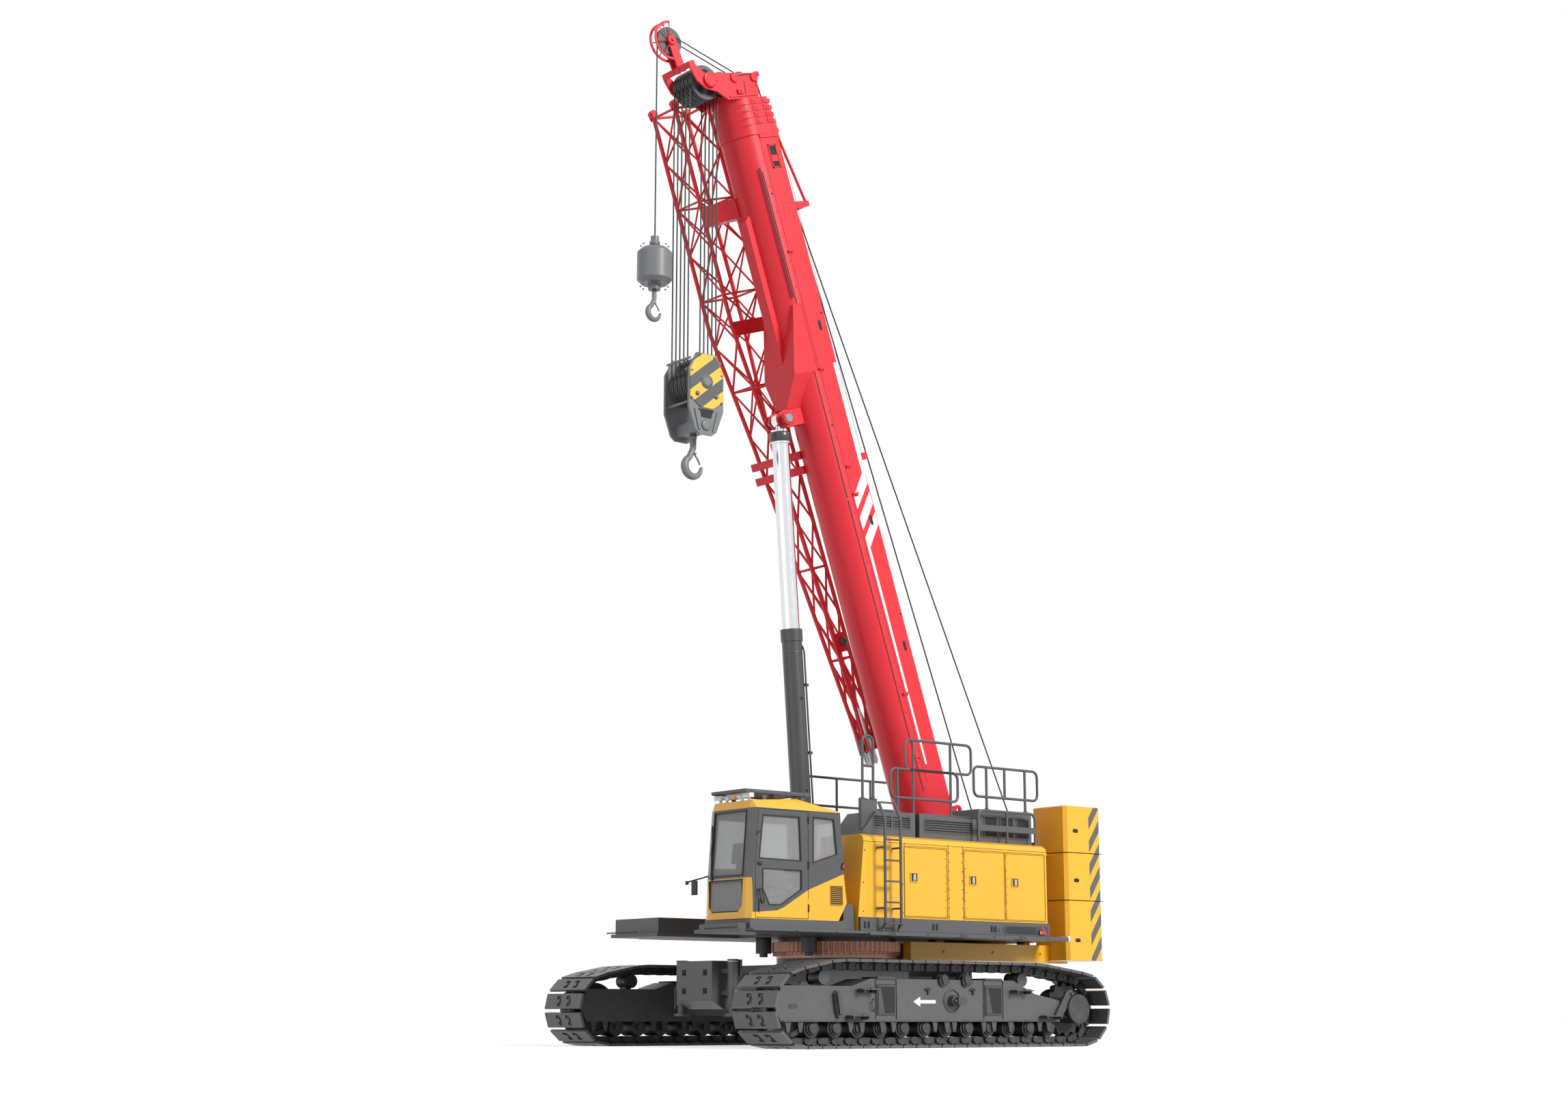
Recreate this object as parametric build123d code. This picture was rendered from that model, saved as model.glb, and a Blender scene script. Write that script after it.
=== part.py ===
"""Crawler crane with a telescopic boom, stowed lattice jib and two hooks.

Frame: origin on the ground under the slewing axis, +X to the front of the machine, +Y to its left
(cab side), +Z up. All sizes are millimetres. Each function below makes the nodes of one group.
"""
from build123d import *
from math import atan2, cos, hypot, pi, radians, sin, sqrt
import os

# ---------------------------------------------------------------- running clearances
SEAT = 0.3            # gap between separate solids that rest on each other
RUN = 6.0             # gap between pieces that move past each other
PIN_GAP = 0.5         # radial gap of a pin in its bore
HINGE_LONG = 110.0    # a door hinge's knuckle

# ---------------------------------------------------------------- tracks
TRACK_GAUGE = 4414.0  # centre to centre of the two tracks
SHOE_WIDTH = 900.0
TRACK_LENGTH = 6245.0
TRACK_MID_X = 200.0   # middle of the tracks ahead of the slewing axis
TRACK_HEIGHT = 1160.0
END_RADIUS = 520.0    # outside of the shoes round idler and sprocket
SHOE_COUNT = 56
SHOE_FILL = 0.93      # share of the pitch that one shoe covers
SHOE_THICK = 38.0
SHOE_WEB = 20.0       # web between the shoes and the chain
PAD_OUT = 90.0        # outer shoe face above the pin line
LINK_IN = 50.0        # inner link edge under the pin line
LINK_WIDTH = 250.0
CARRIER_X = (2220.0, -1490.0)
CARRIER_R = 95.0
ROLLER_R = 125.0
ROLLER_COUNT = 12
ROLLER_HALF = 165.0
GAUGE_TRAVEL = 450.0  # how far each track slides in for transport

# ---------------------------------------------------------------- track side frames
FRAME_HALF = 250.0    # half width of a side frame box
FRAME_WALL = 50.0
FRAME_BOTTOM = 345.0
FRAME_FLOOR = 420.0   # underside of the closed box above the rollers
FRAME_TOP = 910.0
FRAME_NOSE_TOP = 810.0
FRAME_FRONT_X = 3050.0
FRAME_REAR_X = -2080.0

# ---------------------------------------------------------------- carbody
BEAM_X = (1240.0, -760.0)
BEAM_WIDTH = 330.0
BEAM_LOW, BEAM_HIGH = 430.0, 830.0
BEAM_REACH = 2470.0   # beam ends from the middle
BODY_HALF_Y = 900.0
BODY_LOW, BODY_HIGH = 400.0, 1130.0
HUB_R = 900.0
HUB_TOP = 1236.0
WEIGHT_HALF_Y = 400.0
WEIGHT_REAR_X = -2200.0
WEIGHT_FRONT_X = 2600.0
WEIGHT_LOW, WEIGHT_HIGH = 575.0, 1170.0
JACK_X, JACK_Y = 2380.0, 587.0
JACK_TOP, JACK_LOW = 1190.0, 450.0

# ---------------------------------------------------------------- slewing ring
RING_R = 954.0        # tip of the teeth
RING_TEETH = 72
TOOTH_DEPTH = 34.0
RING_LOW, GEAR_LOW, GEAR_HIGH = 1236.3, 1330.0, 1470.0

# ---------------------------------------------------------------- upper structure
DECK_LOW, DECK_HIGH = 1520.0, 1570.0
BASE_LOW = GEAR_HIGH + SEAT
WEB_IN, WEB_OUT = 400.0, 460.0   # the two long frame plates, from the middle
BASE_HALF = 720.0     # half width of the turntable's base plate
HOUSE_OUT, HOUSE_IN = 1600.0, 600.0
WALK_OUT = 150.0      # side walkway beyond the housings
DECK_HALF_Y = HOUSE_OUT + WALK_OUT
FOOT_X, FOOT_Z = -1616.0, 2852.0       # boom foot pin
FOOT_PIN_R = 110.0
BASE_PIN_X, BASE_PIN_Z = 575.3, 2100.0  # lift cylinder foot pin

# ---------------------------------------------------------------- boom (local: s along, t across)
BOOM_ANGLE = 71.0
BOOM_LEFT = 355.0     # half width and radius of the rounded underside
BOOM_AXIS_T = 227.0   # centre of the rounded underside from the foot pin
BOOM_SIDE = 420.0     # flat side above that centre
BOOM_WALL = 14.0
BOOM_START = -300.0
BOOM_END = 11270.0
SECTION_STEP = 26.0   # each inner section is this much smaller all round
SECTION_COUNT = 5
COLLAR_LONG = 105.0
STROKE = 8700.0
BARREL_R, ROD_R = 150.0, 130.0
BARREL_LONG = 3930.0  # barrel end from the foot pin
BARREL_FOOT = 130.0   # half width of the barrel's foot eye
ROD_LONG = 3930.0     # rod, from the eye to its hidden end
CYLINDER_PIN_R = 70.0
EYE_R, EYE_HALF = 110.0, 70.0
EAR_R, EAR_THICK, EAR_BORE = 125.0, 32.0, 48.0
FAIR_LOW = 6975.0     # faired box over the rod eye, along the boom
FAIR_KINK = FAIR_LOW + 488.0
FAIR_TOP = FAIR_LOW + 1520.0
FAIR_TIP_T, FAIR_KINK_T = -410.0, -288.0
FAIR_NARROW = 112.0   # half width of the faired box at its lower end
EYE_AHEAD, EYE_OUT = 119.79, 89.91   # lift cylinder rod eye from the faired box's lower tip
KEEL_LOW, KEEL_TOP, KEEL_T, KEEL_HALF = 7600.0, 9950.0, -225.0, 95.0

JIB_END = 11900.0     # foot end of the stowed jib, along the boom
JIB_EYE_R, JIB_EYE_HALF, JIB_EYE_BORE = 65.0, 30.0, 27.5
JIB_CHORD_R, JIB_LACE_R, JIB_FRAME_R = 32.0, 17.0, 22.0
# s along the boom, t low, t high, y inner, y outer
JIB_STATIONS = (
    (1620.0, 235.0, 420.0, -760.0, -900.0),
    (6580.0, -130.0, 240.0, -700.0, -1150.0),
    (8460.0, -330.0, 380.0, -700.0, -1250.0),
    (JIB_END, -330.0, 330.0, -700.0, -1250.0),
)

# ---------------------------------------------------------------- boom head and hooks
SHEAVE_X, SHEAVE_Z = 2700.0, 14070.0
SHEAVE_R, SHEAVE_COUNT, SHEAVE_PITCH, SHEAVE_THICK = 265.0, 5, 96.0, 60.0
BLOCK_AXLE = 9420.0   # height of the hook block's sheave axle
BLOCK_PIN_R = 55.0
AUX_X, AUX_Z, AUX_R = 3220.0, 14650.0, 215.0
ROPE_R = 11.0
GROOVE_DEPTH, GROOVE_HALF = 20.0, 13.0
HEAD_Y = (305.0, 335.0)      # a head side plate, from the middle
HEAD_PIN_R, GUIDE_PIN_R, AUX_PIN_R = 60.0, 35.0, 40.0
ARM_IN, ARM_THICK = 50.0, 28.0
# s, t, radius of the rope guide sheaves at the top of the head
GUIDES = ((12015.0, 60.0, 190.0), (12000.0, 448.0, 185.0))
BLOCK_TOP, BLOCK_LOW = 9840.0, 8630.0
HOOK_LOW = 8010.0
BALL_R, BALL_TOP, BALL_LOW, BALL_SOCKET = 255.0, 11450.0, 10740.0, 100.0
AUX_HOOK_LOW = 10250.0


# ================================================================ plain helpers
def block(x, y, z):
    """A box from its (low, high) pairs."""
    size = [b - a for a, b in (x, y, z)]
    return Pos((x[0] + x[1]) / 2, (y[0] + y[1]) / 2, (z[0] + z[1]) / 2) * Box(*size)


def plate_xz(points, y):
    """A plate with its outline in X and Z, between two Y values."""
    face = make_face(Polyline(*[(px, 0, pz) for px, pz in points], close=True))
    return Pos(0, y[0], 0) * extrude(face, y[1] - y[0], dir=(0, 1, 0))


def plate_xy(points, z):
    """A plate with its outline in X and Y, between two Z values."""
    face = make_face(Polyline(*[(px, py, 0) for px, py in points], close=True))
    return Pos(0, 0, z[0]) * extrude(face, z[1] - z[0], dir=(0, 0, 1))


def plate_yz(points, x):
    """A plate with its outline in Y and Z, between two X values."""
    face = make_face(Polyline(*[(0, py, pz) for py, pz in points], close=True))
    return Pos(x[0], 0, 0) * extrude(face, x[1] - x[0], dir=(1, 0, 0))


def inset(points, gap):
    """The corners of an outline whose every edge lies a gap further in."""
    ring = points + points[:1]
    area = sum(a[0] * b[1] - b[0] * a[1] for a, b in zip(ring, ring[1:]))
    turn = gap if area > 0 else -gap
    edges = []
    for (ax, az), (bx, bz) in zip(ring, ring[1:]):
        ux, uz = bx - ax, bz - az
        length = hypot(ux, uz)
        edges.append((ax - uz / length * turn, az + ux / length * turn, ux, uz))
    corners = []
    for (ax, az, ux, uz), (bx, bz, vx, vz) in zip(edges[-1:] + edges[:-1], edges):
        share = ((bx - ax) * vz - (bz - az) * vx) / (ux * vz - uz * vx)
        corners.append((ax + ux * share, az + uz * share))
    return corners


def bar(start, end, radius):
    """A round bar between two points."""
    start, end = Vector(*start), Vector(*end)
    plane = Plane(origin=start, z_dir=end - start)
    return extrude(plane * Circle(radius), (end - start).length)


def strut(start, end, radius):
    """A six-sided bar between two points, for thin tubes that repeat often."""
    start, end = Vector(*start), Vector(*end)
    plane = Plane(origin=start, z_dir=end - start)
    return extrude(plane * RegularPolygon(radius, 6), (end - start).length)


def disc_y(x, z, y, radius):
    """A disc or shaft along Y."""
    return bar((x, y[0], z), (x, y[1], z), radius)


def disc_z(x, y, z, radius):
    """A disc or shaft along Z."""
    return Pos(x, y, (z[0] + z[1]) / 2) * Cylinder(radius, z[1] - z[0])


def joined(pieces):
    """One solid from pieces that overlap."""
    pieces = list(pieces)
    return pieces[0].fuse(*pieces[1:]) if len(pieces) > 1 else pieces[0]


def mirrored(shape):
    """The same shape on the other side of the machine."""
    return mirror(shape, about=Plane.XZ)


def both_sides(shapes):
    """The shapes and their mirror images across the machine."""
    shapes = list(shapes)
    return shapes + [mirrored(s) for s in shapes]


# ================================================================ boom frame
ALONG = (cos(radians(BOOM_ANGLE)), sin(radians(BOOM_ANGLE)))
ACROSS = (-ALONG[1], ALONG[0])


def boom_xz(s, t):
    """X and Z of a boom point: s along the boom from the foot pin, t towards its back."""
    return (FOOT_X + s * ALONG[0] + t * ACROSS[0], FOOT_Z + s * ALONG[1] + t * ACROSS[1])


def boom_st(x, z):
    """The boom's s and t of a point in the machine's X and Z."""
    dx, dz = x - FOOT_X, z - FOOT_Z
    return (dx * ALONG[0] + dz * ALONG[1], dx * ACROSS[0] + dz * ACROSS[1])


EYE_S, EYE_T = FAIR_LOW - EYE_AHEAD, FAIR_TIP_T - EYE_OUT
EYE_X, EYE_Z = boom_xz(EYE_S, EYE_T)


def boom_plane(s):
    """Section plane across the boom: its local x is the machine's Y, its local y is t."""
    x, z = boom_xz(s, 0)
    return Plane(origin=(x, 0, z), x_dir=(0, 1, 0), z_dir=(ALONG[0], 0, ALONG[1]))


def boom_plate(points, y):
    """A plate in the plane of the boom's side, outlined by (s, t) points."""
    return plate_xz([boom_xz(s, t) for s, t in points], y)


SIDE = 1 if boom_plane(0).y_dir.X * ACROSS[0] + boom_plane(0).y_dir.Z * ACROSS[1] > 0 else -1


def boom_outline(smaller):
    """The U-shaped boom section, smaller all round by the given amount."""
    r = BOOM_LEFT - smaller
    top = BOOM_AXIS_T + BOOM_SIDE - smaller
    low = BOOM_AXIS_T
    edge = 40.0
    path = [
        ThreePointArc((-r, SIDE * low), (0, SIDE * (low - r)), (r, SIDE * low)),
        Line((r, SIDE * low), (r, SIDE * (top - edge))),
        Line((r, SIDE * (top - edge)), (r - edge, SIDE * top)),
        Line((r - edge, SIDE * top), (-r + edge, SIDE * top)),
        Line((-r + edge, SIDE * top), (-r, SIDE * (top - edge))),
        Line((-r, SIDE * (top - edge)), (-r, SIDE * low)),
    ]
    return make_face(path)


def boom_tube(start, end, smaller, wall):
    """A hollow length of boom section."""
    outer = extrude(boom_plane(start) * boom_outline(smaller), end - start)
    inner = extrude(boom_plane(start - 1) * boom_outline(smaller + wall), end - start + 2)
    return outer - inner


# ================================================================ tracks
PIN_R = END_RADIUS - PAD_OUT
IDLER_X = TRACK_MID_X + TRACK_LENGTH / 2 - END_RADIUS
SPROCKET_X = TRACK_MID_X - TRACK_LENGTH / 2 + END_RADIUS
AXLE_Z = END_RADIUS


def track_path():
    """The chain's pin line as (kind, length, data) pieces, from under the sprocket forwards."""
    top = TRACK_HEIGHT - PAD_OUT
    front, rear = CARRIER_X
    rise = []
    for centre, corner in ((IDLER_X, front), (SPROCKET_X, rear)):
        dx, dz = abs(corner - centre), top - AXLE_Z
        rise.append(acos_of(PIN_R, hypot(dx, dz)) + atan2(dz, dx))
    f_end = pi - rise[0]
    f_pt = (IDLER_X + PIN_R * cos(f_end), AXLE_Z + PIN_R * sin(f_end))
    r_pt = (SPROCKET_X + PIN_R * cos(rise[1]), AXLE_Z + PIN_R * sin(rise[1]))
    return [
        line_piece((SPROCKET_X, AXLE_Z - PIN_R), (IDLER_X, AXLE_Z - PIN_R)),
        arc_piece((IDLER_X, AXLE_Z), -pi / 2, f_end),
        line_piece(f_pt, (front, top)),
        line_piece((front, top), (rear, top)),
        line_piece((rear, top), r_pt),
        arc_piece((SPROCKET_X, AXLE_Z), rise[1], 1.5 * pi),
    ]


def acos_of(near, far):
    """Angle between a circle's radius to a tangent point and the line to the outside point."""
    return atan2(sqrt(far * far - near * near), near)


def line_piece(a, b):
    """A straight run of the pin line."""
    return ("line", hypot(b[0] - a[0], b[1] - a[1]), (a, b))


def arc_piece(centre, a0, a1):
    """A run of the pin line round a wheel."""
    return ("arc", PIN_R * (a1 - a0), (centre, a0, a1))


def pin_line(pieces, distance, offset):
    """The point at a distance along the pin line, moved outwards by offset."""
    for kind, length, data in pieces:
        if distance <= length:
            break
        distance -= length
    share = min(distance / length, 1.0)
    if kind == "line":
        (ax, az), (bx, bz) = data
        ux, uz = (bx - ax) / length, (bz - az) / length
        return (ax + ux * distance + uz * offset, az + uz * distance - ux * offset)
    (cx, cz), a0, a1 = data
    a = a0 + (a1 - a0) * share
    return (cx + (PIN_R + offset) * cos(a), cz + (PIN_R + offset) * sin(a))


def top_corner(index):
    """The chain's bend over a carrier roller: the bend, and the way to the inside of both runs."""
    pieces = track_path()
    flat, slope = (pieces[3], pieces[2]) if index == 0 else (pieces[3], pieces[4])
    bend = (CARRIER_X[index], TRACK_HEIGHT - PAD_OUT)
    inside = []
    for _, length, ((ax, az), (bx, bz)) in (flat, slope):
        inside.append((-(bz - az) / length, (bx - ax) / length))
    nx, nz = (inside[0][0] + inside[1][0]) / 2, (inside[0][1] + inside[1][1]) / 2
    size = hypot(nx, nz)
    return bend, (nx / size, nz / size), size


def bend_inside(index, depth):
    """The point that lies a depth inside both runs of the chain at a carrier roller."""
    (bx, bz), (nx, nz), size = top_corner(index)
    reach = depth / size
    return (bx + nx * reach, bz + nz * reach)


def chain_inside():
    """The face inside the chain: arcs round the two wheels and straight runs between."""
    pieces = track_path()
    front, rear = bend_inside(0, LINK_IN), bend_inside(1, LINK_IN)
    ends = []
    for index in (1, 5):
        _, _, ((cx, cz), a0, a1) = pieces[index]
        r = PIN_R - LINK_IN
        ends.append([(cx + r * cos(a), cz + r * sin(a)) for a in (a0, (a0 + a1) / 2, a1)])
    idler, drive = ends
    at = lambda point: (point[0], 0, point[1])
    return make_face([
        Line(at(drive[2]), at(idler[0])), ThreePointArc(*[at(q) for q in idler]),
        Line(at(idler[2]), at(front)), Line(at(front), at(rear)), Line(at(rear), at(drive[0])),
        ThreePointArc(*[at(q) for q in drive]),
    ])


def track_loop(y_mid):
    """One closed track: a chain loop with every shoe standing out of it."""
    pieces = track_path()
    total = sum(p[1] for p in pieces)
    pitch = total / SHOE_COUNT
    half = pitch * SHOE_FILL / 2
    root = PAD_OUT - SHOE_THICK
    outer = []
    for i in range(SHOE_COUNT):
        mid = (i + 0.5) * pitch
        for step, offset in ((-half, root), (-half, PAD_OUT), (half, PAD_OUT), (half, root)):
            outer.append(pin_line(pieces, (mid + step) % total, offset))
    pads = [pin_line(pieces, (i + 0.5) * pitch, root - SHOE_WEB) for i in range(SHOE_COUNT)]
    shoes = plate_xz(outer, (y_mid - SHOE_WIDTH / 2, y_mid + SHOE_WIDTH / 2))
    hollow = plate_xz(pads, (y_mid - SHOE_WIDTH / 2 - 1, y_mid + SHOE_WIDTH / 2 + 1))
    chain = plate_xz(pads, (y_mid - LINK_WIDTH / 2, y_mid + LINK_WIDTH / 2))
    bore = Pos(0, y_mid - LINK_WIDTH / 2 - 1, 0) * extrude(chain_inside(), LINK_WIDTH + 2, dir=(0, 1, 0))
    return (shoes - hollow).fuse(chain - bore)


def track_wheels(y_mid):
    """Idler, sprocket, rollers and carrier rollers of one track, as separate solids."""
    wheel_r = PIN_R - LINK_IN - SEAT
    channel = FRAME_HALF - FRAME_WALL - SEAT
    wheels = []
    rim, web = 70.0, 35.0
    idler = disc_y(IDLER_X, AXLE_Z, (y_mid - rim, y_mid + rim), wheel_r)
    groove = disc_y(IDLER_X, AXLE_Z, (y_mid + web, y_mid + rim + 1), wheel_r - 70)
    groove -= disc_y(IDLER_X, AXLE_Z, (y_mid + web, y_mid + rim + 1), 150)
    idler -= groove
    idler -= mirror(groove, about=Plane(origin=(0, y_mid, 0), z_dir=(0, 1, 0)))
    wheels.append(idler + disc_y(IDLER_X, AXLE_Z, (y_mid - channel, y_mid + channel), 70))
    wheels.append(sprocket(y_mid, wheel_r, rim, channel))
    span = (FRAME_REAR_X + 150, IDLER_X - 330)
    for i in range(ROLLER_COUNT):
        x = span[0] + (span[1] - span[0]) * i / (ROLLER_COUNT - 1)
        z = AXLE_Z - PIN_R + LINK_IN + ROLLER_R + SEAT
        roller = disc_y(x, z, (y_mid - ROLLER_HALF, y_mid + ROLLER_HALF), ROLLER_R)
        wheels.append(roller + disc_y(x, z, (y_mid - channel, y_mid + channel), 40))
    return wheels


def sprocket(y_mid, wheel_r, rim, channel):
    """Toothed drive wheel with its outer hub cap and inner final drive."""
    teeth, depth = 14, 45.0
    points = []
    for i in range(teeth):
        for share, radius in ((0.0, wheel_r - depth), (0.25, wheel_r), (0.5, wheel_r), (0.75, wheel_r - depth)):
            a = 2 * pi * (i + share) / teeth
            points.append((SPROCKET_X + radius * cos(a), AXLE_Z + radius * sin(a)))
    wheel = plate_xz(points, (y_mid - rim * 0.7, y_mid + rim * 0.7))
    out = 1 if y_mid > 0 else -1
    cap = sorted((y_mid, y_mid + out * 330))
    drive = sorted((y_mid, y_mid - out * channel))
    return joined([wheel, disc_y(SPROCKET_X, AXLE_Z, cap, 200), disc_y(SPROCKET_X, AXLE_Z, drive, 240)])


def side_frame(y_mid):
    """Box beam between the track's wheels, with windows for the two cross beams."""
    out = 1 if y_mid > 0 else -1
    outline = [
        (FRAME_REAR_X, FRAME_BOTTOM), (FRAME_FRONT_X, FRAME_BOTTOM), (FRAME_FRONT_X + 100, 520),
        (FRAME_FRONT_X, FRAME_NOSE_TOP), (1850, FRAME_NOSE_TOP), (1510, FRAME_TOP), (-1160, FRAME_TOP),
        (-1580, 730), (FRAME_REAR_X, 640),
    ]
    frame = plate_xz(outline, (y_mid - FRAME_HALF, y_mid + FRAME_HALF))
    inside = FRAME_HALF - FRAME_WALL
    for x, z in (
        ((FRAME_REAR_X - 1, FRAME_FRONT_X + 101), (FRAME_BOTTOM - 1, FRAME_FLOOR)),
        ((IDLER_X - 420, FRAME_FRONT_X + 101), (FRAME_BOTTOM - 1, FRAME_TOP)),
        ((FRAME_REAR_X - 1, SPROCKET_X + 410), (FRAME_BOTTOM - 1, FRAME_TOP)),
    ):
        frame -= block(x, (y_mid - inside, y_mid + inside), z)
    inner_y = sorted((y_mid - out * FRAME_HALF, y_mid - out * inside))
    frame += disc_y(SPROCKET_X, AXLE_Z, inner_y, 290)
    frame += block((SPROCKET_X, FRAME_REAR_X + 60), inner_y, (FRAME_BOTTOM, 640))
    sleeve_y = sorted((y_mid - out * (FRAME_HALF + 170), y_mid - out * (FRAME_HALF - 10)))
    for x in BEAM_X:
        half = BEAM_WIDTH / 2 + RUN
        frame += block((x - half - 35, x + half + 35), sleeve_y, (BEAM_LOW - 41, BEAM_HIGH + 41))
    for x in BEAM_X:
        half = BEAM_WIDTH / 2 + RUN
        frame -= block((x - half, x + half), (y_mid - 600, y_mid + 600), (BEAM_LOW - SEAT, BEAM_HIGH + RUN))
    for index in range(len(CARRIER_X)):
        frame += carrier_stand(index, y_mid)
    return frame


def carrier_stand(index, y_mid):
    """Carrier roller on its stand, over the side frame."""
    x, z = bend_inside(index, LINK_IN + CARRIER_R + SEAT)
    roller = disc_y(x, z, (y_mid - 110, y_mid + 110), CARRIER_R)
    post = block((x - 45, x + 45), (y_mid - 80, y_mid + 80), (700, z))
    return roller.fuse(post)


# ================================================================ carbody
def carbody():
    """Centre box with the ring seat and the two cross beams that carry the tracks."""
    body = block((BEAM_X[1] - 190, BEAM_X[0] + 190), (-BODY_HALF_Y, BODY_HALF_Y), (BODY_LOW, BODY_HIGH))
    cuts = []
    for sx, x_edge in ((1, BEAM_X[0] + 190), (-1, BEAM_X[1] - 190)):
        for sy in (1, -1):
            points = [
                (x_edge + sx, sy * (BODY_HALF_Y + 1)), (x_edge + sx, sy * 520),
                (x_edge - sx * 380, sy * (BODY_HALF_Y + 1)),
            ]
            cuts.append(plate_xy(points, (BEAM_HIGH + 60, BODY_HIGH + 1)))
    for cut in cuts:
        body -= cut
    body += disc_z(0, 0, (BODY_LOW, HUB_TOP), HUB_R - 20)
    for x in BEAM_X:
        body += block((x - BEAM_WIDTH / 2, x + BEAM_WIDTH / 2), (-BEAM_REACH, BEAM_REACH), (BEAM_LOW, BEAM_HIGH))
    for x0, x1 in ((BEAM_X[0] + 150, JACK_X - 150), (WEIGHT_REAR_X + 420, BEAM_X[1] - 150)):
        body += block((x0, x1), (-330, 330), (560, 1000))
    return body


def carbody_weights():
    """Front and rear ballast boxes with their lifting slots."""
    out = []
    for face, back in ((WEIGHT_FRONT_X, JACK_X - 150 + SEAT), (WEIGHT_REAR_X, WEIGHT_REAR_X + 420 - SEAT)):
        toe = back + (face - back) * 0.45
        box = plate_xz(
            [(back, WEIGHT_LOW - 60), (toe, WEIGHT_LOW - 60), (face, WEIGHT_LOW + 60), (face, WEIGHT_HIGH),
             (back, WEIGHT_HIGH)],
            (-WEIGHT_HALF_Y, WEIGHT_HALF_Y))
        for y in (-240, 240):
            for z in (760, 1010):
                box -= block(sorted((face - (face - back) * 0.2, face + (face - back) * 0.1)),
                             (y - 45, y + 45), (z - 40, z + 40))
        out.append(box)
    return out


def jack_cylinders():
    """Four assembly jacks on brackets beside the ballast boxes."""
    rear_x = WEIGHT_REAR_X + 210
    out = []
    for x in (JACK_X, rear_x):
        for y in (JACK_Y, -JACK_Y):
            sy = 1 if y > 0 else -1
            jack = disc_z(x, y, (JACK_LOW + 120, JACK_TOP), 75)
            jack += disc_z(x, y, (JACK_LOW, JACK_LOW + 121), 55)
            jack += disc_z(x, y, (JACK_LOW - 30, JACK_LOW + 5), 110)
            arm = sorted((sy * (WEIGHT_HALF_Y + SEAT), y))
            jack += block((x - 60, x + 60), arm, (700, 760))
            jack += block((x - 60, x + 60), arm, (1000, 1060))
            out.append(jack)
    return out


def slew_ring():
    """Toothed outer ring with its lower flange."""
    points = []
    for i in range(RING_TEETH):
        for share, radius in ((0.0, RING_R - TOOTH_DEPTH), (0.3, RING_R), (0.55, RING_R), (0.85, RING_R - TOOTH_DEPTH)):
            a = 2 * pi * (i + share) / RING_TEETH
            points.append((radius * cos(a), radius * sin(a)))
    ring = plate_xy(points, (GEAR_LOW, GEAR_HIGH))
    ring += disc_z(0, 0, (RING_LOW, GEAR_LOW + 1), RING_R - 70)
    return ring - disc_z(0, 0, (RING_LOW - 1, GEAR_HIGH + 1), 640)


# ================================================================ upper structure
WEB_FRONT = 1450.0    # front end of the two long plates
WEB_REAR = -4080.0


def web_outline():
    """Side outline of the two long plates that carry the boom, the cylinder and the winches."""
    low, pin, foot = DECK_LOW, BASE_PIN_X, FOOT_X
    return [
        (WEB_FRONT, low), (WEB_FRONT, low + 240), (WEB_FRONT - 550, BASE_PIN_Z + 80),
        (pin + 190, BASE_PIN_Z + 190), (pin - 190, BASE_PIN_Z + 190), (pin - 515, BASE_PIN_Z + 80),
        (foot + 716, FOOT_Z - 292), (foot + 330, FOOT_Z + 228), (foot + 130, FOOT_Z + 338),
        (foot - 200, FOOT_Z + 338), (foot - 420, FOOT_Z + 108), (foot - 784, FOOT_Z + 8),
        (WEB_REAR + 180, FOOT_Z + 268), (WEB_REAR, FOOT_Z + 208), (WEB_REAR, FOOT_Z - 132),
        (WEB_REAR + 580, low + 530), (WEB_REAR + 730, low),
    ]


def revolving_frame():
    """Turntable base plate, two boom plates and cross members."""
    rear = WEB_REAR + 730
    base = block((rear, WEB_FRONT), (-BASE_HALF, BASE_HALF), (DECK_LOW, DECK_HIGH))
    base += disc_z(0, 0, (BASE_LOW, DECK_LOW), HUB_R - 40)
    web = plate_xz(web_outline(), (WEB_IN, WEB_OUT))
    web -= disc_y(FOOT_X, FOOT_Z, (WEB_IN - 1, WEB_OUT + 1), FOOT_PIN_R + SEAT)
    boss = disc_y(FOOT_X, FOOT_Z, (WEB_OUT, WEB_OUT + 40), FOOT_PIN_R + 100)
    boss -= disc_y(FOOT_X, FOOT_Z, (WEB_OUT - 1, WEB_OUT + 41), FOOT_PIN_R + SEAT)
    web += boss
    frame = joined([base] + both_sides([web]))
    for x, rise in (((rear - 50, rear + 10), 480), ((FOOT_X + 716, FOOT_X + 776), 780),
                    ((WEB_FRONT - 70, WEB_FRONT), 220)):
        frame += block(x, (-WEB_IN - 1, WEB_IN + 1), (DECK_LOW, DECK_LOW + rise))
    return frame


def boom_foot_pin():
    """Pin through the frame plates and the boom foot, with its end plates."""
    reach = WEB_OUT + 40 + SEAT
    pin = disc_y(FOOT_X, FOOT_Z, (-reach, reach), FOOT_PIN_R)
    for side in (1, -1):
        pin += disc_y(FOOT_X, FOOT_Z, sorted((side * reach, side * (reach + 25))), 150)
    return pin


def cylinder_foot_pin():
    """Pin of the lift cylinder between the frame plates."""
    return disc_y(BASE_PIN_X, BASE_PIN_Z, (-WEB_IN + SEAT, WEB_IN - SEAT), CYLINDER_PIN_R)


DECK_REAR = -3200.0
LEFT_FRONT, RIGHT_FRONT = 3050.0, 2900.0
SKIRT = 40.0          # thickness of the plates under the housings
SKIRT_HIGH = 200.0    # their height above the deck


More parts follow.
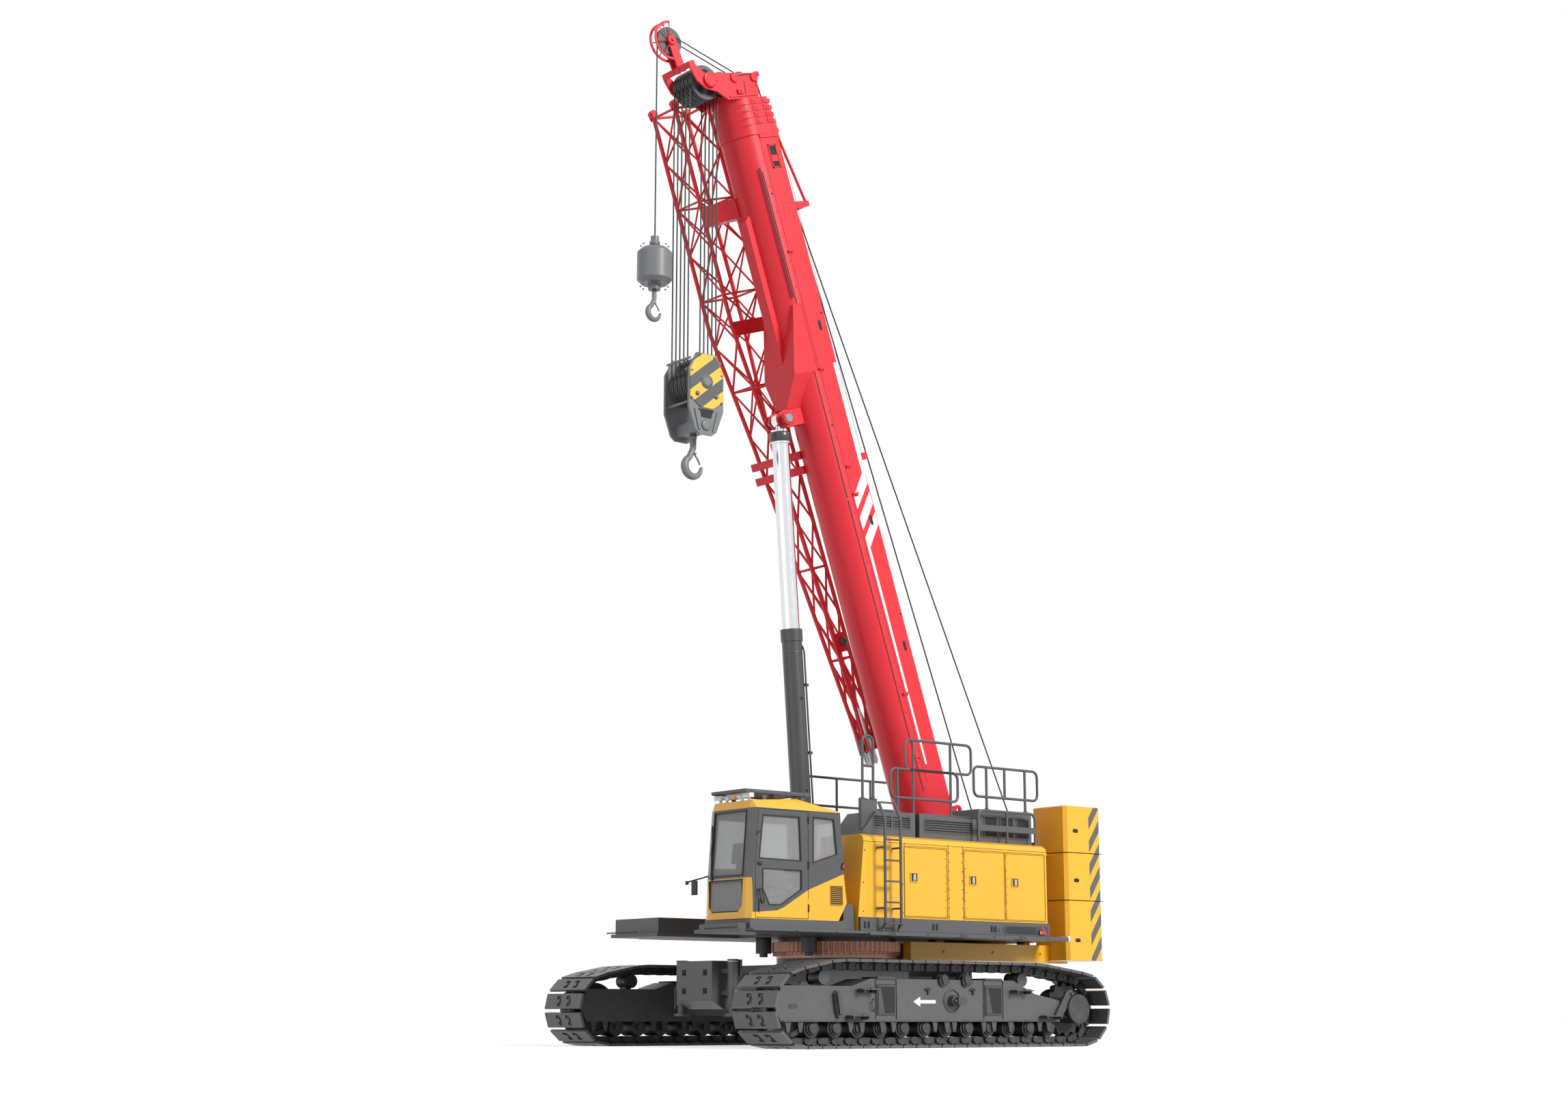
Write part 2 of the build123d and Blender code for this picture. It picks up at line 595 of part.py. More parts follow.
def decks():
    """Walkways and skirts on both sides, with the front platforms and steps."""
    inner, lap = BASE_HALF + SEAT, 20.0
    floor = (DECK_LOW, DECK_HIGH)
    skirt = (DECK_HIGH - 10, DECK_HIGH + SKIRT_HIGH)
    left = block((DECK_REAR, LEFT_FRONT), (inner, HOUSE_OUT), floor)
    left += block((WEB_FRONT + SEAT, LEFT_FRONT), (HOUSE_IN - lap, inner + lap), floor)
    left += block((HOOD_REAR - 50, HOOD_FRONT - 50), (HOUSE_OUT - lap, DECK_HALF_Y), floor)
    left += block((HOOD_FRONT - 50, LEFT_FRONT - 100), (HOUSE_OUT - lap, DECK_HALF_Y), (DECK_LOW + 15, DECK_HIGH))
    left += block((HOOD_REAR, HOOD_FRONT), (HOUSE_OUT - SKIRT, HOUSE_OUT), skirt)
    left += block((CAB_FRONT - 5, LEFT_FRONT - 10), (HOUSE_IN + 80, HOUSE_OUT - 60), (DECK_HIGH - 10, DECK_HIGH + 70))
    right = block((DECK_REAR, RIGHT_FRONT), (inner, HOUSE_OUT), floor)
    right += block((WEB_FRONT + SEAT, RIGHT_FRONT), (WEB_OUT + lap, inner + lap), floor)
    right += block((HOOD_REAR - 50, RIGHT_FRONT - 600), (HOUSE_OUT - lap, DECK_HALF_Y), floor)
    right += block((WEB_FRONT + 50, RIGHT_FRONT - 50), (WEB_OUT + 60, HOUSE_OUT - SKIRT),
                   (DECK_HIGH - 10, DECK_HIGH + 210))
    right += block((HOOD_REAR, WEB_FRONT + 40), (HOUSE_OUT - SKIRT, HOUSE_OUT), skirt)
    return [left, mirrored(right)]


def slew_drives():
    """Slewing gearboxes that hang beside the ring, each with its pinion."""
    out = []
    for angle in (28.0, -28.0):
        reach = RING_R + 135.0
        x, y = reach * cos(radians(angle)), reach * sin(radians(angle))
        drive = disc_z(x, y, (GEAR_LOW - 20, DECK_LOW - SEAT), 115)
        out.append(drive + disc_z(x, y, (GEAR_LOW - 70, GEAR_LOW - 19), 60))
    return out


# ---------------------------------------------------------------- cab
CAB_REAR, CAB_LONG, CAB_HIGH = 1180.0, 1720.0, 1645.0
CAB_BASE = 130.0      # height of the box under the cab
CAB_WALL = 45.0
CAB_FRONT = CAB_REAR + CAB_LONG
CAB_LOW = DECK_HIGH + CAB_BASE
CAB_TOP = CAB_LOW + CAB_HIGH
ROOF_SIDE, ROOF_DROP = 130.0, 165.0    # bevel along the roof's two side edges
CORNER_X, CORNER_Y = 40.0, 100.0       # bevel of the two front pillars
DOOR_REAR, DOOR_FRONT = CAB_REAR + 700.0, CAB_FRONT - 110.0
DOOR_LOW, DOOR_TOP = CAB_LOW + 20.0, CAB_TOP - 180.0
GLASS = 8.0


def cab_side():
    """Side outline of the cab, from its lower rear corner along the floor and round."""
    return [
        (CAB_REAR + 155, CAB_LOW), (CAB_FRONT, CAB_LOW), (CAB_FRONT - 20, CAB_LOW + 540),
        (CAB_FRONT - 95, CAB_TOP - 138), (CAB_FRONT - 110, CAB_TOP - 58), (CAB_REAR + 796, CAB_TOP),
        (CAB_REAR + 119, CAB_TOP - 150), (CAB_REAR + 56, CAB_LOW + 644), (CAB_REAR + 3, CAB_LOW + 244),
    ]


def roof_height(x):
    """Height of the cab roof's middle over a place along the machine."""
    (fx, fz), (mx, mz), (rx, rz) = cab_side()[4:7]
    if x > mx:
        return mz + (fz - mz) * (x - mx) / (fx - mx)
    return mz + (rz - mz) * (mx - x) / (mx - rx)


def door_outline():
    """Side outline of the door leaf."""
    return [(DOOR_REAR, DOOR_LOW), (DOOR_FRONT, DOOR_LOW), (DOOR_FRONT, DOOR_LOW + 780),
            (DOOR_FRONT - 50, DOOR_TOP), (DOOR_REAR, DOOR_TOP)]


def door_panes():
    """Outlines of the door's upper and lower window."""
    return [
        [(DOOR_REAR + 113, CAB_LOW + 783), (DOOR_FRONT - 50, CAB_LOW + 796), (DOOR_FRONT - 115, DOOR_TOP - 70),
         (DOOR_REAR + 142, DOOR_TOP - 70)],
        [(DOOR_REAR + 105, CAB_LOW + 673), (DOOR_REAR + 105, CAB_LOW + 403), (DOOR_REAR + 473, CAB_LOW + 185),
         (DOOR_FRONT - 230, CAB_LOW + 178), (DOOR_FRONT - 112, CAB_LOW + 401), (DOOR_FRONT - 112, CAB_LOW + 673)],
    ]


def side_panes():
    """Outlines of the fixed side windows, each with the low and high Y of its wall."""
    outer = (HOUSE_OUT - CAB_WALL, HOUSE_OUT)
    inner = (HOUSE_IN, HOUSE_IN + CAB_WALL)
    rear, top = CAB_REAR, CAB_TOP
    return [
        ([(rear + 169, top - 741), (DOOR_REAR - 84, top - 877), (DOOR_REAR - 86, top - 236), (rear + 228, top - 250)],
         outer),
        ([(rear + 220, top - 950), (CAB_FRONT - 150, top - 950), (CAB_FRONT - 220, top - 260),
          (rear + 240, top - 260)], inner),
    ]


def front_panes():
    """Outlines, across the machine, of the windscreen and the pane under it."""
    right, left = HOUSE_IN + 114, HOUSE_OUT - 170
    return [
        [(right, CAB_LOW + 570), (left, CAB_LOW + 570), (left, CAB_TOP - 190), (right, CAB_TOP - 190)],
        [(right - 25, CAB_LOW + 527), (right - 25, CAB_LOW + 170), (right + 55, CAB_LOW + 90), (left - 80, CAB_LOW + 90),
         (left, CAB_LOW + 170), (left, CAB_LOW + 527)],
    ]


def rear_pane():
    """Outline, across the machine, of the rear window."""
    return [(HOUSE_IN + 130, CAB_TOP - 895), (HOUSE_OUT - 130, CAB_TOP - 895), (HOUSE_OUT - 130, CAB_TOP - 295),
            (HOUSE_IN + 130, CAB_TOP - 295)]


def pillar_bevels():
    """Wedges that bevel the cab's two front corners from the floor to the roof."""
    front = cab_side()[1:5]
    wedges = []
    for (ax, az), (bx, bz) in zip(front, front[1:]):
        grow = 60.0 if (bx, bz) == front[-1] else 1.0
        lean = ((bx - ax) / (bz - az))
        foot, rise = az - 1, bz - az + 1 + grow
        x = ax - lean
        for side, y in ((1, HOUSE_OUT), (-1, HOUSE_IN)):
            face = make_face(Polyline((x - CORNER_X, y, foot), (x + 200, y - side * CORNER_Y * 6, foot),
                                      (x + 200, y + side * 50, foot), (x - CORNER_X, y + side * 50, foot), close=True))
            wedges.append(extrude(face, rise * hypot(1, lean), dir=(lean, 0, 1)))
    return wedges


def cab_shell():
    """Hollow cab with its door opening and windows cut."""
    shell = plate_xz(cab_side(), (HOUSE_IN, HOUSE_OUT))
    shell &= plate_yz(
        [(HOUSE_IN - 1, CAB_LOW - 1), (HOUSE_OUT + 1, CAB_LOW - 1), (HOUSE_OUT + 1, CAB_TOP - ROOF_DROP),
         (HOUSE_OUT - ROOF_SIDE, CAB_TOP + 1), (HOUSE_IN + ROOF_SIDE, CAB_TOP + 1),
         (HOUSE_IN - 1, CAB_TOP - ROOF_DROP)], (CAB_REAR - 1, CAB_FRONT + 1))
    for wedge in pillar_bevels():
        shell -= wedge
    room = plate_xz(inset(cab_side(), CAB_WALL), (HOUSE_IN + CAB_WALL, HOUSE_OUT - CAB_WALL))
    room &= plate_yz(
        [(HOUSE_IN, CAB_LOW), (HOUSE_OUT, CAB_LOW), (HOUSE_OUT, CAB_TOP - ROOF_DROP - CAB_WALL),
         (HOUSE_OUT - ROOF_SIDE - CAB_WALL, CAB_TOP + 1), (HOUSE_IN + ROOF_SIDE + CAB_WALL, CAB_TOP + 1),
         (HOUSE_IN, CAB_TOP - ROOF_DROP - CAB_WALL)], (CAB_REAR - 1, CAB_FRONT + 1))
    shell -= room
    for outline, (low, high) in side_panes():
        shell -= plate_xz(outline, (low - 5, high + 5))
    shell -= plate_xz(inset(door_outline(), -RUN), (HOUSE_OUT - CAB_WALL - 5, HOUSE_OUT + 5))
    for outline in front_panes():
        shell -= plate_yz(outline, (CAB_FRONT - 200, CAB_FRONT + 10))
    return shell - plate_yz(rear_pane(), (CAB_REAR - 5, CAB_REAR + 170))


def cab_glass():
    """The cab's fixed panes."""
    panes = []
    for outline, (low, high) in side_panes():
        y = (low + high) / 2
        panes.append(plate_xz(inset(outline, SEAT), (y - GLASS / 2, y + GLASS / 2)))
    y = (HOUSE_IN + CAB_WALL, HOUSE_OUT - CAB_WALL)
    skin = plate_xz(inset(cab_side(), CAB_WALL / 2), y)
    skin -= plate_xz(inset(cab_side(), CAB_WALL / 2 + GLASS), (y[0] - 1, y[1] + 1))
    for outline in front_panes():
        panes.append(skin & plate_yz(inset(outline, SEAT), (CAB_FRONT - 200, CAB_FRONT)))
    panes.append(skin & plate_yz(inset(rear_pane(), SEAT), (CAB_REAR, CAB_REAR + 170)))
    return panes


def cab_door():
    """Door leaf with its window openings, a handle and hinge knuckles."""
    leaf = plate_xz(door_outline(), (HOUSE_OUT - CAB_WALL, HOUSE_OUT))
    for outline in door_panes():
        leaf -= plate_xz(outline, (HOUSE_OUT - CAB_WALL - 1, HOUSE_OUT + 1))
    leaf += block((DOOR_FRONT - 75, DOOR_FRONT - 45), (HOUSE_OUT - 1, HOUSE_OUT + 25), (DOOR_LOW + 70, DOOR_LOW + 230))
    for z in (DOOR_LOW + 150, DOOR_TOP - 250):
        leaf += disc_z(DOOR_REAR, HOUSE_OUT, (z, z + HINGE_LONG), RUN - SEAT)
    return leaf


def cab_door_glass():
    """The door's two panes."""
    y = HOUSE_OUT - CAB_WALL / 2
    return [plate_xz(inset(outline, SEAT), (y - GLASS / 2, y + GLASS / 2)) for outline in door_panes()]


def cab_inside():
    """Operator's seat with its consoles, and the instrument stand, on the cab floor."""
    floor = CAB_LOW + CAB_WALL + SEAT
    rear = CAB_REAR
    mid = (HOUSE_IN + HOUSE_OUT) / 2
    seat = block((rear + 400, rear + 900), (mid - 240, mid + 240), (floor + 385, floor + 515))
    seat += plate_xz([(rear + 380, floor + 390), (rear + 500, floor + 390), (rear + 420, floor + 1150),
                      (rear + 310, floor + 1150)], (mid - 230, mid + 230))
    seat += plate_xz([(rear + 330, floor + 1140), (rear + 420, floor + 1140), (rear + 410, floor + 1360),
                      (rear + 330, floor + 1360)], (mid - 130, mid + 130))
    seat += block((rear + 440, rear + 800), (mid - 170, mid + 170), (floor, floor + 386))
    for side in (1, -1):
        y = sorted((mid + side * 250, mid + side * 350))
        seat += block((rear + 470, rear + 940), y, (floor + 555, floor + 655))
        y = sorted((mid + side * 150, mid + side * 350))
        seat += block((rear + 520, rear + 720), y, (floor + 395, floor + 565))
    stand = block((CAB_FRONT - 400, CAB_FRONT - 280), (mid - 150, mid + 150), (floor, floor + 500))
    stand += block((CAB_FRONT - 420, CAB_FRONT - 330), (mid - 210, mid + 210), (floor + 490, floor + 800))
    return [seat, stand]


def cab_supports():
    """Base box under the cab with the bracket behind it."""
    z = (DECK_HIGH + SEAT, CAB_LOW - SEAT)
    x = (CAB_REAR + 5, CAB_FRONT - 15)
    rim = 90.0
    base = block(x, (HOUSE_IN, HOUSE_OUT), z)
    base -= block((x[0] + rim, x[1] - rim), (HOUSE_IN + rim, HOUSE_OUT - rim), (z[0] - 1, z[1] + 1))
    bracket = plate_xz(
        [(x[0] + 10, z[0]), (x[0] + 10, z[1] - 5), (x[0] - 15, CAB_LOW + 30), (x[0] - 15, CAB_LOW + 140),
         (x[0] - 90, CAB_LOW + 245), (x[0] - 180, CAB_LOW + 245), (x[0] - 200, CAB_LOW + 190), (x[0] - 230, z[0])],
        (HOUSE_OUT - 160, HOUSE_OUT - 90))
    return joined([base, bracket])


GUARD_THICK = 34.0
GUARD_LIFT = 55.0     # underside of the guard over the roof's crown


def roof_guard():
    """Barred guard over the roof on its pointed brackets."""
    z = CAB_TOP + GUARD_LIFT
    y = (HOUSE_IN + 150, HOUSE_OUT - 90)
    x = (CAB_REAR + 580, CAB_FRONT)
    edge, rib = 40.0, 16.0
    pieces = [block((x[0], x[0] + edge), y, (z, z + GUARD_THICK)), block((x[1] - edge, x[1]), y, (z, z + GUARD_THICK))]
    for low in (y[0], y[1] - edge):
        pieces.append(block(x, (low, low + edge), (z, z + GUARD_THICK)))
    for k in range(1, 9):
        middle = y[0] + (y[1] - y[0]) * k / 9
        pieces.append(block(x, (middle - rib / 2, middle + rib / 2), (z + 6, z + GUARD_THICK - 6)))
    for px in (x[0] + 110, x[1] - 360):
        foot = [(px - 25, roof_height(px - 25) + SEAT), (px + 25, roof_height(px + 25) + SEAT),
                (px + 60, z + GUARD_THICK - 5), (px - 60, z + GUARD_THICK - 5)]
        for low in (y[0] + edge - 4, y[1] - edge - 8):
            pieces.append(plate_xz(foot, (low, low + 12)))
    return joined(pieces)


def cab_lamps():
    """Work lamps and the beacon bar at the front of the cab roof, and the tail lamps."""
    lamps = []
    x = CAB_FRONT - 135
    roof = roof_height(x) + 25
    for y in (HOUSE_IN + 190, HOUSE_OUT - 175):
        lamp = block((x - 20, x + 60), (y - 75, y + 75), (roof + 10, CAB_TOP + GUARD_LIFT - 15))
        lamps.append(lamp + block((x - 15, x + 15), (y - 15, y + 15), (roof_height(x - 15) + SEAT, roof + 11)))
    y = (HOUSE_IN + 330, HOUSE_OUT - 330)
    z = roof + 45
    beacon = disc_y(x, z, y, 36)
    for end in y:
        beacon += block((x - 15, x + 15), (end - 15, end + 15), (roof_height(x - 15) + SEAT, z))
    lamps.append(beacon)
    for side in (1, -1):
        y = sorted((side * (DECK_HALF_Y - 330), side * (DECK_HALF_Y - 170)))
        lamps.append(block((DECK_REAR - 50, DECK_REAR - SEAT), y, (DECK_LOW, DECK_HIGH + 30)))
    return lamps


# ---------------------------------------------------------------- engine hood
HOOD_FRONT, HOOD_REAR = 933.0, -2800.0
HOOD_LEAN = 116.0     # how far the hood's front leans back from the doors' lower edge to the top
HOOD_IN, HOOD_LOW, HOOD_TOP = 620.0, DECK_HIGH + SEAT, 2930.0
HOOD_WALL = 35.0
HOOD_EDGE = 110.0
HOOD_DOOR_LOW, HOOD_DOOR_TOP = 1790.0, 2790.0
# name, front edge, rear edge, hinge edge (1 front, -1 rear)
HOOD_DOORS = (("front", 80.0, -775.0, -1), ("middle", -1090.0, -1930.0, 1), ("rear", -1930.0, -2770.0, 1))
LOUVRE_TOP = 3295.0


def hood_form(gap):
    """The hood's closed form, smaller all round by a gap."""
    out = HOUSE_OUT - 45
    edge = max(HOOD_EDGE - gap, 10)
    across = [(HOOD_IN + gap, HOOD_LOW + gap), (out - gap, HOOD_LOW + gap), (out - gap, HOOD_TOP - edge - gap),
              (out - edge * 0.3 - gap, HOOD_TOP - edge * 0.3 - gap), (out - edge - gap, HOOD_TOP - gap),
              (HOOD_IN + gap, HOOD_TOP - gap)]
    along = [(HOOD_REAR + gap, HOOD_LOW - 1), (HOOD_FRONT - gap, HOOD_LOW - 1), (HOOD_FRONT - gap, HOOD_DOOR_LOW),
             (HOOD_FRONT - HOOD_LEAN - gap, HOOD_TOP + 1), (HOOD_REAR + gap, HOOD_TOP + 1)]
    return plate_yz(across, (HOOD_REAR - 1, HOOD_FRONT + 1)) & plate_xz(along, (HOOD_IN - 1, out + 1))


def engine_hood():
    """Hollow hood with a rounded outer top edge, a leaning front and three door openings."""
    out = HOUSE_OUT - 45
    hood = hood_form(0) - hood_form(HOOD_WALL)
    for _, front, rear, _ in HOOD_DOORS:
        hood -= block((rear + RUN / 2, front - RUN / 2), (out - HOOD_WALL - 1, out + 1),
                      (HOOD_DOOR_LOW - RUN / 2, HOOD_DOOR_TOP + RUN / 2))
    return hood


def hood_door(front, rear, hinge):
    """One hood door with the knuckles of its hinges; hinge is 1 at the front edge, -1 at the rear edge."""
    y_out = HOUSE_OUT - 45
    gap = RUN / 2 + RUN
    door = block((rear + gap, front - gap), (y_out - HOOD_WALL, y_out), (HOOD_DOOR_LOW + 3, HOOD_DOOR_TOP - 3))
    x = front - gap if hinge > 0 else rear + gap
    for z in (HOOD_DOOR_LOW + 120, HOOD_DOOR_TOP - 230):
        door += disc_z(x, y_out, (z, z + HINGE_LONG), RUN - SEAT)
    return door


def engine_block():
    """Engine and pumps as one plain block on its feet."""
    engine = block((-2300, -600), (820, 1400), (1750, 2600))
    for x in (-2200, -700):
        engine += block((x - 60, x + 60), (860, 1360), (HOOD_LOW + HOOD_WALL + SEAT, 1751))
    return engine


LOUVRE_FRONT = 629.0  # foot of the front housing's sloped face
LOUVRE_SLOPE = 261.0  # run of that face
LOUVRE_GAP = (-388.0, -471.0)
LOUVRE_REAR = -1619.0
LOUVRE_OUT = 1300.0
BOX_REAR, BOX_TOP = -2780.0, 3430.0
# front x, rear x, low z, high z of each louvred panel
LOUVRES = ((401.0, 80.0, 3059.0, 3218.0), (20.0, -279.0, 3059.0, 3218.0), (-572.0, -1526.0, 3035.0, 3210.0))


def louvre_hood():
    """Raised louvred housings on the hood, with the flat box behind them and the step bracket."""
    y = (HOOD_IN + 60, LOUVRE_OUT)
    low, top = HOOD_TOP + SEAT, LOUVRE_TOP
    front = plate_xz([(LOUVRE_GAP[0], low), (LOUVRE_FRONT + 30, low), (LOUVRE_FRONT, low + 50),
                      (LOUVRE_FRONT - LOUVRE_SLOPE, top - 12), (LOUVRE_GAP[0], top)], y)
    middle = plate_xz([(LOUVRE_REAR, low), (LOUVRE_GAP[1], low), (LOUVRE_GAP[1], top), (LOUVRE_REAR, top - 25)], y)
    bodies = []
    for body, panels in ((front, LOUVRES[:2]), (middle, LOUVRES[2:])):
        for x0, x1, z0, z1 in panels:
            body -= block((x1, x0), (y[1] - 25, y[1] + 1), (z0, z1))
            count = 5
            for k in range(count):
                z = z0 + (z1 - z0) * (k + 0.5) / count
                body += plate_yz([(y[1] - 26, z), (y[1] - 26, z + 14), (y[1] - 4, z - 2), (y[1] - 4, z - 14)],
                                 (x1 - 1, x0 + 1))
        bodies.append(body)
    edge = LOUVRE_FRONT - LOUVRE_SLOPE
    bodies[0] += plate_xz([(edge + 232, STEP_TOP), (edge - 68, STEP_TOP), (edge - 68, top - 30), (edge, top - 40),
                           (edge + 232, low + 90)], (RAIL_Y - 30, RAIL_Y + 30))
    bodies.append(block((BOX_REAR, LOUVRE_REAR - 50), (y[0], y[1] - 20), (low, BOX_TOP)))
    return bodies


def right_housing():
    """Fuel and oil tanks in their housings on the right deck."""
    low = DECK_HIGH + SEAT
    out = []
    for x, z in (((-2800, -1500), 2700), ((-1480, -250), 2620), ((-230, 860), 2350)):
        box = block(x, (-HOUSE_OUT + 45, -HOOD_IN), (low, z))
        top_edges = box.edges().group_by(Axis.Z)[-1]
        out.append(chamfer(top_edges, 60))
    return out


# ---------------------------------------------------------------- ladder, rails
RAIL_R = 20.0
RAIL_Y = 1220.0       # rails over the engine side
RAIL_BEND = 90.0
RAIL_LOW, RAIL_MID, RAIL_TOP = 3514.0, 3931.0, 4365.0
STEP_TOP = 3455.0     # top of the step bracket under the access hoop
SIDE_HOOP_Y, SIDE_HOOP_TOP = 1420.0, 3398.0
# y, front x, rear x, low z, top z, then x and foot z of each post (None: on the low bar)
LOOPS = (
    (RAIL_Y, -1649.0, -2983.0, 3627.0, 4070.0, ((-1911.0, BOX_TOP), (-2290.0, None), (-2719.0, BOX_TOP))),
    (-1500.0, -500.0, -2750.0, 3637.0, 4080.0, ((-1295.0, 2620.0), (-2000.0, 2700.0))),
)


def rail_run(points, y):
    """A bent tube through (x, z) points at one Y, as overlapping pieces."""
    places = [(x, y, z) for x, z in points]
    pieces = [strut(a, b, RAIL_R) for a, b in zip(places, places[1:])]
    return pieces + [Pos(*p) * Box(RAIL_R * 1.9, RAIL_R * 1.7, RAIL_R * 1.9) for p in places[1:-1]]


def rail_loop(y, front, rear, low, top, posts):
    """A handrail loop with bevelled corners on its posts."""
    b = RAIL_BEND
    middle = (front + rear) / 2
    points = [(middle, low), (front - b, low), (front, low + b), (front, top - b), (front - b, top), (rear + b, top),
              (rear, top - b), (rear, low + b), (rear + b, low), (middle, low)]
    pieces = rail_run(points, y) + [Pos(middle, y, low) * Box(RAIL_R * 1.9, RAIL_R * 1.7, RAIL_R * 1.9)]
    for x, foot in posts:
        start = low if foot is None else foot + SEAT
        pieces.append(strut((x, y, start), (x, y, top), RAIL_R * 0.9))
    return joined(pieces)


def stepped_rail():
    """The rail over the louvred housings: a low and a high loop that share their middle bar."""
    b, y = RAIL_BEND, RAIL_Y
    front, back = 13.0, -1319.0
    front_high, back_high = -272.0, -1597.0
    low, mid, top = RAIL_LOW, RAIL_MID, RAIL_TOP
    points = [
        (back, mid), (back, low + b), (back + b, low), (front - b, low), (front, low + b), (front, mid - b),
        (front - b, mid), (back_high + b, mid), (back_high, mid + b), (back_high, top - b), (back_high + b, top),
        (front_high - b, top), (front_high, top - b), (front_high, mid),
    ]
    pieces = rail_run(points, y)
    slope = 25.0 / (LOUVRE_GAP[1] - LOUVRE_REAR)
    rear_foot = LOUVRE_TOP - slope * (LOUVRE_GAP[1] + 1175.0 - RAIL_R)
    gap = sum(LOUVRE_GAP) / 2
    for x, foot, end in ((-120.0, LOUVRE_TOP, mid), (gap, HOOD_TOP, top), (-1175.0, rear_foot, top)):
        pieces.append(strut((x, y, foot + SEAT), (x, y, end), RAIL_R * 0.9))
    return joined(pieces)


def side_hoop():
    """Three-legged hoop on the hood's edge with its kick plate."""
    b, y, foot = RAIL_BEND, SIDE_HOOP_Y, HOOD_TOP + SEAT
    front, rear, top = -1538.0, -2714.0, SIDE_HOOP_TOP
    pieces = rail_run([(front, foot), (front, top - b), (front - b, top), (rear + b, top), (rear, top - b),
                       (rear, foot)], y)
    pieces.append(strut(((front + rear) / 2, y, foot), ((front + rear) / 2, y, top), RAIL_R * 0.9))
    pieces.append(block((rear, front), (y - 5, y + 5), (foot + 170, foot + 260)))
    return joined(pieces)


def access_hoop():
    """Hand hoop on the step bracket, with its rung."""
    front, rear, b = 549.0, 345.0, 70.0
    foot, top, y = STEP_TOP + SEAT, RAIL_TOP, RAIL_Y
    pieces = rail_run([(front, foot), (front, top - b), (front - b, top), (rear + b, top), (rear, top - b),
                       (rear, foot)], y)
    pieces.append(strut((rear, y, RAIL_MID), (front, y, RAIL_MID), RAIL_R * 0.8))
    return joined(pieces)


def handrails():
    """Rails over the engine side and over the right housing."""
    return [stepped_rail(), side_hoop(), access_hoop()] + [rail_loop(*row) for row in LOOPS]


LADDER_X, LADDER_WIDE, LADDER_Y = 287.0, 296.0, 1730.0
LADDER_BEND, LADDER_TOP = 3140.0, 3380.0
RUNG_COUNT = 6


def ladder():
    """Access ladder beside the hood: two bent rails with steps, stayed to the hood."""
    hood_face = HOUSE_OUT - 45 + SEAT
    pieces = []
    low = DECK_HIGH + SEAT
    for x in (LADDER_X, LADDER_X + LADDER_WIDE):
        places = [(x, LADDER_Y - 60, low), (x, LADDER_Y - 60, low + 40), (x, LADDER_Y, low + 120),
                  (x, LADDER_Y, LADDER_BEND), (x, LADDER_Y - 130, LADDER_TOP)]
        pieces += [strut(a, b, RAIL_R) for a, b in zip(places, places[1:])]
        pieces += [Pos(*p) * Box(1.7 * RAIL_R, 1.9 * RAIL_R, 1.9 * RAIL_R) for p in places[1:]]
        for z in (low + 330, LADDER_BEND - 400):
            pieces.append(strut((x, hood_face, z), (x, LADDER_Y, z), RAIL_R * 0.7))
    pieces.append(block((LADDER_X - 30, LADDER_X + LADDER_WIDE + 30), (LADDER_Y - 142, LADDER_Y - 118),
                        (LADDER_TOP - 12, LADDER_TOP + 12)))
    for k in range(RUNG_COUNT):
        z = low + 118 + (LADDER_BEND - low - 118) * k / (RUNG_COUNT - 1)
        pieces.append(block((LADDER_X, LADDER_X + LADDER_WIDE), (LADDER_Y - 30, LADDER_Y + 30), (z - 11, z + 11)))
    return joined(pieces)


# ---------------------------------------------------------------- counterweight
EAR_FRONT, EAR_REAR = -3400.0, -4190.0
EAR_IN, EAR_OUT = 670.0, 1390.0
EAR_LEVELS = (1250.0, 2150.0, 2870.0, 3580.0)
TRAY_LOW, TRAY_HIGH = 1222.0, 1476.0
TRAY_HALF = 1000.0


def counterweight_tray():
    """Base slab round the slewing ring, reaching back under the ballast."""
    tray = block((EAR_FRONT + SEAT, -550), (-TRAY_HALF, TRAY_HALF), (TRAY_LOW, TRAY_HIGH))
    tray -= disc_z(0, 0, (TRAY_LOW - 1, TRAY_HIGH + 1), RING_R + 46)
    tray += block((EAR_REAR + 60, EAR_FRONT + 1), (-EAR_IN + SEAT, EAR_IN - SEAT), (TRAY_LOW, TRAY_HIGH))
    for side in (1, -1):
        y = sorted((side * 480, side * 640))
        tray += block((-3340, -3220), y, (TRAY_HIGH - 1, DECK_LOW - SEAT))
        tray += block((-1500, -1380), y, (TRAY_HIGH - 1, DECK_LOW - SEAT))
    return tray


def counterweight_blocks():
    """Ballast slabs stacked at the two rear corners."""
    out = []
    for low, high in zip(EAR_LEVELS, EAR_LEVELS[1:]):
        slab = block((EAR_REAR, EAR_FRONT), (EAR_IN, EAR_OUT), (low, high - SEAT))
        slab = chamfer(slab.edges().filter_by(Axis.Z), 50)
        slab = chamfer(slab.edges().group_by(Axis.Z)[-1], 14)
        out.append(slab)
    return both_sides(out)


# ---------------------------------------------------------------- winches
# name, x, z
WINCHES = (("main", -2850.0, 2480.0), ("aux", -3700.0, 2760.0))
DRUM_R, FLANGE_R, DRUM_HALF = 235.0, 330.0, 330.0


def winch_drum(x, z):
    """Drum with its flanges and stub shafts."""
    drum = disc_y(x, z, (-DRUM_HALF, DRUM_HALF), DRUM_R)
    for side in (1, -1):
        drum += disc_y(x, z, sorted((side * (DRUM_HALF - 25), side * DRUM_HALF)), FLANGE_R)
        drum += disc_y(x, z, sorted((side * DRUM_HALF, side * (WEB_IN - SEAT))), 80)
    return drum


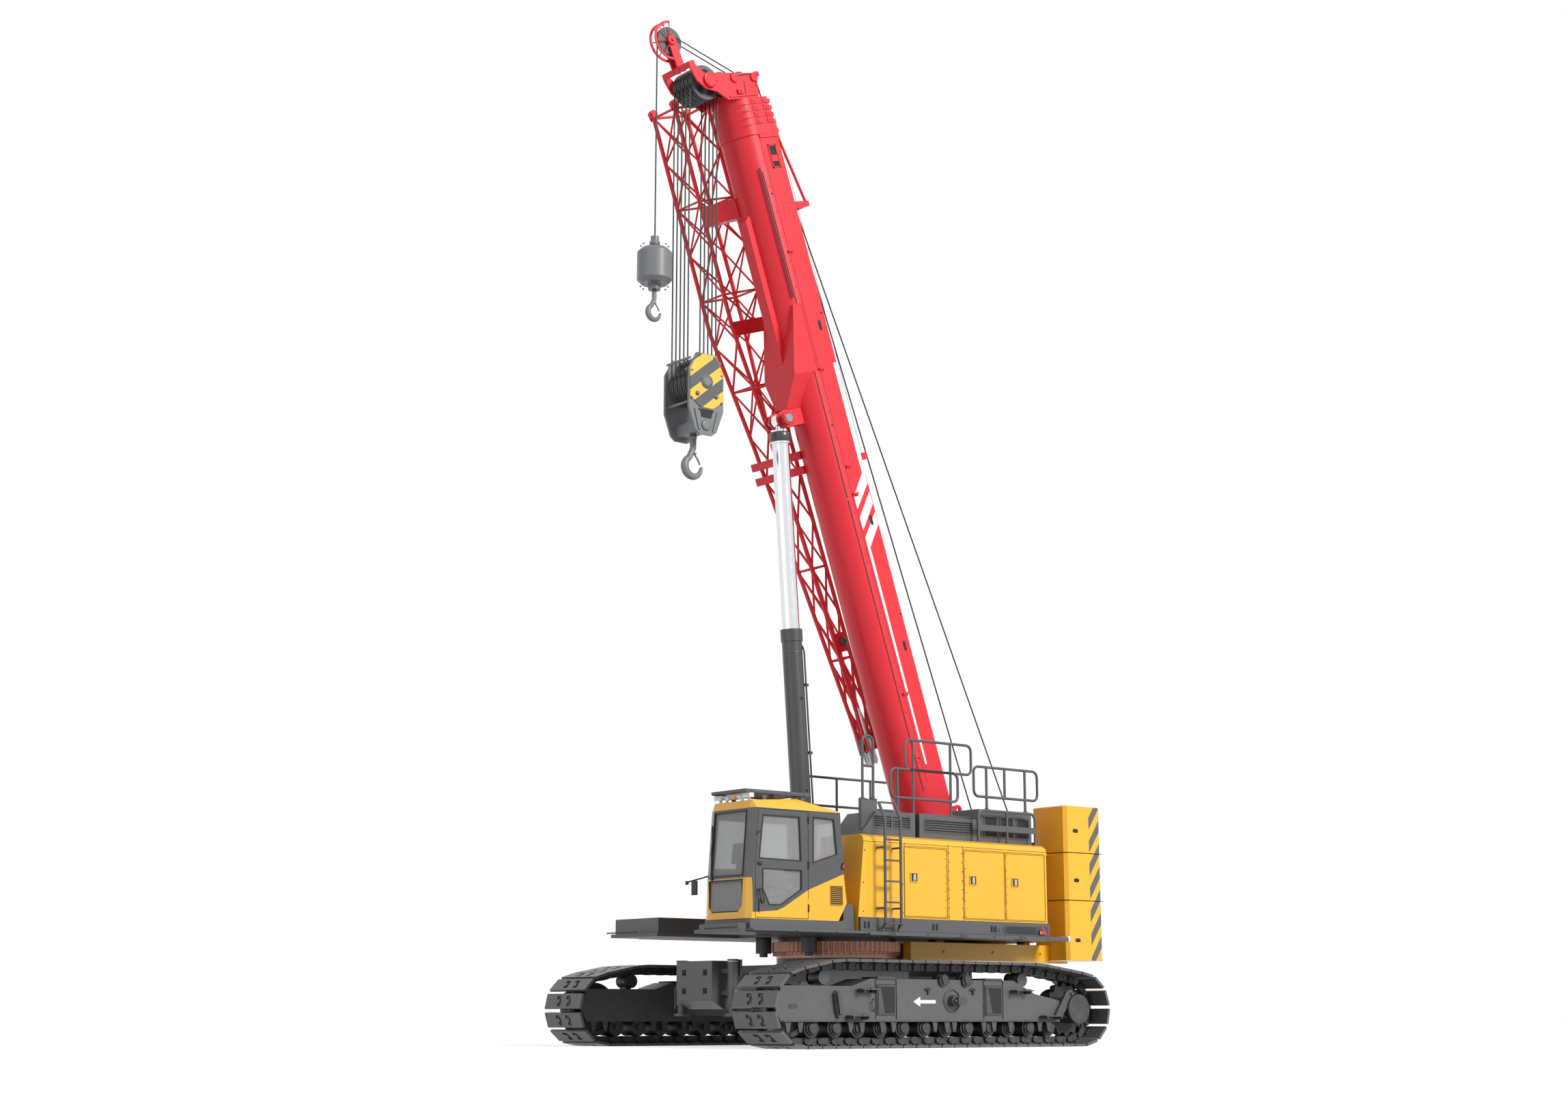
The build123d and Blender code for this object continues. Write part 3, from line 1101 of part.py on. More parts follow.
# ================================================================ boom
def boom_base():
    """Base section with its foot, head collar and side reinforcements."""
    base = boom_tube(BOOM_START, BOOM_END, 0, BOOM_WALL)
    collar = boom_tube(BOOM_END - 150, BOOM_END - 0.5, -18, 18 + BOOM_WALL)
    base = base.fuse(collar)
    for side in (1, -1):
        x, z = boom_xz(0, 0)
        y = sorted((side * (BOOM_LEFT - BOOM_WALL - 30), side * (WEB_IN - RUN)))
        base += disc_y(x, z, y, 200)
    x, z = boom_xz(0, 0)
    base -= disc_y(x, z, (-WEB_IN, WEB_IN), FOOT_PIN_R + PIN_GAP)
    back = BOOM_AXIS_T + BOOM_SIDE
    for piece in both_sides([foot_lug(back), collar_lug(BOOM_END - 150, back + 18), guide_arm(back)]):
        base += piece
    x, z = boom_xz(GUIDE_S, back + GUIDE_RISE)
    return base + disc_y(x, z, (-GUIDE_Y - 20, GUIDE_Y + 20), 45)


LUG_S = 440.0         # foot lug's hole along the boom
GUIDE_S, GUIDE_RISE, GUIDE_Y = 10000.0, 290.0, 240.0   # rope guide roller behind the boom


def foot_lug(back):
    """Eye plate on the boom's back near its foot."""
    x, z = boom_xz(LUG_S, back + 115)
    lug = boom_plate([(LUG_S - 150, back - BOOM_WALL + 1), (LUG_S - 70, back + 115), (LUG_S + 70, back + 115),
                      (LUG_S + 90, back - BOOM_WALL + 1)], (270, 310))
    lug += disc_y(x, z, (270, 310), 75)
    return lug - disc_y(x, z, (269, 311), 32)


def collar_lug(s, back):
    """Guide block on the back of a section's collar."""
    return boom_plate([(s + 20, back - BOOM_WALL + 1), (s + 20, back + 60), (s + 80, back + 60),
                       (s + 80, back - BOOM_WALL + 1)], (180, 290))


def guide_arm(back):
    """Arm of the rope guide roller with the stay that runs up to the collar."""
    s, t, y = GUIDE_S, back + GUIDE_RISE, GUIDE_Y
    arm = boom_plate([(s - 60, back - BOOM_WALL + 1), (s - 40, t + 50), (s + 40, t + 50), (s + 60, back - BOOM_WALL + 1)],
                     (y - 15, y + 15))
    low, high = boom_xz(s, t), boom_xz(BOOM_END - 90, back + 45)
    return arm + strut((low[0], y, low[1]), (high[0], y, high[1]), 22)


def boom_section(number):
    """A telescoping section with its end collar, inside the section before it."""
    smaller = SECTION_STEP * (number - 1)
    start = 500.0 + 60.0 * (number - 1)
    collar_low = BOOM_END + SEAT + (number - 2) * (COLLAR_LONG + SEAT)
    tube = boom_tube(start, collar_low + COLLAR_LONG, smaller, BOOM_WALL)
    grow = 6.0 * (number - 1) - 12.0
    collar = boom_tube(collar_low, collar_low + COLLAR_LONG, grow, smaller - grow + BOOM_WALL)
    lugs = both_sides([collar_lug(collar_low, BOOM_AXIS_T + BOOM_SIDE - grow)])
    return joined([tube, collar] + lugs)


def cylinder_clevis():
    """Faired box under the boom with the two ears for the rod eye."""
    s, t = EYE_S, EYE_T
    half = BOOM_LEFT
    side = boom_plate([(FAIR_LOW, -100), (FAIR_LOW + 20, FAIR_TIP_T), (FAIR_KINK, FAIR_KINK_T), (FAIR_TOP, 38),
                       (FAIR_TOP, BOOM_AXIS_T), (FAIR_LOW, BOOM_AXIS_T)], (-half, half))
    x, z = boom_xz(0, FAIR_TIP_T - 10)
    plan = Plane(origin=(x, 0, z), x_dir=(0, 1, 0), z_dir=(ACROSS[0], 0, ACROSS[1]))
    points = [(half, FAIR_TOP + 1), (half, FAIR_KINK), (FAIR_NARROW, FAIR_LOW - 1)]
    points += [(-y, along) for y, along in reversed(points)]
    sense = 1 if plan.y_dir.X * ALONG[0] + plan.y_dir.Z * ALONG[1] > 0 else -1
    outline = make_face(Polyline(*[(y, sense * along) for y, along in points], close=True))
    box = side & extrude(plan * outline, BOOM_AXIS_T - FAIR_TIP_T + 20)
    tube = extrude(boom_plane(FAIR_LOW - 400) * boom_outline(-SEAT), FAIR_TOP - FAIR_LOW + 500)
    ex, ez = boom_xz(s, t)
    pieces = [box]
    for sign in (1, -1):
        y = sorted((sign * (EYE_HALF + RUN), sign * (EYE_HALF + RUN + EAR_THICK)))
        ear = boom_plate([(s - EAR_R, t), (s - EAR_R, 0), (FAIR_LOW + 40, 0), (FAIR_LOW + 40, FAIR_TIP_T + 20),
                          (s + EAR_R, t)], y)
        pieces.append(ear + disc_y(ex, ez, y, EAR_R))
    clevis = joined(pieces) - tube
    return clevis - disc_y(ex, ez, (-half, half), EAR_BORE)


def keel():
    """Reinforcing bar along the boom's underside, down to the faired box."""
    low = boom_plate([(KEEL_LOW, 0), (KEEL_LOW, KEEL_T), (KEEL_TOP - 60, KEEL_T), (KEEL_TOP, KEEL_T + 60),
                      (KEEL_TOP, 0)], (-KEEL_HALF, KEEL_HALF))
    slope = (38 - FAIR_KINK_T) / (FAIR_TOP - FAIR_KINK)
    over = boom_plate([(KEEL_LOW - 1, FAIR_KINK_T + (KEEL_LOW - 1 - FAIR_KINK) * slope - SEAT),
                       (FAIR_TOP, 38 - SEAT), (FAIR_TOP, 500), (KEEL_LOW - 1, 500)], (-KEEL_HALF - 1, KEEL_HALF + 1))
    tube = extrude(boom_plane(KEEL_LOW - 10) * boom_outline(-SEAT), KEEL_TOP - KEEL_LOW + 20)
    return low - tube - over


def jib():
    """Lattice jib, stowed along the boom's right side."""
    stations = JIB_STATIONS

    def corner(s, k):
        for a, b in zip(stations, stations[1:]):
            if s <= b[0]:
                break
        share = (s - a[0]) / (b[0] - a[0])
        row = [p + (q - p) * share for p, q in zip(a, b)]
        t = row[1] if k in (0, 1) else row[2]
        y = row[3] if k in (0, 3) else row[4]
        x, z = boom_xz(s, t)
        return (x, y, z)

    cuts = [stations[0][0] + (stations[-1][0] - stations[0][0]) * k / 14 for k in range(15)]
    pieces = []
    for k in range(4):
        ring = [corner(row[0], k) for row in stations]
        pieces += [bar(a, b, JIB_CHORD_R) for a, b in zip(ring, ring[1:])]
        pieces += [Pos(*p) * Sphere(JIB_CHORD_R) for p in ring[1:-1]]
    for i, (s0, s1) in enumerate(zip(cuts, cuts[1:])):
        for k in range(4):
            a, b = (k, (k + 1) % 4) if i % 2 else ((k + 1) % 4, k)
            pieces.append(strut(corner(s0, a), corner(s1, b), JIB_LACE_R))
    for s in (cuts[0], cuts[-1]):
        for k in range(4):
            pieces.append(strut(corner(s, k), corner(s, (k + 1) % 4), JIB_FRAME_R))
    eyes = []
    for k in (0, 1):
        _, y, _ = corner(JIB_END, k)
        x, z = boom_xz(JIB_END + JIB_EYE_R, stations[-1][1])
        pieces.append(disc_y(x, z, (y - JIB_EYE_HALF, y + JIB_EYE_HALF), JIB_EYE_R))
        eyes.append(disc_y(x, z, (y - JIB_EYE_HALF - 1, y + JIB_EYE_HALF + 1), JIB_EYE_BORE))
    lattice = joined(pieces)
    for eye in eyes:
        lattice -= eye
    return lattice


def section_piece(points, s):
    """A piece with its outline in Y and t, between two places along the boom, cut clear of the boom."""
    plane = boom_plane(s[0])
    face = make_face(Polyline(*[(y, SIDE * t) for y, t in points], close=True))
    tube = extrude(boom_plane(s[0] - 1) * boom_outline(-SEAT), s[1] - s[0] + 2)
    return extrude(plane * face, s[1] - s[0]) - tube


def jib_low(s):
    """t of the front side of the jib's lower chords, at a place along the boom."""
    (s0, t0), (s1, t1) = [(row[0], row[1]) for row in JIB_STATIONS[:2]]
    slope = (t1 - t0) / (s1 - s0)
    return t0 + (s - s0) * slope - JIB_CHORD_R * hypot(1, slope)


def jib_brackets():
    """Arms that carry the stowed jib on the boom's right side."""
    out = []
    for s0, s1 in ((6000.0, 6120.0), (6230.0, 6350.0)):
        top = jib_low(s1) - SEAT
        out.append(section_piece([(-1190, top), (-1190, top - 110), (-300, top - 110), (-200, -90), (-300, 200),
                                  (-430, 200), (-460, top)], (s0, s1)))
    side = JIB_STATIONS[2][3] + JIB_CHORD_R + SEAT
    out.append(section_piece([(side, -360), (-400, -360), (-150, -110), (-300, 200), (-420, 200), (-460, -60),
                              (side, -150)], (10000.0, 10300.0)))
    return out


# ---------------------------------------------------------------- head
def boom_head():
    """Side plates, base plate, aux arm and shafts of the head, on the last section."""
    start = BOOM_END + SEAT + (SECTION_COUNT - 1) * (COLLAR_LONG + SEAT)
    sa, ta = boom_st(AUX_X, AUX_Z)
    outline = [
        (start, 460), (12060, 530), (12130, -500), (12300, -650), (12320, -740), (12220, -730),
        (12020, -660), (11890, -530), (11830, -330), (start, -150),
    ]
    pieces = [boom_plate(outline, y) for y in (HEAD_Y, (-HEAD_Y[1], -HEAD_Y[0]))]
    wide = (-HEAD_Y[1], HEAD_Y[1])
    pieces.append(boom_plate([(start, 460), (start + 35, 460), (start + 35, -150), (start, -150)], wide))
    pieces.append(boom_plate([(12225, -730), (12320, -740), (12340, -640), (12290, -620)], wide))
    x, z = SHEAVE_X, SHEAVE_Z
    pieces.append(disc_y(x, z, (wide[0] - 45, wide[1] + 45), HEAD_PIN_R))
    for s, t, _ in GUIDES:
        x, z = boom_xz(s, t)
        pieces.append(disc_y(x, z, wide, GUIDE_PIN_R))
    arm = [(12250, -600), (sa + 40, ta + 75), (sa + 75, ta), (sa, ta - 70), (12235, -735)]
    for side in (1, -1):
        pieces.append(boom_plate(arm, sorted((side * ARM_IN, side * (ARM_IN + ARM_THICK)))))
    pieces.append(disc_y(AUX_X, AUX_Z, (-ARM_IN - ARM_THICK - 20, ARM_IN + ARM_THICK + 20), AUX_PIN_R))
    return joined(pieces + both_sides([rope_guard()]))


def rope_guard():
    """Open ring round the front of the aux sheave, on four spokes."""
    y = (ARM_IN + 6, ARM_IN + ARM_THICK - 4)
    outer, inner = AUX_R + 85, AUX_R + 50
    ring = disc_y(AUX_X, AUX_Z, y, outer) - disc_y(AUX_X, AUX_Z, (y[0] - 1, y[1] + 1), inner)
    ring &= plate_xz([(AUX_X, AUX_Z), (AUX_X - 130, AUX_Z - 450), (AUX_X + 450, AUX_Z - 450), (AUX_X + 450, AUX_Z + 450),
                      (AUX_X + 60, AUX_Z + 450)], (y[0] - 2, y[1] + 2))
    for turn in (80.0, 35.0, -15.0, -65.0, -103.0):
        a = radians(turn)
        tip = (AUX_X + (inner + 12) * cos(a), (y[0] + y[1]) / 2, AUX_Z + (inner + 12) * sin(a))
        ring += strut((AUX_X, (y[0] + y[1]) / 2, AUX_Z), tip, 8)
    return ring


def head_sheaves():
    """Rope sheaves in the head, on the aux arm and at the top of the head."""
    out = [sheave(SHEAVE_X, y, SHEAVE_Z, SHEAVE_R, HEAD_PIN_R) for y in sheave_places()]
    out.append(sheave(AUX_X, 0, AUX_Z, AUX_R, AUX_PIN_R))
    for s, t, radius in GUIDES:
        x, z = boom_xz(s, t)
        out.append(sheave(x, 0, z, radius, GUIDE_PIN_R))
    return out


def sheave_places():
    """Y of each sheave in the main pack."""
    return [(k - (SHEAVE_COUNT - 1) / 2) * SHEAVE_PITCH for k in range(SHEAVE_COUNT)]


def rope_line(radius):
    """Radius of the rope's centre line on a sheave."""
    return radius - GROOVE_DEPTH + ROPE_R + SEAT


def sheave(x, y, z, radius, bore):
    """A grooved rope wheel."""
    half = SHEAVE_THICK / 2
    wheel = disc_y(x, z, (y - half, y + half), radius)
    groove = disc_y(x, z, (y - GROOVE_HALF, y + GROOVE_HALF), radius + 1)
    wheel -= groove - disc_y(x, z, (y - GROOVE_HALF, y + GROOVE_HALF), radius - GROOVE_DEPTH)
    return wheel - disc_y(x, z, (y - half - 1, y + half + 1), bore + SEAT)


# ---------------------------------------------------------------- falls and hooks
def main_falls():
    """The main hoist's rope falls from the head to the hook block."""
    out = []
    for y in sheave_places():
        for side in (1, -1):
            x = SHEAVE_X + side * rope_line(SHEAVE_R)
            out.append(strut((x, y, BLOCK_AXLE), (x, y, SHEAVE_Z), ROPE_R))
    return out


def main_block():
    """Hook block: cheek plates, axle and cross head."""
    mid = SHEAVE_X
    low, top = BLOCK_LOW, BLOCK_TOP
    wide = 310.0
    outline = [(mid - wide, low + 380), (mid - wide + 120, low + 60), (mid - 110, low), (mid + 110, low),
               (mid + wide - 120, low + 60), (mid + wide, low + 380), (mid + wide, top - 250),
               (mid + wide - 140, top), (mid - wide + 140, top), (mid - wide, top - 250)]
    plates = [plate_xz(outline, (y, y + 40)) for y in (-310.0, 270.0)]
    plates.append(disc_y(mid, BLOCK_AXLE, (-330.0, 330.0), BLOCK_PIN_R))
    plates.append(block((mid - 100, mid + 100), (-271.0, 271.0), (low + 60, low + 230)))
    plates.append(block((mid - 60, mid + 60), (-271.0, 271.0), (top - 60, top - 20)))
    return joined(plates)


def block_sheaves():
    """Sheaves of the hook block."""
    return [sheave(SHEAVE_X, y, BLOCK_AXLE, SHEAVE_R, BLOCK_PIN_R) for y in sheave_places()]


def hook(x, z_top, z_low, thick, half_y):
    """A single hook under its shank, opening to the front."""
    height = z_top - z_low
    r = height * 0.30
    cz = z_low + r
    ring = disc_y(x, cz, (-half_y, half_y), r) - disc_y(x, cz, (-half_y - 1, half_y + 1), r - thick)
    mouth = plate_xz([(x, cz + thick * 0.3), (x + 2 * r, cz - r * 0.1), (x + 2 * r, cz + 2 * r), (x, cz + 2 * r)],
                     (-half_y - 1, half_y + 1))
    ring -= mouth
    neck = plate_xz([(x - r, cz), (x - r + thick, cz), (x + thick * 0.45, cz + r * 0.9),
                     (x + thick * 0.45, z_top - height * 0.1),
                     (x - thick * 0.45, z_top - height * 0.1), (x - thick * 0.6, cz + r * 1.1)],
                    (-half_y, half_y))
    shank = disc_z(x, 0, (z_top - height * 0.2, z_top), thick * 0.5)
    return joined([ring, neck, shank])


def aux_fall():
    """The aux hoist's single rope, from its sheave down to the weight's socket."""
    x = AUX_X + rope_line(AUX_R)
    return strut((x, 0, BALL_TOP + BALL_SOCKET + SEAT), (x, 0, AUX_Z), ROPE_R)


def aux_ball():
    """Round overhaul weight with its rope socket."""
    x = AUX_X + rope_line(AUX_R)
    body = disc_z(x, 0, (BALL_LOW + 90, BALL_TOP - 90), BALL_R)
    body = chamfer(body.edges().filter_by(GeomType.CIRCLE), 60)
    body += disc_z(x, 0, (BALL_LOW, BALL_LOW + 91), 90)
    body += disc_z(x, 0, (BALL_TOP - 91, BALL_TOP + BALL_SOCKET), 60)
    return body


def lift_point(distance):
    """The point at a distance from the foot pin along the lift cylinder."""
    dx, dz = EYE_X - BASE_PIN_X, EYE_Z - BASE_PIN_Z
    share = distance / hypot(dx, dz)
    return (BASE_PIN_X + dx * share, 0, BASE_PIN_Z + dz * share)


def lift_barrel():
    """Lift cylinder barrel with its foot eye and head gland."""
    at = lift_point
    top = BARREL_LONG
    foot = (-BARREL_FOOT, BARREL_FOOT)
    barrel = joined([
        bar(at(175), at(top - 170), BARREL_R), bar(at(top - 180), at(top), BARREL_R + 14),
        disc_y(BASE_PIN_X, BASE_PIN_Z, foot, 150), bar(at(60), at(200), 120),
    ])
    barrel -= disc_y(BASE_PIN_X, BASE_PIN_Z, foot, CYLINDER_PIN_R + PIN_GAP)
    return barrel - bar(at(260), at(top + 1), ROD_R + PIN_GAP)


def lift_rod():
    """Chromed rod with its collar and eye."""
    at = lift_point
    length = hypot(EYE_X - BASE_PIN_X, EYE_Z - BASE_PIN_Z)
    head = disc_y(EYE_X, EYE_Z, (-EYE_HALF, EYE_HALF), EYE_R) - disc_y(EYE_X, EYE_Z, (-200, 200), EAR_BORE)
    shank = bar(at(length - 210), at(length - 80), EYE_HALF * 0.95) - disc_y(EYE_X, EYE_Z, (-200, 200), EYE_R - 5)
    return joined([bar(at(length - ROD_LONG), at(length - 240), ROD_R), bar(at(length - 360), at(length - 200), 160),
                   shank, head])


# ================================================================ output
def model():
    """Every node's name with its solid or solids."""
    nodes = {
        "carbody": carbody(), "carbody_weights": carbody_weights(), "jack_cylinders": jack_cylinders(),
        "slew_ring": slew_ring(),
        "revolving_frame": revolving_frame(), "frame_pins": [boom_foot_pin(), cylinder_foot_pin()],
        "decks": decks(), "slew_drives": slew_drives(),
        "cab_shell": cab_shell(), "cab_glass": cab_glass(), "cab_seat": cab_inside(),
        "cab_supports": cab_supports(), "roof_guard": roof_guard(), "lamps": cab_lamps(),
        "cab_door": cab_door(), "cab_door_glass": cab_door_glass(),
        "engine_hood": engine_hood(), "engine_block": engine_block(), "louvre_hood": louvre_hood(),
        "right_housing": right_housing(), "handrails": handrails(), "ladder": ladder(),
        "counterweight_tray": counterweight_tray(), "counterweight_blocks": counterweight_blocks(),
        "boom_base": boom_base(), "cylinder_clevis": cylinder_clevis(), "boom_keel": keel(),
        "jib": jib(), "jib_brackets": jib_brackets(),
        "boom_head": boom_head(), "head_sheaves": head_sheaves(),
        "lift_cylinder_barrel": lift_barrel(), "lift_cylinder_rod": lift_rod(),
        "main_falls": main_falls(), "main_block": main_block(), "block_sheaves": block_sheaves(),
        "main_hook": hook(SHEAVE_X, BLOCK_LOW + 60 - SEAT, HOOK_LOW, 90, 55),
        "aux_fall": aux_fall(),
        "aux_ball": aux_ball(),
        "aux_hook": hook(AUX_X + rope_line(AUX_R), BALL_LOW - SEAT, AUX_HOOK_LOW, 55, 35),
    }
    for side, name in ((1, "left"), (-1, "right")):
        y = side * TRACK_GAUGE / 2
        nodes[name + "_track"] = track_loop(y)
        nodes[name + "_track_wheels"] = track_wheels(y)
        nodes[name + "_side_frame"] = side_frame(y)
    for number in range(2, SECTION_COUNT + 1):
        nodes[f"boom_section_{number}"] = boom_section(number)
    for name, front, rear, hinge in HOOD_DOORS:
        nodes[f"hood_door_{name}"] = hood_door(front, rear, hinge)
    for name, x, z in WINCHES:
        nodes[f"{name}_winch_drum"] = winch_drum(x, z)
    return nodes


def write(nodes):
    """One STEP file for each node."""
    os.makedirs("parts", exist_ok=True)
    for name, shape in nodes.items():
        solids = shape if isinstance(shape, list) else [shape]
        flat = [s for item in solids for s in item.solids()]
        export_step(Compound(children=flat) if len(flat) > 1 else flat[0], f"parts/{name}.step")


write(model())
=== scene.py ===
"""Dresses the crawler crane's solids: finishes, rails, tracks, rigging and small fittings.

All places are metres in the machine's own frame: origin on the ground under the slewing axis,
+X to the front, +Y to the cab side, +Z up.
"""

import logging
import math
from dataclasses import dataclass
from enum import Enum
from typing import Iterable, Sequence

import bmesh
import bpy
from mathutils import Matrix, Vector


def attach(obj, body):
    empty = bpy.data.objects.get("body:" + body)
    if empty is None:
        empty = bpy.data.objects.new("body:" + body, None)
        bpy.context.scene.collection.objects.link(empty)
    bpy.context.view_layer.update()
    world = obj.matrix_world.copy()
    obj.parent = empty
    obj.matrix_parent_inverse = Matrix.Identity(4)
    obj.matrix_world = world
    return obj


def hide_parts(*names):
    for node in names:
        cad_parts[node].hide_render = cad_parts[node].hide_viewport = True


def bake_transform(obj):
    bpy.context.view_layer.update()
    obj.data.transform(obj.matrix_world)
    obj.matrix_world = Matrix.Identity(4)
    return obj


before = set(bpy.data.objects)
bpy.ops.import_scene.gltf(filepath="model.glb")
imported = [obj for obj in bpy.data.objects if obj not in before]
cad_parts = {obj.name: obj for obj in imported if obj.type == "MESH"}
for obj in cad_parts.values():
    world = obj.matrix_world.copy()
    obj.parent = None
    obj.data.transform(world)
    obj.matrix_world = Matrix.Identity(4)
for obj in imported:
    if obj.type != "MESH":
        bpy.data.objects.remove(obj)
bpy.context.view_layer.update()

Point = tuple[float, float, float]
Flat = tuple[float, float]
Colour = tuple[float, float, float, float]
Points = Sequence[Sequence[float]]
log = logging.getLogger("crane")

# ------------------------------------------------------------------ the boom's own axes
BOOM_ANGLE = math.radians(71.0)
FOOT = Vector((-1.616, 0.0, 2.852))
ALONG = Vector((math.cos(BOOM_ANGLE), 0.0, math.sin(BOOM_ANGLE)))
ACROSS = Vector((-math.sin(BOOM_ANGLE), 0.0, math.cos(BOOM_ANGLE)))
CYLINDER_FOOT, CYLINDER_EYE = Vector((0.5753, 0.0, 2.1)), Vector((1.0885, 0.0, 9.171))
MAIN_FALLS_X, AUX_FALL_X = 2.70, 3.4263
MAIN_DRUM, AUX_DRUM = Vector((-2.85, 0.0, 2.48)), Vector((-3.70, 0.0, 2.76))


def on_boom(s: float, t: float, y: float = 0.0) -> Vector:
    """Place of a boom point: s along it, t towards its back, y across the machine."""
    return FOOT + ALONG * s + ACROSS * t + Vector((0.0, y, 0.0))


def rectangle(x0: float, x1: float, z0: float, z1: float) -> list[Flat]:
    """Corners of an upright rectangle, in order."""
    return [(x0, z0), (x1, z0), (x1, z1), (x0, z1)]


# ------------------------------------------------------------------ finishes
class Pattern(Enum):
    """How a finish is laid over its base coat."""

    PLAIN = "plain"
    CAB = "cab"
    HAZARD = "hazard"


def linear(red: int, green: int, blue: int) -> Colour:
    """A screen colour, 0 to 255 a channel, as linear light with full alpha."""
    out = []
    for channel in (red, green, blue):
        value = channel / 255
        out.append(value / 12.92 if value <= 0.04045 else ((value + 0.055) / 1.055) ** 2.4)
    return (out[0], out[1], out[2], 1.0)


class Shading:
    """Small helper that adds and links nodes in one node tree."""

    def __init__(self, tree: bpy.types.NodeTree) -> None:
        """Keeps the tree that the nodes go into."""
        self.tree = tree

    def add(self, kind: str, **settings: object) -> bpy.types.Node:
        """Adds a node.

        Args:
            kind: The node's type name.
            settings: Properties to set on it.

        Returns:
            The new node.
        """
        node = self.tree.nodes.new(kind)
        for key, value in settings.items():
            setattr(node, key, value)
        return node

    def link(self, out: bpy.types.NodeSocket, into: bpy.types.NodeSocket) -> None:
        """Joins an output to an input."""
        self.tree.links.new(out, into)

    def feed(self, value: object, into: bpy.types.NodeSocket) -> None:
        """Joins a socket to an input, or sets the input's own value."""
        if isinstance(value, bpy.types.NodeSocket):
            self.link(value, into)
        else:
            into.default_value = value

    def math(self, operation: str, a: object, b: object = 0.0, clamp: bool = False) -> bpy.types.NodeSocket:
        """A sum or comparison of two values."""
        node = self.add("ShaderNodeMath", operation=operation, use_clamp=clamp)
        self.feed(a, node.inputs[0])
        self.feed(b, node.inputs[1])
        return node.outputs[0]

    def mix(self, share: object, a: object, b: object) -> bpy.types.NodeSocket:
        """A blend of two colours."""
        node = self.add("ShaderNodeMix", data_type="RGBA")
        self.feed(share, node.inputs[0])
        self.feed(a, node.inputs[6])
        self.feed(b, node.inputs[7])
        return node.outputs[2]

    def place(self) -> bpy.types.NodeSocket:
        """The object's own coordinates."""
        return self.add("ShaderNodeTexCoord").outputs["Object"]

    def axes(self) -> tuple[bpy.types.NodeSocket, bpy.types.NodeSocket]:
        """X and Z of the object's own coordinates."""
        split = self.add("ShaderNodeSeparateXYZ")
        self.link(self.place(), split.inputs[0])
        return split.outputs["X"], split.outputs["Z"]

    def seen(self) -> bpy.types.NodeSocket:
        """1 where the camera, a reflection or a pane looks, 0 for the light that falls on things."""
        path = self.add("ShaderNodeLightPath")
        return self.math("MAXIMUM", path.outputs["Is Camera Ray"],
                         self.math("MAXIMUM", path.outputs["Is Glossy Ray"], path.outputs["Is Transmission Ray"]))

    def noise(self, scale: float, detail: float = 3.0, rough: float = 0.55) -> bpy.types.NodeSocket:
        """Noise over the object's own coordinates."""
        node = self.add("ShaderNodeTexNoise")
        self.link(self.place(), node.inputs["Vector"])
        node.inputs["Scale"].default_value = scale
        node.inputs["Detail"].default_value = detail
        node.inputs["Roughness"].default_value = rough
        return node.outputs["Fac"]

    def ramp(self, value: bpy.types.NodeSocket, low: float, high: float) -> bpy.types.NodeSocket:
        """A value stretched so that low gives 0 and high gives 1."""
        node = self.add("ShaderNodeMapRange")
        self.link(value, node.inputs["Value"])
        node.inputs["From Min"].default_value = low
        node.inputs["From Max"].default_value = high
        return node.outputs["Result"]


def effect_group(name: str, inputs: Sequence[tuple[str, str, object]],
                 outputs: Sequence[tuple[str, str]],
                 ) -> tuple[bpy.types.NodeTree, Shading, bpy.types.Node, bpy.types.Node]:
    """Starts a shared shader effect.

    Args:
        name: Name of the group.
        inputs: Name, socket type and start value of each input.
        outputs: Name and socket type of each output.

    Returns:
        The group, its helper, its input node and its output node.
    """
    tree = bpy.data.node_groups.new(name, "ShaderNodeTree")
    for label, kind, value in inputs:
        socket = tree.interface.new_socket(name=label, in_out="INPUT", socket_type=kind)
        socket.default_value = value
    for label, kind in outputs:
        tree.interface.new_socket(name=label, in_out="OUTPUT", socket_type=kind)
    nodes = Shading(tree)
    return tree, nodes, nodes.add("NodeGroupInput"), nodes.add("NodeGroupOutput")


FLOAT, COLOUR, VECTOR = "NodeSocketFloat", "NodeSocketColor", "NodeSocketVector"


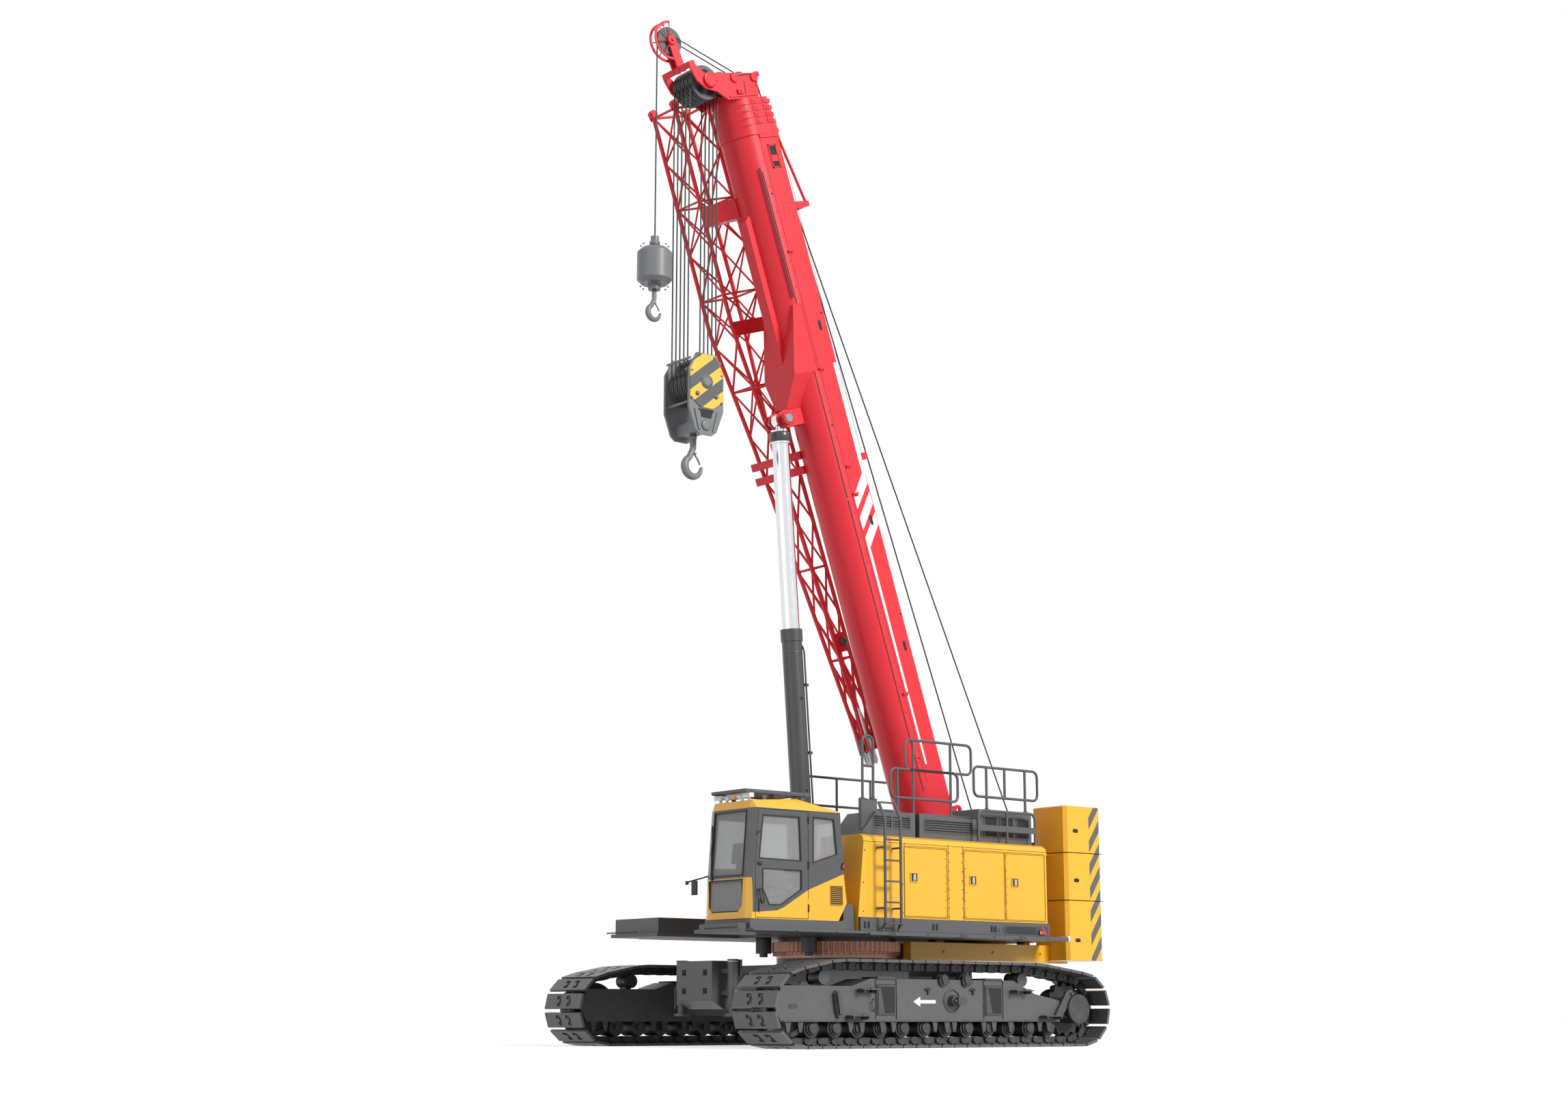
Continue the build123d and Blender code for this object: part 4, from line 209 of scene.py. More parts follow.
def coat_effect() -> bpy.types.NodeTree:
    """Paint or metal with slight colour drift, worn edges, dust low on the machine and a fine surface."""
    tree, n, given, result = effect_group(
        "coat", [("Base", COLOUR, (0.5, 0.5, 0.5, 1)), ("Worn", COLOUR, (0.3, 0.3, 0.3, 1)), ("Drift", FLOAT, 0.06),
                 ("Wear", FLOAT, 0.3), ("Dust", FLOAT, 0.1), ("Roughness", FLOAT, 0.4), ("Edge", FLOAT, 0.004),
                 ("Grain", FLOAT, 90.0)],
        [("Colour", COLOUR), ("Roughness", FLOAT), ("Height", FLOAT), ("Edge normal", VECTOR)])
    broad, fine, speck = n.noise(0.9, 2.0), n.noise(14.0, 4.0), n.noise(160.0, 2.0)
    bevel = n.add("ShaderNodeBevel", samples=3)
    n.link(given.outputs["Edge"], bevel.inputs["Radius"])
    shape = n.add("ShaderNodeNewGeometry")
    turned = n.add("ShaderNodeVectorMath", operation="DOT_PRODUCT")
    n.link(bevel.outputs[0], turned.inputs[0])
    n.link(shape.outputs["Normal"], turned.inputs[1])
    edge = n.ramp(n.math("SUBTRACT", 1.0, turned.outputs["Value"]), 0.03, 0.2)
    chips = n.math("MULTIPLY", edge, n.ramp(fine, 0.48, 0.62), True)
    worn = n.math("MULTIPLY", chips, given.outputs["Wear"], True)
    drift = n.math("MULTIPLY", n.math("SUBTRACT", n.math("ADD", broad, n.math("MULTIPLY", fine, 0.5)), 0.75),
                   given.outputs["Drift"])
    tone = n.add("ShaderNodeHueSaturation")
    n.link(n.math("ADD", 1.0, n.math("MULTIPLY", drift, 2.0)), tone.inputs["Value"])
    n.link(given.outputs["Base"], tone.inputs["Color"])
    _, up = n.axes()
    low = n.ramp(up, 1.5, 0.0)
    dust = n.math("MULTIPLY", n.math("MULTIPLY", low, n.ramp(fine, 0.35, 0.7)), given.outputs["Dust"], True)
    coloured = n.mix(worn, tone.outputs[0], given.outputs["Worn"])
    dusted = n.mix(dust, coloured, linear(150, 143, 130))
    n.link(dusted, result.inputs["Colour"])
    rough = n.math("ADD", given.outputs["Roughness"], n.math("MULTIPLY", n.math("SUBTRACT", fine, 0.5), 0.16))
    rough = n.math("ADD", rough, n.math("ADD", n.math("MULTIPLY", dust, 0.4), n.math("MULTIPLY", worn, 0.15)), True)
    n.link(rough, result.inputs["Roughness"])
    peel = n.add("ShaderNodeTexNoise")
    n.link(n.place(), peel.inputs["Vector"])
    n.link(given.outputs["Grain"], peel.inputs["Scale"])
    height = n.math("ADD", n.math("MULTIPLY", peel.outputs["Fac"], 0.7), n.math("MULTIPLY", speck, 0.3))
    n.link(n.math("SUBTRACT", height, n.math("MULTIPLY", worn, 0.6)), result.inputs["Height"])
    n.link(bevel.outputs[0], result.inputs["Edge normal"])
    return tree


def diagonal_effect() -> bpy.types.NodeTree:
    """Mask of slanting stripes across a face, limited to a band."""
    tree, n, given, result = effect_group(
        "diagonal stripes", [("Slope", FLOAT, 1.4), ("Pitch", FLOAT, 0.35), ("Start", FLOAT, 0.0),
                             ("Share", FLOAT, 0.5), ("Low", FLOAT, -99.0), ("High", FLOAT, 99.0)],
        [("Mask", FLOAT)])
    ahead, up = n.axes()
    lean = n.math("MULTIPLY", ahead, given.outputs["Slope"])
    value = n.math("ADD", n.math("ADD", up, lean), given.outputs["Start"])
    part = n.math("FRACT", n.math("DIVIDE", value, given.outputs["Pitch"]))
    stripe = n.math("LESS_THAN", part, given.outputs["Share"])
    band = n.math("MULTIPLY", n.math("GREATER_THAN", ahead, given.outputs["Low"]),
                  n.math("LESS_THAN", ahead, given.outputs["High"]))
    n.link(n.math("MULTIPLY", stripe, band), result.inputs["Mask"])
    return tree


def cab_effect() -> bpy.types.NodeTree:
    """Mask of the cab's painted parts: roof, lower corner and front foot, against the dark window band."""
    tree, n, _, result = effect_group("cab split", [], [("Mask", FLOAT)])
    ahead, up = n.axes()
    rear, front, base = 1.18, 2.90, 1.7
    share = n.ramp(ahead, rear, front)
    curve = n.add("ShaderNodeFloatCurve")
    n.link(share, curve.inputs["Value"])
    line = curve.mapping.curves[0]
    line.points[0].location = (0.0, 2.375 - base)
    line.points[1].location = (1.0, 1.776 - base)
    for x, z in ((1.236, 2.344), (1.873, 2.107), (2.30, 1.862), (2.42, 1.815)):
        line.points.new((x - rear) / (front - rear), z - base)
    for point in line.points:
        point.handle_type = "VECTOR"
    curve.mapping.update()
    low = n.math("LESS_THAN", up, n.math("ADD", curve.outputs[0], base))
    foot = n.math("MULTIPLY", n.math("GREATER_THAN", ahead, 2.846), n.math("LESS_THAN", up, 2.242))
    roof = n.math("GREATER_THAN", up, 3.184)
    n.link(n.math("MAXIMUM", n.math("MAXIMUM", low, foot), roof), result.inputs["Mask"])
    return tree


def new_material(name: str) -> tuple[bpy.types.Material, Shading, bpy.types.Node]:
    """Starts a material.

    Args:
        name: Its name.

    Returns:
        The material, the helper of its tree and its main shader.
    """
    material = bpy.data.materials.new(name)
    material.use_nodes = True
    return material, Shading(material.node_tree), material.node_tree.nodes["Principled BSDF"]


@dataclass(frozen=True)
class Finish:
    """A paint or metal with its wear.

    Attributes:
        name: Name of the material.
        colour: Base colour.
        roughness: How matt it is.
        metallic: 1 for bare metal.
        worn: Colour under the coat.
        drift: Strength of the broad colour variation.
        wear: Strength of the worn edges.
        dust: Strength of the dust near the ground.
        coat: Clear coat over the paint.
        edge: Radius of the softened edges.
        grain: Fineness of the surface.
        bump: Height of the surface.
        specular: Strength of the reflection.
        pattern: How the second colour is laid on.
        second: The second colour.
        stripes: Slope, pitch, start, share, low and high X of the stripes.
    """

    name: str
    colour: Colour
    roughness: float = 0.4
    metallic: float = 0.0
    worn: Colour = linear(90, 88, 86)
    drift: float = 0.05
    wear: float = 0.2
    dust: float = 0.1
    coat: float = 0.0
    edge: float = 0.006
    grain: float = 120.0
    bump: float = 0.04
    specular: float = 0.5
    pattern: Pattern = Pattern.PLAIN
    second: Colour = linear(80, 80, 82)
    stripes: tuple[float, float, float, float, float, float] = (1.4, 0.35, 0.0, 0.5, -99.0, 99.0)

    def make(self, groups: dict[str, bpy.types.NodeTree]) -> bpy.types.Material:
        """Builds the material.

        Args:
            groups: The shared effects by name.

        Returns:
            The new material.
        """
        material, n, shader = new_material(self.name)
        coat = n.add("ShaderNodeGroup", node_tree=groups["coat"])
        base: object = self.colour
        if self.pattern is Pattern.HAZARD:
            mask = n.add("ShaderNodeGroup", node_tree=groups["diagonal"])
            for label, value in zip(("Slope", "Pitch", "Start", "Share", "Low", "High"), self.stripes):
                mask.inputs[label].default_value = value
            base = n.mix(mask.outputs["Mask"], self.colour, self.second)
        elif self.pattern is Pattern.CAB:
            mask = n.add("ShaderNodeGroup", node_tree=groups["cab"])
            base = n.mix(mask.outputs["Mask"], self.second, self.colour)
        n.feed(base, coat.inputs["Base"])
        coat.inputs["Worn"].default_value = self.worn
        for label, value in (("Drift", self.drift), ("Wear", self.wear), ("Dust", self.dust),
                             ("Roughness", self.roughness), ("Edge", self.edge), ("Grain", self.grain)):
            coat.inputs[label].default_value = value
        n.link(coat.outputs["Colour"], shader.inputs["Base Color"])
        n.link(coat.outputs["Roughness"], shader.inputs["Roughness"])
        bump = n.add("ShaderNodeBump")
        bump.inputs["Strength"].default_value = 0.35
        bump.inputs["Distance"].default_value = self.bump * 0.01
        n.link(coat.outputs["Height"], bump.inputs["Height"])
        n.link(coat.outputs["Edge normal"], bump.inputs["Normal"])
        n.link(bump.outputs[0], shader.inputs["Normal"])
        shader.inputs["Metallic"].default_value = self.metallic
        shader.inputs["Specular IOR Level"].default_value = self.specular
        shader.inputs["Coat Weight"].default_value = self.coat
        shader.inputs["Coat Roughness"].default_value = 0.12
        return material


YELLOW = linear(250, 186, 40)
GREY = linear(84, 85, 87)
FINISHES = (
    Finish("boom_paint", linear(230, 38, 52), 0.4, coat=0.12, specular=0.4, dust=0.0, wear=0.12,
           worn=linear(150, 40, 44)),
    Finish("yellow_paint", YELLOW, 0.34, coat=0.4, wear=0.1, worn=linear(200, 140, 40), dust=0.05),
    Finish("cab_paint", YELLOW, 0.32, coat=0.4, wear=0.08, worn=linear(190, 140, 60), pattern=Pattern.CAB,
           second=linear(74, 75, 77), dust=0.03),
    Finish("hazard_paint", YELLOW, 0.36, coat=0.3, wear=0.08, pattern=Pattern.HAZARD, second=linear(92, 92, 92),
           stripes=(1.46, 0.352, 0.02, 0.52, -4.19, -3.912), worn=linear(190, 130, 40)),
    Finish("grey_paint", GREY, 0.45, coat=0.1, wear=0.25, worn=linear(120, 118, 115)),
    Finish("track_paint", linear(66, 67, 69), 0.5, wear=0.45, worn=linear(120, 119, 117), dust=0.2, grain=60.0,
           bump=0.12),
    Finish("wheel_paint", linear(52, 53, 55), 0.42, wear=0.5, worn=linear(125, 124, 122), dust=0.15, grain=70.0,
           bump=0.08),
    # Copper of the ring and its bolts: partly its own colour, partly painted light, made lighter than the metal because
    # the ring sits in the deck's shade.
    Finish("ring_metal", linear(252, 190, 166), 0.36, metallic=0.15, wear=0.4, worn=linear(240, 190, 170),
           drift=0.12, dust=0.0),
    Finish("pin_metal", linear(150, 150, 152), 0.3, metallic=0.9, wear=0.3, worn=linear(190, 190, 190)),
    Finish("sheave_paint", linear(88, 90, 92), 0.38, wear=0.5, worn=linear(150, 150, 150), dust=0.0),
    Finish("engine_paint", linear(96, 98, 100), 0.55, wear=0.4, worn=linear(130, 120, 110), grain=50.0, bump=0.1),
    Finish("rail_paint", linear(84, 84, 86), 0.42, wear=0.3, worn=linear(130, 128, 126)),
    Finish("cylinder_paint", linear(58, 59, 61), 0.36, coat=0.3, wear=0.15, dust=0.0),
    Finish("shoe_paint", linear(84, 85, 87), 0.4, wear=0.6, worn=linear(140, 139, 137), dust=0.2, grain=60.0,
           bump=0.12, coat=0.1),
    # Near-black finish for plates set in holes, gaps and recesses: painted shade where there is only shadow.
    Finish("dark_hole", linear(18, 18, 19), 0.7, wear=0.0, dust=0.0),
    Finish("steel_disc", linear(220, 222, 224), 0.25, metallic=0.9, wear=0.1, dust=0.0),
    Finish("mirror_metal", linear(225, 228, 230), 0.06, metallic=1.0, wear=0.0, dust=0.0, bump=0.005),
    # Darker copies of the yellow and red paint for door gaps, collar edges and plate joints: painted shade in the
    # seams.
    Finish("yellow_seam", linear(150, 108, 22), 0.5, wear=0.0, dust=0.0),
    Finish("red_seam", linear(74, 8, 14), 0.5, wear=0.0, dust=0.0),
    Finish("plate_grey", linear(62, 63, 65), 0.4, wear=0.1, dust=0.0),
    Finish("plate_dark", linear(34, 35, 37), 0.35, wear=0.1, dust=0.0),
    Finish("rod_metal", linear(225, 227, 230), 0.14, metallic=1.0, wear=0.0, drift=0.02, dust=0.0, bump=0.01),
    Finish("rope_metal", linear(58, 60, 62), 0.5, metallic=0.2, wear=0.0, dust=0.0, edge=0.001),
    Finish("hook_paint", linear(122, 124, 126), 0.4, wear=0.5, worn=linear(165, 165, 165), dust=0.0),
    Finish("seat_cloth", linear(44, 45, 47), 0.8, wear=0.1, dust=0.0, grain=260.0, bump=0.2),
    Finish("black_rubber", linear(30, 30, 32), 0.55, wear=0.1, dust=0.0, grain=160.0),
    Finish("lamp_white", linear(236, 238, 240), 0.2, wear=0.0, dust=0.0, coat=0.6),
    Finish("lamp_amber", linear(240, 130, 30), 0.2, wear=0.0, dust=0.0, coat=0.6),
    Finish("lamp_blue", linear(120, 165, 235), 0.2, wear=0.0, dust=0.0, coat=0.6),
    Finish("lamp_red", linear(225, 30, 30), 0.2, wear=0.0, dust=0.0, coat=0.6),
    Finish("white_mark", linear(244, 244, 244), 0.4, wear=0.05, worn=linear(210, 180, 180), dust=0.0, edge=0.001),
    Finish("silver_paint", linear(196, 198, 200), 0.3, metallic=0.7, wear=0.2, dust=0.0),
    Finish("block_stripes", linear(250, 196, 62), 0.38, wear=0.1, dust=0.0, pattern=Pattern.HAZARD,
           second=linear(82, 84, 86), stripes=(0.8, 0.4, -0.05, 0.5, -99.0, 99.0), coat=0.2),
)


def glass_with_painted_sheen() -> bpy.types.Material:
    """Clear grey cab glass with slight streaks in its gloss; its light grey colour, on the share that lets no light
    through, is painted sheen standing in for reflections of the bright surroundings.
    """
    material, n, shader = new_material("cab_glass_tint")
    n.link(n.mix(n.noise(2.0), linear(206, 207, 208), linear(216, 217, 218)), shader.inputs["Base Color"])
    n.link(n.ramp(n.noise(6.0), -0.4, 6.0), shader.inputs["Roughness"])
    bump = n.add("ShaderNodeBump")
    bump.inputs["Strength"].default_value = 0.05
    bump.inputs["Distance"].default_value = 0.001
    n.link(n.noise(3.0), bump.inputs["Height"])
    n.link(bump.outputs[0], shader.inputs["Normal"])
    # Only part transmission, so the light grey colour shows on the panes as painted sheen.
    shader.inputs["Transmission Weight"].default_value = 0.72
    shader.inputs["IOR"].default_value = 1.12
    return material


def make_materials() -> dict[str, bpy.types.Material]:
    """Every finish by its name."""
    groups = {"coat": coat_effect(), "diagonal": diagonal_effect(), "cab": cab_effect()}
    made = {finish.name: finish.make(groups) for finish in FINISHES}
    made["cab_glass_tint"] = glass_with_painted_sheen()
    return made


NODE_FINISH = {
    "boom_paint": ("boom_base", "boom_head", "boom_keel", "boom_section_2", "boom_section_3", "boom_section_4",
                   "boom_section_5", "cylinder_clevis", "jib", "jib_brackets"),
    "yellow_paint": ("engine_hood", "hood_door_front", "hood_door_middle", "hood_door_rear", "counterweight_tray",
                     "right_housing"),
    "cab_paint": ("cab_shell", "cab_door"),
    "hazard_paint": ("counterweight_blocks",),
    "grey_paint": ("revolving_frame", "decks", "cab_supports", "roof_guard", "louvre_hood", "carbody",
                   "carbody_weights", "jack_cylinders", "left_side_frame", "right_side_frame", "slew_drives"),
    "track_paint": ("left_track", "right_track"),
    "wheel_paint": ("left_track_wheels", "right_track_wheels"),
    "ring_metal": ("slew_ring",),
    "pin_metal": ("frame_pins",),
    "sheave_paint": ("head_sheaves", "block_sheaves", "main_winch_drum", "aux_winch_drum"),
    "engine_paint": ("engine_block",),
    "rail_paint": ("handrails", "ladder"),
    "cylinder_paint": ("lift_cylinder_barrel",),
    "rod_metal": ("lift_cylinder_rod",),
    "rope_metal": ("main_falls", "aux_fall"),
    "hook_paint": ("main_hook", "aux_hook", "main_block", "aux_ball"),
    "seat_cloth": ("cab_seat",),
    "lamp_white": ("lamps",),
    "cab_glass_tint": ("cab_glass", "cab_door_glass"),
}


def dress_nodes(materials: dict[str, bpy.types.Material]) -> None:
    """Gives every solid of the frame its finish."""
    for finish, names in NODE_FINISH.items():
        for name in names:
            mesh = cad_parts[name].data
            if not mesh.materials:
                mesh.materials.append(materials[finish])
            for index in range(len(mesh.materials)):
                mesh.materials[index] = materials[finish]


# ------------------------------------------------------------------ studio
@dataclass
class Studio:
    """Pale floor, soft light and the camera."""

    camera_place: Point = (21.969, 25.685, 0.383)
    camera_turn: float = 230.767
    camera_rise: float = 11.60
    lens: float = 52.32
    floor_half: float = 60.0
    sky: float = 0.38
    key: float = 2.7
    fill_share: float = 0.18
    floor_glow: float = 0.62
    sensor: float = 36.0

    def build(self) -> None:
        """Makes the camera, the floor, the sky and the lamps."""
        bpy.context.scene.view_settings.view_transform = "Standard"
        self.camera()
        self.floor()
        self.world()
        self.lamp("key", (-0.25, 1.0, 0.55), self.key, 20.0)
        self.lamp("fill", (1.0, 0.1, 0.5), self.key * self.fill_share, 60.0)
        log.info("studio ready")

    def camera(self) -> None:
        """The camera at the chosen view of the machine."""
        data = bpy.data.cameras.new("camera")
        data.lens = self.lens
        data.sensor_width = self.sensor
        data.clip_end = 300.0
        camera = bpy.data.objects.new("camera", data)
        bpy.context.scene.collection.objects.link(camera)
        turn, rise = math.radians(self.camera_turn), math.radians(self.camera_rise)
        look = Vector((math.cos(turn) * math.cos(rise), math.sin(turn) * math.cos(rise), math.sin(rise)))
        camera.location = self.camera_place
        camera.rotation_euler = look.to_track_quat("-Z", "Y").to_euler()
        bpy.context.scene.camera = camera

    def floor(self) -> None:
        """A pale floor that keeps the machine's shadow."""
        maker = Maker()
        half = self.floor_half
        maker.box((-half, -half, -0.02), (half, half, 0.0))
        material, n, shader = new_material("studio_floor")
        n.link(n.mix(n.noise(0.4), linear(196, 196, 196), linear(202, 202, 202)), shader.inputs["Base Color"])
        shader.inputs["Roughness"].default_value = 0.9
        shader.inputs["Emission Color"].default_value = (1.0, 1.0, 1.0, 1.0)
        n.link(n.math("MULTIPLY", n.seen(), self.floor_glow), shader.inputs["Emission Strength"])
        maker.object("studio_floor", material)

    def world(self) -> None:
        """Even sky light, and plain white where the camera or a reflection sees the sky."""
        world = bpy.data.worlds.new("sky")
        bpy.context.scene.world = world
        world.use_nodes = True
        n = Shading(world.node_tree)
        background = world.node_tree.nodes["Background"]
        background.inputs["Color"].default_value = (1.0, 1.0, 1.0, 1.0)
        n.link(n.math("MAXIMUM", n.seen(), self.sky), background.inputs["Strength"])

    def lamp(self, name: str, toward: Point, strength: float, softness: float) -> None:
        """A far lamp with soft shadows.

        Args:
            name: Name of the lamp.
            toward: Direction from the machine to the lamp.
            strength: Its light.
            softness: Its width as an angle in degrees.
        """
        data = bpy.data.lights.new(name, "SUN")
        data.energy = strength
        data.angle = math.radians(softness)
        lamp = bpy.data.objects.new(name, data)
        bpy.context.scene.collection.objects.link(lamp)
        lamp.rotation_euler = (-Vector(toward)).to_track_quat("-Z", "Y").to_euler()


# ------------------------------------------------------------------ mesh making
def link_object(name: str, mesh: bpy.types.Mesh) -> bpy.types.Object:
    """A new object with a mesh, linked to the scene."""
    made = bpy.data.objects.new(name, mesh)
    bpy.context.scene.collection.objects.link(made)
    return made


class Maker:
    """Collects simple shapes into one mesh."""

    def __init__(self) -> None:
        """Starts with nothing."""
        self.points: list[Vector] = []
        self.faces: list[tuple[int, ...]] = []
        self.marks: list[int] = []
        self.smooth: list[bool] = []
        self.mark = 0

    def add(self, points: Iterable[Sequence[float]], faces: Iterable[Sequence[int]], smooth: bool = False) -> None:
        """Adds points and the faces between them, with the maker's current finish."""
        start = len(self.points)
        self.points += [Vector(p) for p in points]
        for face in faces:
            self.faces.append(tuple(start + i for i in face))
            self.marks.append(self.mark)
            self.smooth.append(smooth)

    def prism(self, outline: Points, step: Sequence[float]) -> None:
        """A closed plate.

        Args:
            outline: Corners of one face, in order.
            step: From that face to the opposite one.
        """
        step = Vector(step)
        low = [Vector(p) for p in outline]
        turn = sum(((a - low[0]).cross(b - low[0]) for a, b in zip(low[1:], low[2:])), Vector())
        if turn.dot(step) > 0:
            low.reverse()
        count = len(low)
        sides = [(i, i + count, (i + 1) % count + count, (i + 1) % count) for i in range(count)]
        self.add(low + [p + step for p in low], [tuple(range(count)), tuple(reversed(range(count, 2 * count)))] + sides)

    def box(self, corner: Sequence[float], opposite: Sequence[float]) -> None:
        """A box between two opposite corners, in either order."""
        (x0, x1), (y0, y1), (z0, z1) = (sorted(pair) for pair in zip(corner, opposite))
        self.prism([(x0, y0, z0), (x1, y0, z0), (x1, y1, z0), (x0, y1, z0)], (0, 0, z1 - z0))

    def side_plate(self, outline: Sequence[Flat], near: float, far: float) -> None:
        """A plate outlined in X and Z, between two Y in either order."""
        low, high = sorted((near, far))
        self.prism([(x, low, z) for x, z in outline], (0, high - low, 0))

    def boom_plate(self, outline: Sequence[Flat], near: float, far: float) -> None:
        """A plate outlined along and across the boom, between two Y in either order."""
        low, high = sorted((near, far))
        self.prism([on_boom(s, t, low) for s, t in outline], (0, high - low, 0))

    def lathe(self, start: Sequence[float], end: Sequence[float], profile: Sequence[Flat], sides: int = 20) -> None:
        """A turned form.

        Args:
            start: One end of the axis.
            end: Point that gives the axis direction.
            profile: Distance along the axis and radius of each ring; the end rings are closed.
            sides: Facets round it.
        """
        start, axis = Vector(start), (Vector(end) - Vector(start)).normalized()
        first = axis.orthogonal().normalized()
        second = axis.cross(first)
        points, faces = [], []
        for along, radius in profile:
            for k in range(sides):
                a = 2 * math.pi * k / sides
                points.append(start + axis * along + (first * math.cos(a) + second * math.sin(a)) * radius)
        for ring in range(len(profile) - 1):
            for k in range(sides):
                a, b = ring * sides + k, ring * sides + (k + 1) % sides
                faces.append((a, b, b + sides, a + sides))
        self.add(points, faces, True)
        last = (len(profile) - 1) * sides
        self.add(points[:sides], [tuple(reversed(range(sides)))])
        self.add(points[last:], [tuple(range(sides))])

    def knob(self, start: Sequence[float], sign: int, profile: Sequence[Flat], sides: int = 20) -> None:
        """A turned form that points straight out of one side of the machine."""
        self.lathe(start, Vector(start) + Vector((0, sign, 0)), profile, sides)

    def rod(self, start: Sequence[float], end: Sequence[float], radius: float, sides: int = 12) -> None:
        """A round bar between two points."""
        length = (Vector(end) - Vector(start)).length
        self.lathe(start, end, [(0, radius), (length, radius)], sides)

    def pipe(self, path: Points, radii: float | Sequence[float], sides: int = 10,
             closed: bool = False) -> None:
        """A tube of changing radius along a path.

        Args:
            path: Points of its centre line.
            radii: Radius at each point, or one radius for all.
            sides: Facets round it.
            closed: Whether the last point runs back to the first.
        """
        path = [Vector(p) for p in path]
        count = len(path)
        radii = [radii] * count if isinstance(radii, float) else radii
        side = None
        points, faces = [], []
        for i, place in enumerate(path):
            before = path[i - 1] if i or closed else place
            after = path[(i + 1) % count] if i + 1 < count or closed else place
            axis = (after - before).normalized()
            side = axis.orthogonal().normalized() if side is None else (side - axis * side.dot(axis)).normalized()
            up = axis.cross(side)
            for k in range(sides):
                a = 2 * math.pi * k / sides
                points.append(place + (side * math.cos(a) + up * math.sin(a)) * radii[i])
        rings = count if closed else count - 1
        for ring in range(rings):
            for k in range(sides):
                a, b = ring * sides + k, ring * sides + (k + 1) % sides
                c, d = ((ring + 1) % count) * sides + (k + 1) % sides, ((ring + 1) % count) * sides + k
                faces.append((a, b, c, d))
        self.add(points, faces, True)
        if not closed:
            self.add(points[:sides], [tuple(reversed(range(sides)))])
            self.add(points[-sides:], [tuple(range(sides))])

    def object(self, name: str, *materials: bpy.types.Material, soft: float = 0.0) -> bpy.types.Object:
        """Makes the object.

        Args:
            name: Name of the piece.
            materials: Its finishes, in the order of the marks.
            soft: Width of its bevelled edges.

        Returns:
            The object, linked to the scene.
        """
        mesh = bpy.data.meshes.new(name)
        mesh.from_pydata([tuple(p) for p in self.points], [], self.faces)
        for material in materials:
            mesh.materials.append(material)
        mesh.polygons.foreach_set("material_index", self.marks)
        mesh.polygons.foreach_set("use_smooth", self.smooth)
        work = bmesh.new()
        work.from_mesh(mesh)
        bmesh.ops.remove_doubles(work, verts=work.verts, dist=1e-6)
        bmesh.ops.recalc_face_normals(work, faces=work.faces)
        work.to_mesh(mesh)
        work.free()
        made = link_object(name, mesh)
        if soft:
            bevel = made.modifiers.new("soft_edges", "BEVEL")
            bevel.width = soft
            bevel.segments = 2
            bevel.limit_method = "ANGLE"
            bevel.angle_limit = math.radians(40)
            bevel.harden_normals = True
        return made


# ------------------------------------------------------------------ repeats and tubes
Place = tuple[Sequence[float], Matrix]
STRAIGHT = Matrix.Identity(3)


def settle(piece: bpy.types.Object) -> bpy.types.Object:
    """Turns a piece and its modifiers into one plain mesh.

    Args:
        piece: The object to settle.

    Returns:
        A new object with the same name and no modifiers; the old one is removed.
    """
    name = piece.name
    graph = bpy.context.evaluated_depsgraph_get()
    mesh = bpy.data.meshes.new_from_object(piece.evaluated_get(graph), depsgraph=graph)
    bpy.data.objects.remove(piece)
    return link_object(name, mesh)


